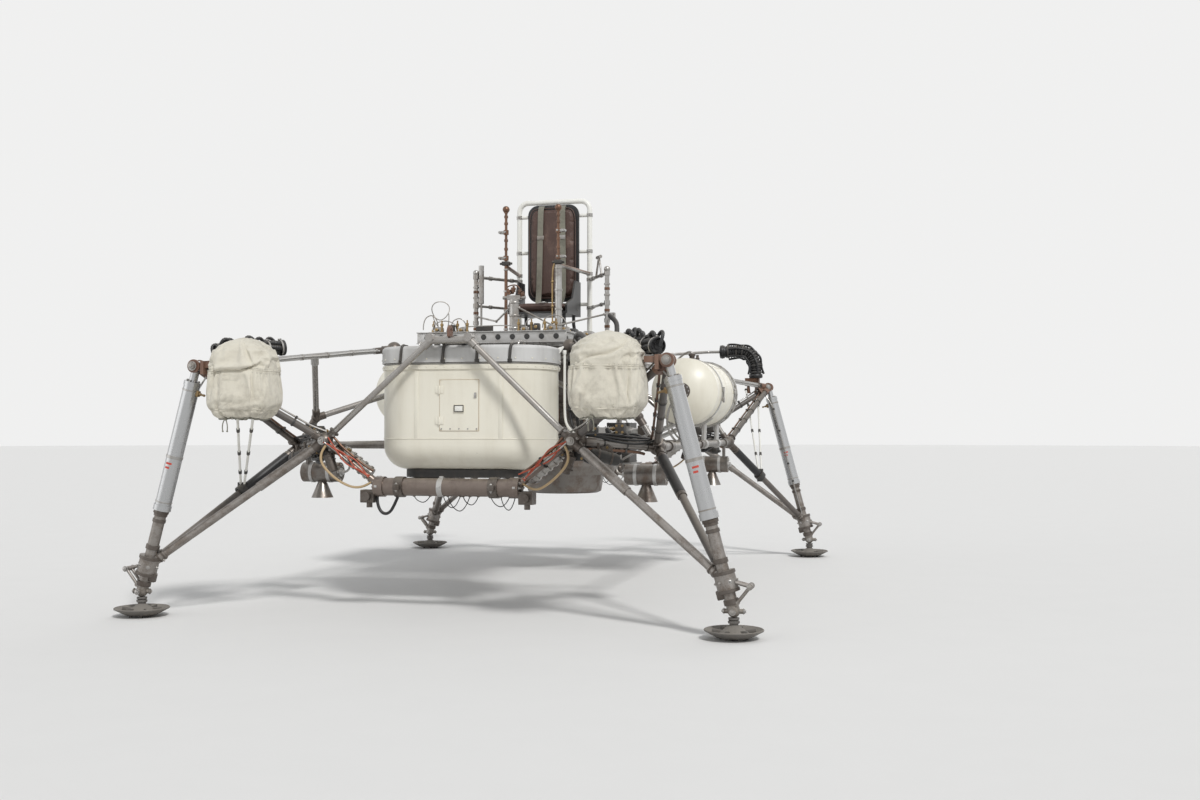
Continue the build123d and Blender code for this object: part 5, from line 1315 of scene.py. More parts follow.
    def _sleeves(self, bench: Workbench) -> None:
        """Black rubber sleeves with taped ends on the upper part of each brace."""
        rubber, tape = [], []
        for sx, sy in CORNERS:
            knee = AT.knuckle(sx, sy)
            for root, black in ((AT.side(sx, sy), True), (AT.shoulder(sx, sy), False)):
                way = (root - knee).normalized()
                length = (root - knee).length
                start, end = length * self.sleeve_from, length - 0.115
                if black:
                    rubber.append(bench.sleeve(
                        knee + way * (start + end) / 2, way, self.brace_r + 0.0052, end - start - 0.004, 0.0025))
                for at in (start - 0.012, end + 0.004) if black else (end + 0.060,):
                    tape.append(bench.sleeve(knee + way * at, way, self.brace_r, 0.026, 0.0065))
        bench.finish(rubber, "brace_sleeves", "black_sleeve")
        bench.finish(tape, "brace_collars", "fitting")

    def _pads(self, bench: Workbench) -> None:
        """Rolled rims, radial stiffeners and hub bolts on the foot pads."""
        rims, webs, bolts = [], [], []
        bolt_r = 0.007
        for sx, sy in CORNERS:
            x, y = sx * AT.foot_x, sy * AT.stance_y
            rims += [
                bench.hoop((x, y, 0.050), UP, self.pad_r - 0.003, 0.0048),
                bench.sleeve((x, y, 0.092), UP, 0.026, 0.012, 0.006)]
            for step in range(6):
                turn = 2 * math.pi * (step + 0.25) / 6
                way = vec(math.cos(turn), math.sin(turn), 0)
                web = bench.block((0, 0, 0), (0.082, 0.006, 0.022), 0.002)
                spoke = Matrix.Translation((x, y, 0.042)) @ Matrix.Rotation(turn, 4, "Z")
                web.data.transform(spoke @ Matrix.Translation((0.078, 0, 0)) @ Matrix.Rotation(-0.16, 4, "Y"))
                webs.append(web)
                bolts += bench.bolts([Matrix.Translation(vec(x, y, 0.030) + way.cross(Vector(UP)) * 0.074)], bolt_r)
        bench.finish(rims, "pad_rims", "foot")
        bench.finish(webs, "pad_stiffeners", "foot")
        bench.finish(bolts, "pad_bolts", "foot")

    def _gussets(self, bench: Workbench) -> None:
        """Bolted gusset plates between the bracket's sockets at each leg top."""
        plates, bolts = [], []
        bolt_r = 0.009
        for sx, sy in CORNERS:
            top = AT.leg_top(sx, sy)
            for first, second in ((AT.shoulder(sx, sy), AT.side(sx, sy)), (AT.side(sx, sy), AT.upper(sx, sy))):
                a, b = (first - top).normalized(), (second - top).normalized()
                normal = a.cross(b).normalized()
                corners = [top + a * 0.050, top + a * 0.150, top + b * 0.150, top + b * 0.050]
                plates.append(bench.plate(corners, 0.008))
                for way in (a, b):
                    for at in (0.080, 0.125):
                        for side in (-1, 1):
                            spot = top + way * at + normal * (side * 0.0045)
                            bolts += bench.bolts([facing(spot, normal * side)], bolt_r)
        bench.finish(plates, "leg_top_gussets", "clevis")
        bench.finish(bolts, "leg_top_gusset_bolts", "steel")


FOLDS = {
    1: (
        (0.35, 1.560, 0.55, 0.016, 0.10, 0.017), (0.20, 1.535, 0.50, 0.014, 0.10, -0.010),
        (-0.75, 1.36, 0.10, 0.12, 0.0, 0.014), (0.62, 1.35, 0.09, 0.10, 0.15, 0.016),
        (0.10, 1.40, 0.08, 0.07, -0.2, 0.010), (-0.30, 1.32, 0.10, 0.06, 0.3, 0.010)),
    -1: (
        (0.25, 1.475, 0.50, 0.016, 0.03, 0.034), (0.20, 1.502, 0.50, 0.017, 0.03, -0.014),
        (-0.45, 1.48, 0.09, 0.12, 0.1, 0.026), (0.05, 1.55, 0.09, 0.06, 0.1, 0.020),
        (0.45, 1.56, 0.16, 0.05, -0.1, 0.016), (-0.20, 1.33, 0.12, 0.10, 0.2, 0.018),
        (0.55, 1.36, 0.10, 0.09, -0.1, 0.016), (0.15, 1.29, 0.30, 0.020, 0.05, 0.014))}


@dataclass
class CanvasCovers:
    """The two canvas covers over the front thruster clusters."""

    x: float = 1.104
    y: float = -2.390
    half_width: float = 0.197
    half_depth: float = 0.163
    columns: int = 120
    rows: int = 66
    slack: float = 0.11
    most_moved: float = 0.034
    wall: float = 0.0016
    seam_z: float = 1.462
    hem_z: float = 1.240
    neck_z: float = 1.200
    flat: tuple[float, float] = (1.26, 0.92)
    cut_area: float = 0.705
    form_z: float = 1.42
    form_scale: Point = (0.90, 0.90, 0.955)
    cloth_frames: int = 26
    outline: tuple[tuple[float, float, float], ...] = (
        (1.661, 0.10, 2.0), (1.656, 0.32, 2.2), (1.644, 0.56, 2.5), (1.622, 0.745, 2.8), (1.590, 0.880, 3.0),
        (1.548, 0.955, 3.2), (1.505, 0.990, 3.6), (1.462, 1.0, 4.0), (1.410, 0.985, 4.4), (1.350, 0.965, 4.8),
        (1.290, 0.945, 5.0), (1.246, 0.930, 5.0), (1.226, 0.880, 4.0), (1.209, 0.780, 3.2), (1.196, 0.680, 2.6),
        (1.188, 0.570, 2.2))

    def build(self, bench: Workbench) -> None:
        """Sews, drapes and trims both covers."""
        for sx in SIDES:
            side = "left" if sx > 0 else "right"
            cover = self._shell(sx)
            self._drape(bench, cover, sx)
            seam, hem, neck = (self._row_points(cover, z) for z in (self.seam_z, self.hem_z, self.neck_z))
            trims = self._trims(bench, seam, hem, side)
            cords = self._drawstring(bench, neck, side)
            self._clothe(bench, cover, f"canvas_cover_{side}_cloth", f"canvas_cover_{side}")

    def _level(self, share: float) -> tuple[float, float, float]:
        """Height, scale and squareness of the shell, by its share of the way down."""
        spot = share * (len(self.outline) - 1)
        index = min(int(spot), len(self.outline) - 2)
        local = spot - index
        first, second = self.outline[index], self.outline[index + 1]
        return tuple(a + (b - a) * local for a, b in zip(first, second))

    @staticmethod
    def _dent(sx: int, turn: float, z: float) -> float:
        """How far big pressed folds push the cloth in, or out where negative, by angle and height."""
        front = (turn - 1.5 * math.pi + math.pi) % (2 * math.pi) - math.pi
        push = 0.0
        for angle, height, wide, high, slope, deep in FOLDS[sx]:
            along, up = front - angle, z - height - slope * (front - angle)
            push += deep * math.exp(-((along / wide) ** 2) - ((up / high) ** 2))
        return push

    def _shell(self, sx: int) -> bpy.types.Object:
        """The cover's cloth before it is draped: a domed crown over a boxy skirt, open below."""
        points, faces = [(sx * self.x, self.y, self.outline[0][0] + 0.001)], []
        for row in range(self.rows):
            z, scale, power = self._level(row / (self.rows - 1))
            for column in range(self.columns):
                turn = 2 * math.pi * column / self.columns
                c, s = math.cos(turn), math.sin(turn)
                ripple = 1 + 0.006 * math.sin(5 * turn + sx + row * 0.11)
                ripple += 0.005 * math.sin(11 * turn - 2 * sx - row * 0.17)
                ripple += 0.004 * math.sin(17 * turn + row * 0.4 * sx)
                ripple -= self._dent(sx, turn, z) / self.half_width
                x = signed_power(c, 2 / power) * self.half_width * scale * ripple
                x = x * 0.92 + 0.012 if sx < 0 else x
                y = signed_power(s, 2 / power) * self.half_depth * scale * ripple
                points.append((sx * self.x + x, self.y + y, z + 0.003 * math.sin(3 * turn + sx)))
        last = self.columns
        for column in range(last):
            faces.append((0, 1 + column, 1 + (column + 1) % last))
        for row in range(self.rows - 1):
            low, high = 1 + row * last, 1 + (row + 1) * last
            for column in range(last):
                following = (column + 1) % last
                faces.append((low + column, high + column, high + following, low + following))
        return Workbench.shape(points, faces)

    def _row_of(self, z: float) -> int:
        """The row of the shell nearest a height."""
        return min(range(self.rows), key=lambda row: abs(self._level(row / (self.rows - 1))[0] - z))

    def _row_points(self, cover: bpy.types.Object, z: float) -> list[Vector]:
        """Where one row of the cloth lies."""
        first = 1 + self._row_of(z) * self.columns
        return [cover.data.vertices[first + column].co.copy() for column in range(self.columns)]

    def _drape(self, bench: Workbench, cover: bpy.types.Object, sx: int) -> None:
        """Lets slack cloth crumple over a rigid form, then holds each point near where it was cut."""
        middle = vec(sx * self.x, self.y, self.form_z)
        shrink = Matrix.Translation(middle) @ Matrix.Diagonal((*self.form_scale, 1.0))
        form = bench.copy(cover, shrink @ Matrix.Translation(-middle))
        form.modifiers.new("form", "COLLISION")
        form.collision.thickness_outer = 0.004
        pins = cover.vertex_groups.new(name="pins")
        for z, weight in (
                (self.seam_z, 0.80), (self.hem_z, 0.45), (self.outline[-1][0], 1.0), (self.outline[0][0], 0.7)):
            first = 1 + self._row_of(z) * self.columns
            pins.add(list(range(first, first + self.columns)), weight, "REPLACE")
        bench.settle(
            cover, self.cloth_frames, self.most_moved, gravity=0.35, gap=0.004, quality=6, mass=0.25,
            tension_stiffness=22, compression_stiffness=22, shear_stiffness=8, bending_stiffness=0.25,
            vertex_group_mass="pins", pin_stiffness=1.2, shrink_min=-self.slack)
        bench.drop(form)

    def _clothe(self, bench: Workbench, cover: bpy.types.Object, name: str, node: str) -> None:
        """Thickens and smooths the draped cloth and hands it over."""
        cover.vertex_groups.clear()
        bench.modify(cover, "SUBSURF", levels=1, render_levels=1)
        bench.modify(cover, "SOLIDIFY", thickness=self.wall, offset=-1.0)
        bench.finish(cover, name, "canvas", smooth=1.2, replaces=[node])

    def _trims(self, bench: Workbench, seam: list[Vector], hem: list[Vector], side: str) -> list[bpy.types.Object]:
        """The felled seam, the hem's roll and their stitches."""
        rolls = [
            bench.loop(seam, 0.0034, 8), bench.loop([p + vec(0, 0, -0.011) for p in seam], 0.0026, 8),
            bench.loop(hem, 0.0042, 8), bench.loop([p + vec(0, 0, 0.016) for p in hem], 0.0022, 8)]
        roll = bench.finish(rolls, f"cover_seam_rolls_{side}", "canvas", smooth=1.2)
        stitch = bench.block((0, 0, 0), (0.0016, 0.0052, 0.0016), 0.0004, segments=1)
        stitches = []
        middle = sum(seam, Vector()) / len(seam)
        for ring, drop in ((seam, 0.0065), (seam, -0.019), (hem, 0.0085), (hem, 0.024)):
            for index in range(len(ring)):
                here, following = ring[index], ring[(index + 1) % len(ring)]
                way = following - here
                out = vec(here.x - middle.x, here.y - middle.y, 0).normalized()
                spot = here + out * 0.0018 + vec(0, 0, drop)
                turn = Matrix((out, way.normalized(), out.cross(way.normalized()))).transposed().to_4x4()
                stitches.append(bench.copy(stitch, Matrix.Translation(spot) @ turn))
        bench.drop(stitch)
        thread = bench.finish(stitches, f"cover_stitches_{side}", "webbing", smooth=1.2)
        return [roll, thread]

    def _drawstring(self, bench: Workbench, neck: list[Vector], side: str) -> bpy.types.Object:
        """The cord drawn round the cover's neck, with its knot and tails."""
        ring = bench.loop([p + vec(0, 0, -0.003) for p in neck], 0.0042, 8)
        knot_at = neck[int(len(neck) * 0.70)] + vec(0, -0.004, -0.004)
        pieces = [ring, bench.ball(knot_at, 0.011, (1.3, 1.0, 0.9))]
        for tail in (-1, 1):
            route = [
                knot_at, knot_at + vec(tail * 0.012, -0.006, -0.012), knot_at + vec(tail * 0.020, -0.006, -0.040),
                knot_at + vec(tail * 0.014, -0.004, -0.072)]
            pieces += [bench.hose(route, 0.0032, 8, 8), bench.ball(route[-1], 0.0055)]
        return bench.finish(pieces, f"cover_drawstring_{side}", "webbing", smooth=1.2)


@dataclass
class Upholstery:
    """The seat's leather cushion, its back pad and the harness over them."""

    voxel: float = 0.006
    most_moved: float = 0.012
    cloth_frames: int = 20
    strap_width: float = 0.044
    strap_wall: float = 0.0024

    def build(self, bench: Workbench) -> None:
        """Builds the seat's soft pieces."""
        self._pad(bench, "seat_cushion", "seat_cushion_leather", 2, (0.33, 0.66))
        self._pad(bench, "back_pad", "back_pad_leather", 1, (0.22, 0.42, 0.62, 0.82))
        self._harness(bench)

    def _pad(
        self, bench: Workbench, node: str, name: str, thin: int, channels: Sequence[float]
    ) -> None:
        """One pad: a crowned closed form with sewn channels across it.

        Args:
            bench: The workbench.
            node: CAD node that it replaces.
            name: The pad's name.
            thin: Axis of its thickness, 1 for Y or 2 for Z.
            channels: Where the sewn channels cross it, as shares of its length.
        """
        low, high = (Vector(corner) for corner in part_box(node))
        middle, half = (low + high) / 2, (high - low) / 2
        pad = self._crowned(middle, half, thin)
        self._swell(bench, pad)
        self._squeeze(pad, middle, half, thin, channels)
        bench.modify(pad, "SUBSURF", levels=1, render_levels=1)
        bench.finish(pad, name, "brown_leather", smooth=1.2, replaces=[node])
        self._welts(bench, middle, half, thin, channels, name)

    @staticmethod
    def _crowned(middle: Vector, half: Vector, thin: int) -> bpy.types.Object:
        """A closed pad, its sides pulled in between the corners."""
        columns, rows = 96, 26
        long_way = 3 - thin
        points, faces = [], []
        for row in range(rows + 1):
            lift = -math.pi / 2 + math.pi * row / rows
            ring = signed_power(math.cos(lift), 0.35)
            rise = signed_power(math.sin(lift), 0.75) * 0.93
            for column in range(columns):
                turn = 2 * math.pi * column / columns
                c, s = math.cos(turn), math.sin(turn)
                pull = 0.975 - 0.022 * math.cos(2 * turn) ** 2
                point = Vector(middle)
                point.x += signed_power(c, 0.34) * half.x * ring * pull
                point[long_way] += signed_power(s, 0.34) * half[long_way] * ring * pull
                point[thin] += rise * half[thin]
                points.append(point)
        for row in range(rows):
            for column in range(columns):
                following = (column + 1) % columns
                a, b = row * columns + column, row * columns + following
                faces.append((a, b, b + columns, a + columns))
        pad = Workbench.shape(points, faces)
        Workbench.pick(pad)
        bpy.ops.object.mode_set(mode="EDIT")
        bpy.ops.mesh.select_all(action="SELECT")
        bpy.ops.mesh.remove_doubles(threshold=0.0004)
        bpy.ops.mesh.normals_make_consistent(inside=False)
        bpy.ops.object.mode_set(mode="OBJECT")
        return pad

    def _swell(self, bench: Workbench, pad: bpy.types.Object) -> None:
        """Blows the pad up a little as cloth, and holds each point near where it was."""
        bench.modify(pad, "REMESH", mode="VOXEL", voxel_size=self.voxel)
        bench.settle(
            pad, self.cloth_frames, self.most_moved, use_pressure=True, uniform_pressure_force=4,
            bending_stiffness=0.6)

    @staticmethod
    def _squeeze(
        pad: bpy.types.Object, middle: Vector, half: Vector, thin: int, channels: Sequence[float]
    ) -> None:
        """Fits the pad in its space and presses the sewn channels into its outer face."""
        long_way = 3 - thin
        outer = 1.0 if thin == 2 else -1.0
        for vertex in pad.data.vertices:
            local = vertex.co - middle
            for channel in channels:
                place = (channel * 2 - 1) * half[long_way]
                near = math.exp(-(((local[long_way] - place) / 0.011) ** 2))
                if local[thin] * outer > 0:
                    local[thin] -= outer * 0.008 * near
            local[thin] = max(-half[thin], min(half[thin] + 0.006 if outer > 0 else half[thin], local[thin]))
            if thin == 1:
                local[thin] = max(local[thin], -half[thin] - 0.006)
            vertex.co = middle + local

    def _welts(
        self, bench: Workbench, middle: Vector, half: Vector, thin: int, channels: Sequence[float], name: str
    ) -> None:
        """Piping round the pad's edge and stitches along its channels."""
        long_way = 3 - thin
        outer = 1.0 if thin == 2 else -1.0
        ring = []
        for step in range(72):
            turn = 2 * math.pi * step / 72
            c, s = math.cos(turn), math.sin(turn)
            pull = 0.968 - 0.022 * math.cos(2 * turn) ** 2
            point = Vector(middle)
            point.x += signed_power(c, 0.34) * half.x * pull
            point[long_way] += signed_power(s, 0.34) * half[long_way] * pull
            point[thin] += outer * half[thin] * 0.30
            ring.append(point)
        bench.finish(bench.loop(ring, 0.0042, 8), f"{name}_welt", "brown_leather", smooth=1.2)
        stitch = bench.block((0, 0, 0), (0.0062, 0.0014, 0.0014), 0.0004, segments=1)
        stitches = []
        for channel in channels:
            for step in range(int(half.x * 2 * 0.88 / 0.011)):
                spot = Vector(middle)
                spot.x += -half.x * 0.88 + step * 0.011
                spot[long_way] += (channel * 2 - 1) * half[long_way]
                spot[thin] += outer * (half[thin] - 0.0088)
                stitches.append(bench.copy(stitch, Matrix.Translation(spot)))
        bench.drop(stitch)
        bench.finish(stitches, f"{name}_stitches", "webbing", smooth=1.2)

    def _harness(self, bench: Workbench) -> None:
        """Shoulder and lap straps lying on the pads, with their buckles."""
        pad_low, pad_high = (Vector(corner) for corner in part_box("back_pad"))
        seat_high = Vector(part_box("seat_cushion")[1])
        front, top = pad_low.y - 0.010, seat_high.z + 0.010
        for s in SIDES:
            side = "left" if s > 0 else "right"
            shoulder = [
                (s * 0.085, pad_high.y + 0.012, pad_high.z - 0.030),
                (s * 0.085, pad_high.y - 0.010, pad_high.z + 0.012), (s * 0.086, front + 0.004, pad_high.z - 0.006),
                (s * 0.088, front, pad_high.z - 0.12), (s * 0.092, front, pad_high.z - 0.34),
                (s * 0.096, front - 0.002, pad_low.z + 0.16), (s * 0.098, front - 0.012, pad_low.z + 0.030),
                (s * 0.090, front - 0.060, top + 0.002), (s * 0.060, front - 0.150, top),
                (s * 0.034, front - 0.215, top)]
            self._strap(bench, shoulder, f"shoulder_strap_{side}")
            lap = [
                (s * 0.212, 0.236, top - 0.050), (s * 0.206, 0.226, top - 0.018), (s * 0.186, 0.208, top + 0.001),
                (s * 0.130, 0.170, top + 0.001), (s * 0.080, 0.130, top + 0.001), (s * 0.032, 0.108, top + 0.002)]
            self._strap(bench, lap, f"lap_strap_{side}")
        buckle = [
            bench.block((0, 0.104, top + 0.007), (0.062, 0.052, 0.010), 0.004),
            bench.drum((0, 0.104, top + 0.014), UP, 0.017, 0.008, 28, 0.002)]
        for s in SIDES:
            buckle += [
                bench.block((s * 0.086, front - 0.004, pad_high.z - 0.25), (0.054, 0.006, 0.030), 0.002),
                bench.block((s * 0.088, front - 0.007, pad_high.z - 0.25), (0.040, 0.004, 0.006), 0.001)]
        bench.finish(buckle, "harness_buckles", "steel")

    def _strap(self, bench: Workbench, points: Sequence[Point], name: str) -> None:
        """One flat strap along a smooth line, its width level."""
        line = bench.line_through(points, 8)
        verts, faces = [], []
        for index, spot in enumerate(line):
            ahead = (line[min(index + 1, len(line) - 1)] - line[max(index - 1, 0)]).normalized()
            across = (Vector(LEFT) - ahead * ahead.x).normalized() * self.strap_width / 2
            verts += [spot - across, spot, spot + across]
        for index in range(len(line) - 1):
            a = index * 3
            faces += [(a, a + 1, a + 4, a + 3), (a + 1, a + 2, a + 5, a + 4)]
        strap = bench.shape(verts, faces)
        bench.modify(strap, "SOLIDIFY", thickness=self.strap_wall, offset=0.0)
        bench.finish(strap, name, "webbing", smooth=1.0)


@dataclass
class HoseRuns:
    """Wrapped hose bundles on the front rails and ribbed ducts over the rear corners."""

    bundle_from: float = 0.125
    bundle_to: float = 0.560
    bundle_lift: float = 0.0703
    hose_r: float = 0.0165
    lay_r: float = 0.031
    duct_r: float = 0.048
    duct_line: tuple[tuple[float, float], ...] = (
        (1.320, 1.585), (1.320, 1.640), (1.318, 1.700), (1.292, 1.776), (1.236, 1.822), (1.160, 1.827),
        (1.080, 1.824), (1.000, 1.824))

    def build(self, bench: Workbench) -> None:
        """Builds the bundles and the ducts."""
        self._bundles(bench)
        self._ducts(bench)

    def _bundles(self, bench: Workbench) -> None:
        """Six ribbed hoses laid round a core, with ties, loops and end cuffs."""
        hoses, ties, cuffs = [], [], []
        for sx in SIDES:
            start, end = self._rail_point(sx, self.bundle_from), self._rail_point(sx, self.bundle_to)
            way = (end - start).normalized()
            out = way.cross(Vector(UP)).normalized()
            up = out.cross(way).normalized()
            for strand in range(6):
                phase = strand * math.pi / 3 + sx
                route = []
                for step in range(13):
                    share = step / 12
                    turn = phase + 2.4 * share * sx
                    wander = self.lay_r * (1 + 0.16 * math.sin(7 * share + strand * 2.1))
                    squeeze = 0.72 if step in (0, 12) else 1.0
                    away = (out * math.cos(turn) + up * math.sin(turn)) * wander * squeeze
                    route.append(between(start, end, 0.02 + 0.96 * share) + away)
                hoses.append(bench.hose(route, self.hose_r, 12, 12, ribs=(0.0135, 0.0024)))
            hoses.append(bench.hose([between(start, end, s) for s in (0.01, 0.3, 0.6, 0.99)], 0.020, 12, 8))
            for loop in range(9):
                root = between(start, end, 0.03 + loop * 0.098)
                lean = 0.034 * math.sin(loop * 2.4 + sx)
                crest = 0.066 + 0.018 * math.sin(loop * 1.7 + sx)
                reach = 0.030 + 0.008 * math.sin(loop * 3.1)
                side_on = out * (0.028 * math.sin(loop * 1.3))
                hoses.append(bench.hose([
                    root - way * reach + side_on * 0.3, root - way * reach + out * lean * 0.6 + up * crest * 0.6,
                    root - way * reach * 0.5 + out * lean + up * crest,
                    root + way * reach * 0.6 + out * lean + up * crest,
                    root + way * reach * 1.2 + out * lean * 0.7 + up * crest * 0.6,
                    root + way * reach * 1.2 + side_on], 0.0095 + 0.002 * (loop % 2), 12, 10, ribs=(0.010, 0.0016)))
            for at in (0.05, 0.28, 0.52, 0.76, 0.95):
                spot = between(start, end, at)
                ties += [
                    bench.sleeve(spot, way, self.lay_r + self.hose_r + 0.0005, 0.011, 0.0024),
                    bench.block(spot + up * (self.lay_r + self.hose_r + 0.006), (0.016, 0.020, 0.010), 0.002, up)]
            for spot, aim in ((start, -way), (end, way)):
                cuffs += [
                    bench.sleeve(spot - aim * 0.014, aim, self.lay_r + 0.010, 0.030, 0.008),
                    bench.drum(spot - aim * 0.018, aim, self.lay_r + 0.011, 0.014, 40, 0.002)]
        bench.finish(hoses, "wrapped_hose_bundles", "black_hose", smooth=1.2, replaces=["hose_bundles"])
        bench.finish(ties, "bundle_ties", "steel")
        bench.finish(cuffs, "bundle_cuffs", "black_sleeve")

    def _rail_point(self, sx: int, distance: float) -> Vector:
        """A point over a front rail, so far from its leg top."""
        top, inner = AT.leg_top(sx, -1), AT.upper(sx, -1)
        way = (inner - top).normalized()
        up = way.cross(Vector(UP)).cross(way).normalized()
        return top + way * distance + up * self.bundle_lift

    def _ducts(self, bench: Workbench) -> None:
        """Ribbed ducts with cuffs, straps and small hoses bound along them."""
        ducts, straps, lines = [], [], []
        for sx in SIDES:
            route = [vec(sx * x, AT.stance_y, z) for x, z in self.duct_line]
            ducts.append(bench.hose(route, self.duct_r, 28, 22, ribs=(0.0215, 0.0085)))
            path = bench.line_through(route, 6)
            for index in range(3, len(path) - 2, 5):
                way = (path[index + 1] - path[index - 1]).normalized()
                straps.append(bench.sleeve(path[index], way, self.duct_r + 0.0085, 0.012, 0.003))
                knot = way.cross(Vector(REAR)).normalized() * -sx
                straps.append(bench.block(
                    path[index] + knot * (self.duct_r + 0.013), (0.018, 0.024, 0.010), 0.002, knot))
            for spot, aim in ((route[0], Vector(UP)), (route[-1], vec(sx, 0, 0))):
                ducts += [
                    bench.sleeve(spot + aim * 0.018, aim, self.duct_r - 0.002, 0.034, 0.013),
                    bench.sleeve(spot + aim * 0.018, aim, self.duct_r + 0.010, 0.008, 0.004),
                    bench.drum(spot + aim * 0.004, aim, self.duct_r, 0.012, 40, 0.002)]
            for strand in range(5):
                turn = math.pi * (0.15 + 0.36 * strand)
                offset_y, offset_n = math.cos(turn) * 0.061, math.sin(turn) * 0.061
                side_line = []
                for index, spot in enumerate(path[2:-2:4]):
                    way = (path[min(2 + index * 4 + 2, len(path) - 1)] - path[max(index * 4, 0)]).normalized()
                    normal = way.cross(Vector(REAR)).normalized() * -sx
                    bulge = 1 + 0.20 * math.sin(index * 2.2 + strand * 1.9)
                    side_line.append(spot + (vec(0, offset_y, 0) + normal * offset_n) * bulge)
                lines.append(bench.hose(side_line, 0.0095, 10, 6))
        bench.finish(ducts, "ribbed_corner_ducts", "black_hose", smooth=1.0, replaces=["corner_ducts"])
        bench.finish(straps, "duct_straps", "dark_metal")
        bench.finish(lines, "duct_side_lines", "black_sleeve", smooth=1.2)


@dataclass
class FrontTubTrim:
    """Fasteners, seams, hatch and lid details of the front tub."""

    half_x: float = 0.545
    half_y: float = 0.320
    corner: float = 0.258
    lip_proud: float = 0.009
    lip_z: float = 1.506
    lid_proud: float = 0.013
    lid_z: float = 1.556
    hatch: tuple[float, float, float] = (0.035, -1.820, 1.270)
    hatch_half: tuple[float, float] = (0.125, 0.155)
    window: tuple[float, float, float, float] = (0.035, 1.250, 0.066, 0.046)
    fastener_step: float = 0.058

    def build(self, bench: Workbench) -> None:
        """Builds the tub's trim."""
        self._fasteners(bench)
        self._seams(bench)
        self._hatch(bench)
        self._lid(bench)
        self._posts(bench)

    def _plan(self, proud: float, step: float, z: float) -> list[tuple[Vector, Vector]]:
        """Points round the tub's rounded plan with their outward directions."""
        flat_x, flat_y = self.half_x - self.corner, self.half_y - self.corner
        radius = self.corner + proud
        runs = [
            ((flat_x, -flat_y), 0.0, 2 * flat_y), ((flat_x, flat_y), math.pi / 2, 2 * flat_x),
            ((-flat_x, flat_y), math.pi, 2 * flat_y), ((-flat_x, -flat_y), 1.5 * math.pi, 2 * flat_x)]
        places = []
        for (cx, cy), first, straight in runs:
            out = vec(math.cos(first), math.sin(first), 0)
            along = vec(-out.y, out.x, 0)
            count = max(1, round(straight / step))
            base = vec(cx, cy, 0)
            for index in range(count):
                places.append((base + along * (index / count * straight) + out * radius, out))
            centre = base + along * straight
            arc = max(1, round(radius * math.pi / 2 / step))
            for index in range(arc):
                turn = first + math.pi / 2 * index / arc
                out = vec(math.cos(turn), math.sin(turn), 0)
                places.append((centre + out * radius, out))
        return [(vec(p.x, p.y + AT.tub_y, z), out) for p, out in places]

    def _fasteners(self, bench: Workbench) -> None:
        """Round-headed screws along the rim and the lid's skirt."""
        screw = bench.drum((0, 0, 0.0012), UP, 0.0052, 0.0036, 14, 0.0011)
        screws = []
        for proud, z, step in (
                (self.lip_proud, self.lip_z, self.fastener_step), (self.lid_proud, self.lid_z, 0.105)):
            screws += [bench.copy(screw, facing(spot, out)) for spot, out in self._plan(proud, step, z)]
        bench.drop(screw)
        bench.finish(screws, "tub_screws", "cream_paint")

    def _seams(self, bench: Workbench) -> None:
        """The rolled joint low on the tub, the gasket under the lid and two upright laps."""
        low = bench.loop([spot for spot, _ in self._plan(0.0005, 0.02, 1.066)], 0.0028, 8)
        upright = []
        for x in (-0.245, 0.300):
            for y, out in ((AT.tub_y - self.half_y, -1), (AT.tub_y + self.half_y, 1)):
                upright.append(bench.block((x, y + out * 0.0008, 1.278), (0.026, 0.0032, 0.424), 0.001))
        bench.finish([low, *upright], "tub_seams", "cream_paint")
        gasket = bench.loop([spot for spot, _ in self._plan(-0.004, 0.02, 1.527)], 0.0062, 8)
        bench.finish(gasket, "lid_gasket", "rail")

    def _hatch(self, bench: Workbench) -> None:
        """The hatch's screws, hinges and latch, and its small dark-framed window."""
        cx, cy, cz = self.hatch
        hx, hz = self.hatch_half
        face = cy - 0.0045
        screw = bench.drum((0, 0, 0.0010), UP, 0.0046, 0.0030, 14, 0.0009)
        screws = []
        for index in range(5):
            share = -1 + 2 * index / 4
            screws.append(bench.copy(screw, facing((cx + share * (hx - 0.012), face, cz - hz + 0.012), FRONT)))
        bench.drop(screw)
        bench.finish(screws, "hatch_screws", "steel")
        fittings = []
        for z in (cz - 0.095, cz + 0.095):
            fittings += [
                bench.drum((cx - hx - 0.004, cy - 0.006, z), UP, 0.0055, 0.052, 14, 0.001),
                bench.block((cx - hx + 0.012, cy - 0.006, z), (0.026, 0.003, 0.044), 0.001),
                bench.block((cx - hx - 0.018, cy - 0.003, z), (0.024, 0.003, 0.044), 0.001)]
        latch = [
            bench.block((cx + hx - 0.020, cy - 0.007, cz + 0.060), (0.014, 0.006, 0.034), 0.002),
            bench.drum((cx + hx - 0.020, cy - 0.012, cz + 0.060), FRONT, 0.006, 0.006, 16, 0.001)]
        bench.finish(fittings, "hatch_hinges", "cream_paint")
        bench.finish(latch, "hatch_latch", "steel")
        wx, wz, wide, high = self.window
        pane = bench.block((wx, cy - 0.0112, wz), (wide * 0.70, 0.0022, high * 0.66), 0.0008)
        bench.finish(pane, "hatch_window_blank", "white_paint")
        rim = self._frame(bench, (wx, cy - 0.0108, wz), wide * 0.44, high * 0.42, 0.0046)
        bench.finish(rim, "hatch_window_frame", "dark_metal")
        gaps = self._frame(bench, (cx, cy - 0.0012, cz), hx + 0.0014, hz + 0.0014, 0.0016)
        bench.finish(gaps, "hatch_edge_gap", "tan_hose")

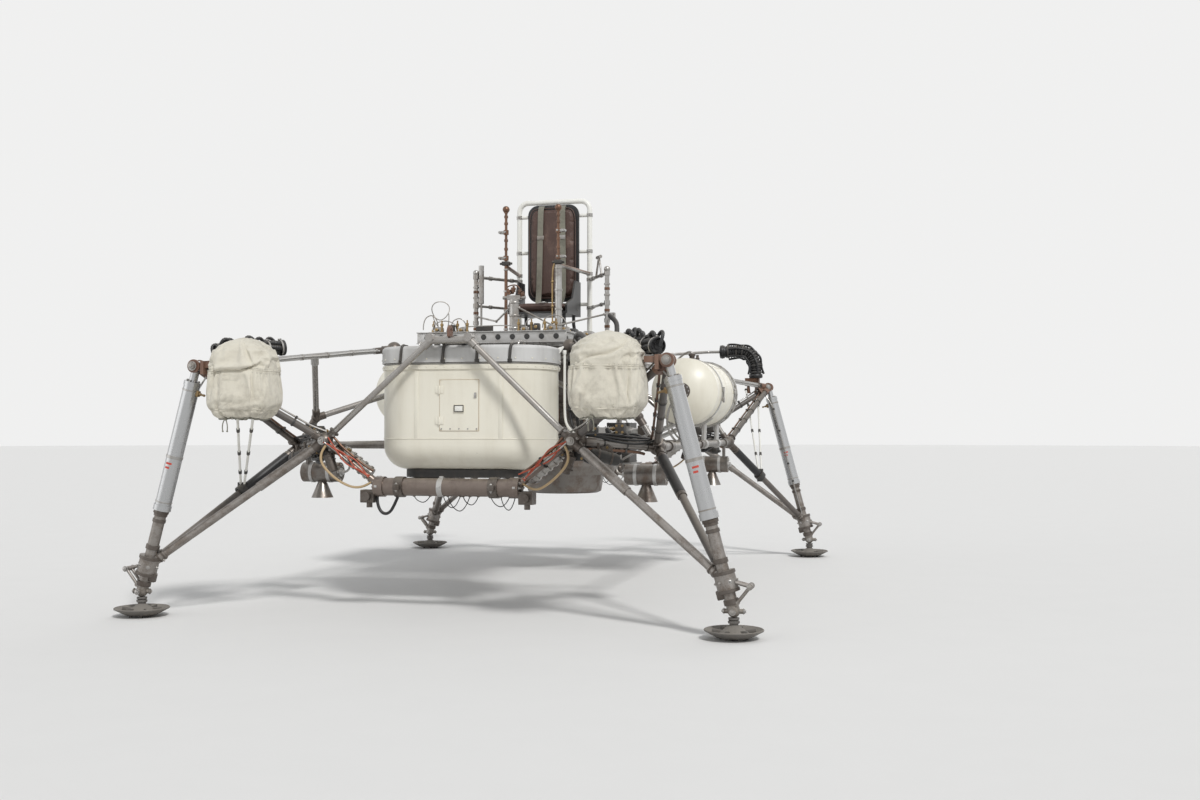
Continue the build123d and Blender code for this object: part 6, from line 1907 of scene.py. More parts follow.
    @staticmethod
    def _frame(
        bench: Workbench, centre: Point, half_x: float, half_z: float, width: float
    ) -> list[bpy.types.Object]:
        """Four mitred strips that make a rectangular frame facing forwards."""
        x, y, z = centre
        strips = []
        for side in (-1, 1):
            strips += [
                bench.block((x, y, z + side * half_z), (2 * half_x + width, 0.0036, width), 0.0006),
                bench.block((x + side * half_x, y, z), (width, 0.0036, 2 * half_z - width), 0.0006)]
        return strips

    def _lid(self, bench: Workbench) -> None:
        """Toggle clamps, dark hooks, lifting handles and gussets on the lid."""
        clamps, hooks, handles, gussets = [], [], [], []
        for x in (-0.335, -0.055, 0.165, 0.370):
            front = AT.tub_y - self.half_y - (0.018 if abs(x) < 0.3 else 0.003)
            hooks += [
                bench.hose([
                    (x, front + 0.030, 1.640), (x, front + 0.008, 1.644), (x - 0.004, front - 0.006, 1.630),
                    (x - 0.008, front - 0.007, 1.590), (x - 0.012, front - 0.003, 1.545)], 0.0095, 10, 8),
                bench.block((x, front + 0.040, 1.642), (0.030, 0.034, 0.008), 0.002),
                bench.block((x - 0.012, front + 0.002, 1.540), (0.028, 0.014, 0.022), 0.003)]
        for x in (-0.40, -0.20, 0.20, 0.40):
            y = AT.tub_y + self.half_y + (-0.001 if abs(x) > 0.30 else 0.011)
            clamps += [
                bench.block((x, y, 1.512), (0.030, 0.012, 0.030), 0.002),
                bench.block((x, y + 0.008, 1.545), (0.018, 0.008, 0.052), 0.002),
                bench.drum((x, y + 0.010, 1.568), LEFT, 0.006, 0.034, 14, 0.001),
                bench.drum((x, y + 0.008, 1.520), LEFT, 0.005, 0.036, 14, 0.001)]
        for x in (-0.33, 0.33):
            handles.append(bench.hose([
                (x, -1.56, 1.637), (x, -1.56, 1.662), (x, -1.553, 1.676), (x, -1.50, 1.678), (x, -1.447, 1.676),
                (x, -1.44, 1.662), (x, -1.44, 1.637)], 0.006, 10, 8))
            for y in (-1.56, -1.44):
                handles.append(bench.drum((x, y, 1.640), UP, 0.015, 0.006, 20, 0.001))
        for s in SIDES:
            corners = [
                vec(s * 0.532, -1.44, 1.612), vec(s * 0.532, -1.355, 1.640), vec(s * 0.575, -1.355, 1.655),
                vec(s * 0.560, -1.43, 1.60)]
            gussets.append(bench.plate(corners, 0.006))
        bench.finish(clamps, "lid_toggle_clamps", "steel")
        bench.finish(hooks, "lid_hooks", "dark_metal", smooth=1.0)
        bench.finish(handles, "lid_handles", "steel")
        bench.finish(gussets, "lid_gussets", "white_paint")

    def _posts(self, bench: Workbench) -> None:
        """Upright hoses and white pipes at the tub's left side, clamped between the frame's beams."""
        hoses, pipes, clips = [], [], []
        for index in range(4):
            x, y = 0.628 + 0.034 * index, -1.455 + 0.028 * (index % 2)
            route = [
                (0.600, -1.345, 1.618), (x - 0.01, y + 0.05, 1.585), (x, y, 1.52), (x, y - 0.006, 1.38),
                (x + 0.004, y, 1.22), (x + 0.03, y - 0.02, 1.10), (0.80, -1.62 - 0.05 * index, 1.050)]
            hoses.append(bench.hose(route, 0.0105, 10, 8, ribs=(0.011, 0.0012)))
        for x, y in ((0.610, -1.492), (0.742, -1.470)):
            pipes += [
                bench.hose([
                    (x, y, 1.600), (x, y, 1.50), (x, y, 1.36), (x, y, 1.20), (x + 0.02, y - 0.02, 1.12),
                    (0.80, -1.70, 1.048)], 0.0085, 10, 8),
                bench.drum((x, y, 1.604), UP, 0.013, 0.026, 6, 0.002)]
        for z in (1.555, 1.40, 1.245):
            clips.append(bench.block((0.676, -1.452, z), (0.160, 0.052, 0.014), 0.003))
        bench.finish(hoses, "tub_side_hoses", "black_hose", smooth=1.0)
        bench.finish(pipes, "tub_side_pipes", "white_paint", smooth=1.0)
        bench.finish(clips, "tub_side_clips", "dark_metal")


@dataclass
class SideTankTrim:
    """Weld seams, straps' buckles, flange bolts and plumbing of the two side tanks."""

    x: float = 1.090
    z: float = 1.400
    radius: float = 0.245
    front: float = 0.040

    def build(self, bench: Workbench) -> None:
        """Builds the trim of both tanks."""
        seams, bolts, buckles, ports, lines = [], [], [], [], []
        bolt_r = 0.0075
        for s in SIDES:
            centre = vec(s * self.x, 0, self.z)
            for y in (0.153, 0.490, 0.800):
                seams.append(bench.hoop(centre + vec(0, y, 0), REAR, self.radius - 0.0004, 0.0024, 72))
            seams.append(bench.block(
                centre + vec(s * self.radius * 0.6, 0.49, self.radius * 0.8), (0.008, 0.66, 0.004), 0.0012))
            bolts += bench.bolts(around(FRONT, centre + vec(0, 0.915, 0), 0.254, 24), bolt_r)
            bolts += bench.bolts(around(REAR, centre + vec(0, 0.941, 0), 0.254, 24), bolt_r)
            for y in (0.25, 0.85):
                side = centre + vec(s * (self.radius + 0.008), y, -0.02)
                buckles += [
                    bench.block(side + vec(0, 0, 0.034), (0.018, 0.044, 0.026), 0.003),
                    bench.block(side - vec(0, 0, 0.034), (0.018, 0.044, 0.026), 0.003),
                    bench.drum(side + vec(s * 0.004, 0, 0), UP, 0.0052, 0.112, 14, 0.001),
                    bench.drum(side + vec(s * 0.004, 0, 0.052), UP, 0.0095, 0.010, 6, 0.001),
                    bench.drum(side + vec(s * 0.004, 0, -0.052), UP, 0.0095, 0.010, 6, 0.001)]
            crown = centre + vec(0, 0.36, self.radius)
            ports += [
                bench.lathe([
                    (0.034, -0.004), (0.034, 0.010), (0.020, 0.013), (0.020, 0.030), (0.026, 0.032), (0.026, 0.048),
                    (0.012, 0.052)], crown, UP, 28),
                bench.lathe(
                    [(0.016, -0.004), (0.016, 0.030), (0.011, 0.034), (0.011, 0.052)],
                    centre + vec(0, 0.60, self.radius), UP, 20)]
            nose = centre + vec(0, self.front - 0.104, 0)
            ports.append(bench.lathe(
                [(0.060, -0.014), (0.060, 0.002), (0.030, 0.006), (0.030, 0.020), (0.016, 0.024)], nose, FRONT, 32))
            bolts += bench.bolts(around(FRONT, nose + vec(0, 0.001, 0), 0.047, 10), bolt_r)
            lines += [
                bench.hose(trail(
                    nose, (0, -0.02, 0), (0, -0.06, -0.005), (-s * 0.05, -0.075, -0.06), (-s * 0.12, -0.05, -0.20),
                    (-s * 0.10, 0.06, -0.33), (-s * 0.06, 0.16, -0.372)), 0.0085, 10, 8),
                bench.hose(trail(
                    centre, (0, 0.36, self.radius + 0.045), (0, 0.36, self.radius + 0.066),
                    (-s * 0.04, 0.38, self.radius + 0.072), (-s * 0.16, 0.44, self.radius - 0.015),
                    (-s * 0.235, 0.50, 0.10), (-s * 0.26, 0.54, -0.10), (-s * 0.18, 0.55, -0.33),
                    (-s * 0.10, 0.55, -0.368)), 0.0075, 10, 8)]
        bench.finish(seams, "tank_weld_seams", "cream_paint")
        bench.finish(bolts, "tank_flange_bolts", "steel")
        bench.finish(buckles, "tank_band_buckles", "steel")
        bench.finish(ports, "tank_ports", "fitting")
        bench.finish(lines, "tank_lines", "steel", smooth=1.0)


@dataclass
class FrameMachinery:
    """Collars, bolts, pipes, wiring and small machinery on the space frame."""

    tube_r: float = 0.025
    clip_step: float = 0.17
    rocket_x: float = 1.100
    rocket_ys: tuple[float, float] = (-1.350, 1.240)
    rocket_z: float = 0.840
    front_stay: Point = (1.104, 2.360, 1.205)
    rear_stay: Point = (1.285, 2.330, 1.480)

    def build(self, bench: Workbench) -> None:
        """Builds everything that is fixed along the frame."""
        self._collars(bench)
        self._pipes(bench)
        self._wires(bench)
        self._shoulders(bench)
        self._keel(bench)
        self._stays(bench)
        self._rails(bench)
        self._rockets(bench)

    def _struts(self) -> list[tuple[Vector, Vector]]:
        """Ends of the frame's main struts, corner by corner."""
        runs = []
        for sx, sy in CORNERS:
            runs += [
                (AT.shoulder(sx, sy), AT.leg_top(sx, sy)), (AT.side(sx, sy), AT.leg_top(sx, sy)),
                (AT.shoulder(sx, sy), AT.apex(sx, sy)), (AT.shoulder(sx, sy), AT.keel(sx, sy)),
                (AT.shoulder(sx, sy), AT.side(sx, sy))]
        return runs

    def _collars(self, bench: Workbench) -> None:
        """Rims and cross bolts on the sockets, and a nut on each shoulder fitting."""
        rims, bolts = [], []
        bolt_r, nut_r = 0.007, 0.019
        for start, end in self._struts():
            way = (end - start).normalized()
            rims.append(bench.sleeve(start + way * 0.080, way, 0.028, 0.010, 0.006))
            bolts += bench.bolts(around(way, start + way * 0.066, 0.0305, 2, True, 0.7), bolt_r)
        for sx, sy in CORNERS:
            spot = AT.shoulder(sx, sy)
            bolts += bench.bolts([facing(spot + vec(0, sy * 0.046, 0), (0, sy, 0))], nut_r)
        bench.finish(rims, "socket_rims", "fitting")
        bench.finish(bolts, "frame_bolts", "steel")

    def _pipes(self, bench: Workbench) -> None:
        """Rigid lines clipped along the struts."""
        bright, brown, clips = [], [], []
        for sx, sy in CORNERS:
            runs = (
                (AT.shoulder(sx, sy), AT.leg_top(sx, sy), Vector(UP), 0.0060, bright),
                (AT.side(sx, sy), AT.leg_top(sx, sy), vec(-sx, 0, 0.2), 0.0075, brown),
                (AT.shoulder(sx, sy), AT.keel(sx, sy), Vector(UP), 0.0080, brown),
                (AT.shoulder(sx, sy), AT.keel(sx, sy), vec(0, sy, 0.1), 0.0060, bright),
                (AT.shoulder(sx, sy), AT.side(sx, sy), Vector(DOWN), 0.0090, brown))
            for start, end, toward, radius, pile in runs:
                way = (end - start).normalized()
                length = (end - start).length
                off = (toward - way * toward.dot(way)).normalized()
                gap = self.tube_r + radius + 0.004
                first, last = 0.10, length - 0.13
                route = [start + off * 0.052 + way * 0.02, start + off * (gap + 0.008) + way * (first - 0.02)]
                steps = max(3, int((last - first) / 0.16))
                for index in range(steps + 1):
                    route.append(start + way * (first + (last - first) * index / steps) + off * gap)
                route.append(start + way * (last + 0.035) + off * (gap + 0.010))
                pile.append(bench.hose(route, radius, 8, 5))
                for index in range(1, int((last - first) / self.clip_step) + 1):
                    spot = start + way * (first + index * self.clip_step - 0.05)
                    clips += [
                        bench.sleeve(spot, way, self.tube_r - 0.0005, 0.012, 0.002, 24),
                        bench.block(spot + off * gap, (radius * 2 + 0.008, radius * 2 + 0.008, 0.014), 0.002, way)]
        bench.finish(bright, "clipped_lines", "steel", smooth=1.0)
        bench.finish(brown, "clipped_pipes", "bronze", smooth=1.0)
        bench.finish(clips, "line_clips", "dark_metal")

    def _wires(self, bench: Workbench) -> None:
        """Loose-laid red and tan wires along the short front struts, and black looms beside them."""
        red, tan, black = [], [], []
        for sx, sy in CORNERS:
            start, end = AT.shoulder(sx, sy), AT.keel(sx, sy)
            way, length = (end - start).normalized(), (end - start).length
            side = way.cross(vec(0, sy, 0)).normalized()
            for strand in range(3 if sy < 0 else 1):
                route = []
                for index in range(9):
                    share = index / 8
                    wave = math.sin(share * 9 + strand * 2.0 + sx) * 0.016
                    spot = start + way * (0.03 + (length - 0.10) * share)
                    out = vec(0, sy * (0.040 + 0.006 * strand), 0)
                    route.append(spot + out + side * (wave + 0.012 * (strand - 1)) + vec(0, 0, 0.018))
                red.append(bench.hose(route, 0.0042, 8, 8))
            route = [
                start + vec(-sx * 0.03, sy * 0.05, -0.03),
                start + vec(sx * 0.02, sy * 0.07, -0.10),
                start + vec(-sx * 0.05, sy * 0.075, -0.19),
                start + vec(-sx * 0.15, sy * 0.05, -0.27),
                end + vec(sx * 0.12, sy * 0.03, -0.02),
                end + vec(sx * 0.05, sy * 0.02, 0.03)]
            tan.append(bench.hose(route, 0.0075, 10, 10))
            for strand in range(3):
                root = AT.side(sx, sy)
                swing = 0.016 * (strand - 1)
                route = [
                    root + vec(swing, sy * 0.05, 0.05),
                    root + vec(-sx * 0.06 + swing, sy * 0.13, 0.055 - 0.02 * strand),
                    between(root, start, 0.5) + vec(swing, 0, 0.060 - 0.03 * strand),
                    start + vec(sx * 0.09, -sy * 0.05 + swing, 0.045), start + vec(sx * 0.02, -sy * 0.045, 0.030)]
                black.append(bench.hose(route, 0.0075, 8, 8))
            black += self._tangle(bench, sx, sy)
        bench.finish(red, "red_wires", "red_wire", smooth=1.2)
        bench.finish(tan, "tan_hoses", "tan_hose", smooth=1.2)
        bench.finish(black, "black_looms", "black_hose", smooth=1.2)

    @staticmethod
    def _tangle(bench: Workbench, sx: int, sy: int) -> list[bpy.types.Object]:
        """Hoses that loop between the shoulder, the side beam and the leg struts."""
        root, side = AT.shoulder(sx, sy), AT.side(sx, sy)
        hoses = []
        for strand in range(11 if sy < 0 else 6):
            wave, swing = math.sin(strand * 2.3 + sx), math.cos(strand * 1.7 + sy)
            near = root + vec(sx * 0.010 * strand, -sy * (0.040 + 0.012 * strand), -0.055 + 0.020 * wave)
            far = between(side, root, 0.10 + 0.055 * strand) + vec(0, 0, 0.030 + 0.012 * swing)
            middle = between(near, far, 0.5)
            hoses.append(bench.hose([
                near, near + vec(sx * 0.035, -sy * 0.010, 0.055 * wave - 0.030),
                middle + vec(0.040 * swing, 0.045 * wave, -0.060 - 0.050 * abs(wave)),
                middle + vec(0.055 * wave, -sy * 0.050, -0.020 + 0.090 * swing),
                far + vec(-sx * 0.045, 0.030 * wave, 0.050 * swing + 0.015), far], 0.0062 + 0.0028 * (strand % 3),
                8, 8))
        return hoses

    def _shoulders(self, bench: Workbench) -> None:
        """Valves, filters and junction boxes packed round each shoulder fitting."""
        dark, metal, brass = [], [], []
        nut_r = 0.006
        for sx, sy in CORNERS:
            root = AT.shoulder(sx, sy)
            inward, lean, lie = vec(-sx, 0, 0), vec(sx * 0.35, 0, 1), vec(0.9 * sx, -sy * 0.4, -0.25)
            plan = (
                (vec(sx * 0.02, -sy * 0.085, -0.075), (0.070, 0.060, 0.085), dark),
                (vec(-sx * 0.085, -sy * 0.055, -0.060), (0.050, 0.046, 0.060), metal),
                (vec(sx * 0.095, -sy * 0.120, 0.055), (0.060, 0.052, 0.052), dark),
                (vec(sx * 0.150, -sy * 0.180, -0.060), (0.080, 0.070, 0.060), metal),
                (vec(sx * 0.230, -sy * 0.270, 0.070), (0.055, 0.080, 0.058), dark))
            for offset, size, pile in plan:
                spot = root + offset
                pile += [
                    bench.block(spot, size, 0.005),
                    bench.block(
                        spot + vec(0, 0, size[2] / 2 + 0.004), (size[0] * 0.8, size[1] * 0.8, 0.010), 0.002)]
                for dx in (-0.33, 0.33):
                    for dz in (-0.33, 0.33):
                        spot_on = spot + vec(dx * size[0], sy * size[1] / 2, dz * size[2])
                        brass += bench.bolts([facing(spot_on, (0, sy, 0))], nut_r)
                brass.append(bench.lathe(
                    [(0.010, 0), (0.010, 0.012), (0.0135, 0.014), (0.0135, 0.026), (0.007, 0.028), (0.007, 0.040)],
                    spot + inward * (size[0] / 2), inward, 12))
            filt = root + vec(-sx * 0.030, -sy * 0.020, -0.135)
            metal.append(bench.lathe([
                (0.018, -0.062), (0.029, -0.056), (0.031, -0.030), (0.031, 0.034), (0.034, 0.036), (0.034, 0.050),
                (0.020, 0.054), (0.012, 0.074)], filt, lean, 28))
            for turn in range(3):
                metal.append(bench.sleeve(filt + vec(0, 0, -0.03 + 0.022 * turn), lean, 0.031, 0.005, 0.002, 28))
            flask = root + vec(sx * 0.19, -sy * 0.05, -0.095)
            dark.append(bench.lathe([
                (0.012, -0.10), (0.030, -0.090), (0.036, -0.070), (0.036, 0.060), (0.030, 0.080), (0.012, 0.090),
                (0.012, 0.105)], flask, lie, 28))
            for at in (-0.045, 0.035):
                spot = flask + lie.normalized() * at
                metal += [
                    bench.sleeve(spot, lie, 0.036, 0.012, 0.003, 28),
                    bench.block(spot + vec(0, 0, 0.052), (0.016, 0.016, 0.044), 0.003)]
        bench.finish(dark, "shoulder_boxes", "dark_metal")
        bench.finish(metal, "shoulder_valves", "fitting")
        bench.finish(brass, "shoulder_unions", "brass")

    def _keel(self, bench: Workbench) -> None:
        """The keel tubes' painted band, end collars, bolts, and the hose and wire under them."""
        band, collars, bolts, hose, wire = [], [], [], [], []
        bolt_r = 0.009
        for sy in SIDES:
            y, z = sy * AT.keel_y, AT.keel_z
            for x, wide in ((-0.035, 0.034), (0.438, 0.036), (-0.438, 0.036)):
                band += [
                    bench.sleeve((x, y, z), LEFT, 0.0538, wide, 0.0040, 56),
                    bench.block((x, y + sy * 0.004, z + 0.060), (wide * 0.7, 0.016, 0.012), 0.002),
                    bench.block((x, y + sy * 0.060, z + 0.004), (wide * 0.5, 0.012, 0.014), 0.002)]
            for x in (-0.462, 0.462):
                bolts += bench.bolts(around((math.copysign(1, x), 0, 0), (x, y, z), 0.042, 8), bolt_r)
                collars.append(bench.drum((x + math.copysign(0.004, x), y, z), LEFT, 0.026, 0.016, 24, 0.003))
            for x in (-0.300, 0.300):
                for end in (-1, 1):
                    collars.append(bench.block((x, y + end * 0.070, z), (0.040, 0.020, 0.036), 0.003))
                    bolts += bench.bolts([
                        facing((x, y + end * 0.070, z + 0.018), UP), facing((x, y + end * 0.070, z - 0.018), DOWN)],
                        bolt_r)
            hose.append(bench.hose([
                (-0.452, y, z - 0.040), (-0.450, y - 0.01, z - 0.085), (-0.438, y - 0.012, z - 0.135),
                (-0.405, y - 0.012, z - 0.168), (-0.362, y - 0.010, z - 0.160), (-0.340, y - 0.006, z - 0.115),
                (-0.318, y, z - 0.062)], 0.0095, 10, 12))
            for first, wide, sag in (
                    (0.03, 0.055, 0.070), (0.075, 0.070, 0.090), (0.150, 0.048, 0.052), (0.335, 0.060, 0.060),
                    (-0.16, 0.052, 0.040), (0.385, 0.045, 0.080)):
                shift = 0.010 * math.sin(first * 40)
                wire.append(bench.hose([
                    (first - wide, y, z - 0.052), (first - wide * 0.85, y + shift, z - 0.052 - sag * 0.5),
                    (first - wide * 0.25, y - shift, z - 0.052 - sag),
                    (first + wide * 0.35, y, z - 0.052 - sag * 1.05),
                    (first + wide * 0.8, y - shift, z - 0.052 - sag * 0.45), (first + wide, y, z - 0.052)], 0.0028,
                    8, 12))
                for end in (-wide, wide):
                    collars.append(bench.block((first + end, y, z - 0.054), (0.014, 0.016, 0.008), 0.002))
            hose.append(bench.hose([
                (-0.40, y - sy * 0.062, z + 0.03), (-0.2, y - sy * 0.068, z + 0.036),
                (0.0, y - sy * 0.064, z + 0.032), (0.2, y - sy * 0.068, z + 0.036),
                (0.40, y - sy * 0.062, z + 0.03)], 0.0085, 10, 10))
        bench.finish(band, "keel_bands", "rail")
        bench.finish(collars, "keel_collars", "fitting")
        bench.finish(bolts, "keel_bolts", "steel")
        bench.finish(hose, "keel_hoses", "black_hose", smooth=1.2)
        bench.finish(wire, "keel_wire_loops", "black_sleeve", smooth=1.2)

    def _stays(self, bench: Workbench) -> None:
        """White V stays from three thruster clusters down to clamps on the side braces; the front left has none."""
        rods, clamps = [], []
        for sx, sy in ((-1, -1), (1, 1), (-1, 1)):
            knee, side = AT.knuckle(sx, sy), AT.side(sx, sy)
            grip = between(side, knee, 0.40)
            way = (knee - side).normalized()
            x, y, z = self.front_stay if sy < 0 else self.rear_stay
            for end in (-1, 1):
                top = vec(sx * x + end * 0.052, sy * y, z)
                foot = grip + vec(end * 0.012, 0, 0.040)
                rods.append(bench.hose(
                    [top, between(top, foot, 0.33), between(top, foot, 0.66), foot], 0.0078, 10, 4))
                for at in (0.20, 0.52, 0.80):
                    spot = between(top, foot, at)
                    clamps.append(bench.sleeve(spot, (foot - top).normalized(), 0.0078, 0.030, 0.003, 20))
                clamps += [bench.ball(foot, 0.014), bench.ball(top, 0.013)]
            clamps += [
                bench.sleeve(grip, way, 0.0315, 0.046, 0.012),
                bench.block(grip + vec(0, 0, 0.040), (0.056, 0.030, 0.034), 0.004),
                bench.block(grip - vec(0, 0, 0.044), (0.044, 0.030, 0.018), 0.003)]
        bench.finish(rods, "thruster_stays", "white_paint", smooth=1.0)
        bench.finish(clamps, "stay_clamps", "dark_metal")

    def _rails(self, bench: Workbench) -> None:
        """Cable runs, clips and end fittings on the four corner rails."""
        lines, clips, plates = [], [], []
        nut_r = 0.0065
        for sx, sy in CORNERS:
            top, inner = AT.leg_top(sx, sy), AT.upper(sx, sy)
            way, length = (inner - top).normalized(), (inner - top).length
            out = way.cross(Vector(UP)).normalized()
            for strand, radius in ((1, 0.0065), (-1, 0.0050)):
                off = out * strand * (0.018 + radius + 0.002)
                route = []
                for index in range(9):
                    spot = top + way * (0.14 + (length - 0.26) * index / 8)
                    route.append(spot + off + vec(0, 0, 0.003 * math.sin(index * 2.1)))
                lines.append(bench.hose(route, radius, 8, 5))
            for index in range(7):
                spot = top + way * (0.16 + (length - 0.30) * index / 6)
                clips += [
                    bench.block(spot, (0.0395, 0.0395, 0.010), 0.002, way),
                    bench.block(spot + out * 0.026, (0.018, 0.018, 0.012), 0.002, way)]
            for at in (0.115, length - 0.115):
                plates.append(bench.block(top + way * at, (0.042, 0.042, 0.060), 0.003, way))
                for side in (-1, 1):
                    plates += bench.bolts([facing(top + way * at + out * (side * 0.021), out * side)], nut_r)
        bench.finish(lines, "rail_cables", "rail", smooth=1.2)
        bench.finish(clips, "rail_clips", "steel")
        bench.finish(plates, "rail_end_fittings", "fitting")

    def _rockets(self, bench: Workbench) -> None:
        """Light bands, bolted heads and gas lines on the lift rockets' bodies."""
        bands, bolts, lines = [], [], []
        bolt_r = 0.007
        for s in SIDES:
            for y in self.rocket_ys:
                centre = vec(s * self.rocket_x, y, self.rocket_z)
                for at in (-0.062, 0.062):
                    bands.append(bench.sleeve(centre + vec(at, 0, 0), LEFT, 0.0648, 0.022, 0.004, 56))
                for end in (-1, 1):
                    head = centre + vec(end * 0.130, 0, 0)
                    bolts += bench.bolts(around((end, 0, 0), head, 0.048, 8), bolt_r)
                    bands.append(bench.lathe(
                        [(0.030, -0.004), (0.030, 0.006), (0.018, 0.009), (0.018, 0.022), (0.009, 0.026)], head,
                        (end, 0, 0), 24))
                lines.append(bench.hose(trail(
                    centre, (-s * 0.150, 0, 0), (-s * 0.185, 0, 0.004), (-s * 0.205, 0.01, 0.045),
                    (-s * 0.150, 0.02, 0.110), (-s * 0.04, 0.03, 0.150), (0, 0.02, 0.182)), 0.0075, 10, 8))
        bench.finish(bands, "rocket_bands", "rail")
        bench.finish(bolts, "rocket_bolts", "steel")
        bench.finish(lines, "rocket_gas_lines", "steel", smooth=1.0)


@dataclass
class PilotStationTrim:
    """Deck fasteners, clamps, knobs, linkages and wiring round the seat."""

    deck_front: float = -1.120
    deck_rear: float = 0.430
    deck_top: float = AT.deck_top
    hoop_x: float = 0.283
    hoop_y: float = 0.400
    hoop_r: float = 0.020
    post_x: float = 0.512
    post_y: float = 0.030
    post_r: float = 0.017
    pedestal_y: float = -0.62
    control_x: float = 0.200
    control_y: float = -0.195
    screw_x: float = 0.505
    screw_steps: int = 22
    channel_z: float = 1.7345
    hole_r: float = 0.019

    def build(self, bench: Workbench) -> None:
        """Builds the deck's and the seat's trim."""
        self._deck(bench)
        self._clutter(bench)
        self._hoop(bench)
        self._posts(bench)
        self._controls(bench)
        self._linkage(bench)
        self._feet(bench)

    def _deck(self, bench: Workbench) -> None:
        """Screws and seams of the deck plate, and the channel along its front, with rims round its openings and
        black discs of painted shade in them.
        """
        screws, strips = [], []
        screw = bench.drum((0, 0, 0.001), UP, 0.0050, 0.0032, 12, 0.001)
        for x in (-self.screw_x, -0.170, 0.170, self.screw_x):
            for index in range(self.screw_steps + 1):
                y = self.deck_front + 0.016 + (self.deck_rear - self.deck_front - 0.032) * index / self.screw_steps
                screws.append(bench.copy(screw, Matrix.Translation((x, y, self.deck_top))))
        for y in (self.deck_front + 0.016, -0.35, self.deck_rear - 0.016):
            for index in range(1, 16):
                screws.append(bench.copy(
                    screw, Matrix.Translation((-self.screw_x + 1.01 * index / 16, y, self.deck_top))))
        bench.drop(screw)
        for x in (-0.17, 0.17):
            strips.append(bench.block((x + 0.018, -0.345, self.deck_top + 0.0008), (0.004, 1.53, 0.0022), 0.0005))
        strips.append(bench.block((0, -0.36, self.deck_top + 0.0008), (1.03, 0.004, 0.0022), 0.0005))
        channel = [
            bench.block((0, self.deck_front - 0.003, self.channel_z), (1.04, 0.006, 0.077), 0.001),
            bench.block((0, self.deck_front - 0.012, 1.771), (1.04, 0.024, 0.005), 0.001),
            bench.block((0, self.deck_front - 0.012, 1.698), (1.04, 0.024, 0.005), 0.001)]
        rings, hole_shade_discs = [], []
        for index in range(10):
            x = -0.45 + 0.1 * index
            spot = (x, self.deck_front - 0.0065, self.channel_z)
            rings.append(bench.sleeve(spot, REAR, self.hole_r, 0.004, 0.005, 28))
            # Black discs of painted shade stand in for the openings in the channel.
            spot = (x, self.deck_front - 0.0064, self.channel_z)
            hole_shade_discs.append(bench.drum(spot, REAR, self.hole_r - 0.0002, 0.0016, 28, 0.0004))
        bench.finish(screws, "deck_screws", "steel")
        bench.finish(strips, "deck_seams", "fitting")
        bench.finish(channel + rings, "deck_front_channel", "rail")
        bench.finish(hole_shade_discs, "deck_channel_hole_shade", "black_paint")

    def _clutter(self, bench: Workbench) -> None:
        """Small boxes, unions and coiled wires on the deck's front corners."""
        metal, brass, dark, wire = [], [], [], []
        top = self.deck_top
        for s in SIDES:
            spots = (
                (0.40, -1.04, 0.060, 0.050, 0.034, metal), (0.30, -1.06, 0.040, 0.036, 0.046, dark),
                (0.46, -0.93, 0.046, 0.070, 0.030, metal), (0.345, -0.93, 0.030, 0.040, 0.026, brass),
                (0.22, -1.075, 0.050, 0.030, 0.022, metal), (0.42, -0.62, 0.070, 0.100, 0.040, dark),
                (0.46, -0.30, 0.060, 0.120, 0.045, metal))
            for x, y, wide, deep, high, pile in spots:
                pile += [
                    bench.block((s * x, y, top + high / 2), (wide, deep, high), 0.003),
                    bench.block((s * x, y, top + high + 0.002), (wide * 0.85, deep * 0.85, 0.006), 0.0015)]
                brass.append(bench.lathe(
                    [(0.008, 0), (0.008, 0.010), (0.011, 0.011), (0.011, 0.021), (0.006, 0.024)],
                    (s * x, y - deep / 2, top + high * 0.55), FRONT, 12))
            for index, x in enumerate((0.18, 0.26, 0.36, 0.43)):
                base = vec(s * x, -1.085 + 0.03 * (index % 2), top)
                brass.append(bench.lathe([
                    (0.011, 0), (0.011, 0.010), (0.007, 0.012), (0.007, 0.040), (0.011, 0.043), (0.011, 0.058),
                    (0.005, 0.062), (0.005, 0.080)], base, UP, 14))
        ring_at = vec(-0.385, -1.045, top + 0.150)
        turns = [2 * math.pi * index / 40 for index in range(40)]
        ring = [ring_at + vec(math.cos(a) * 0.062, 0.018 * math.sin(2 * a), math.sin(a) * 0.062) for a in turns]
        wire += [
            bench.loop(ring, 0.0032, 8),
            bench.hose(
                trail(ring_at, (0.058, 0, -0.020), (0.064, 0, -0.070), (0.052, 0, -0.118), (0.040, 0, -0.150)),
                0.0034, 8, 8),
            bench.hose(
                trail(ring_at, (-0.055, 0, -0.030), (-0.050, 0, -0.078), (-0.010, 0, -0.116), (0.02, 0, -0.150)),
                0.0030, 8, 8)]
        for start, end, rise in (
                (-0.500, -0.400, 0.10), (-0.43, -0.27, 0.06), (-0.30, -0.20, 0.075), (0.22, 0.36, 0.07),
                (0.34, 0.50, 0.085), (-0.25, 0.24, 0.022)):
            a, b = vec(start, -1.07, top + 0.02), vec(end, -1.05, top + 0.02)
            wire.append(bench.hose([
                a, a + vec(0, 0, rise * 0.7), between(a, b, 0.35) + vec(0, 0.012, rise),
                between(a, b, 0.7) + vec(0, -0.012, rise), b + vec(0, 0, rise * 0.6), b], 0.0036, 8, 10))
        bench.finish(metal, "deck_boxes", "steel")
        bench.finish(dark, "deck_dark_boxes", "dark_metal")
        bench.finish(brass, "deck_unions", "brass")
        bench.finish(wire, "deck_wire_loops", "steel", smooth=1.2)

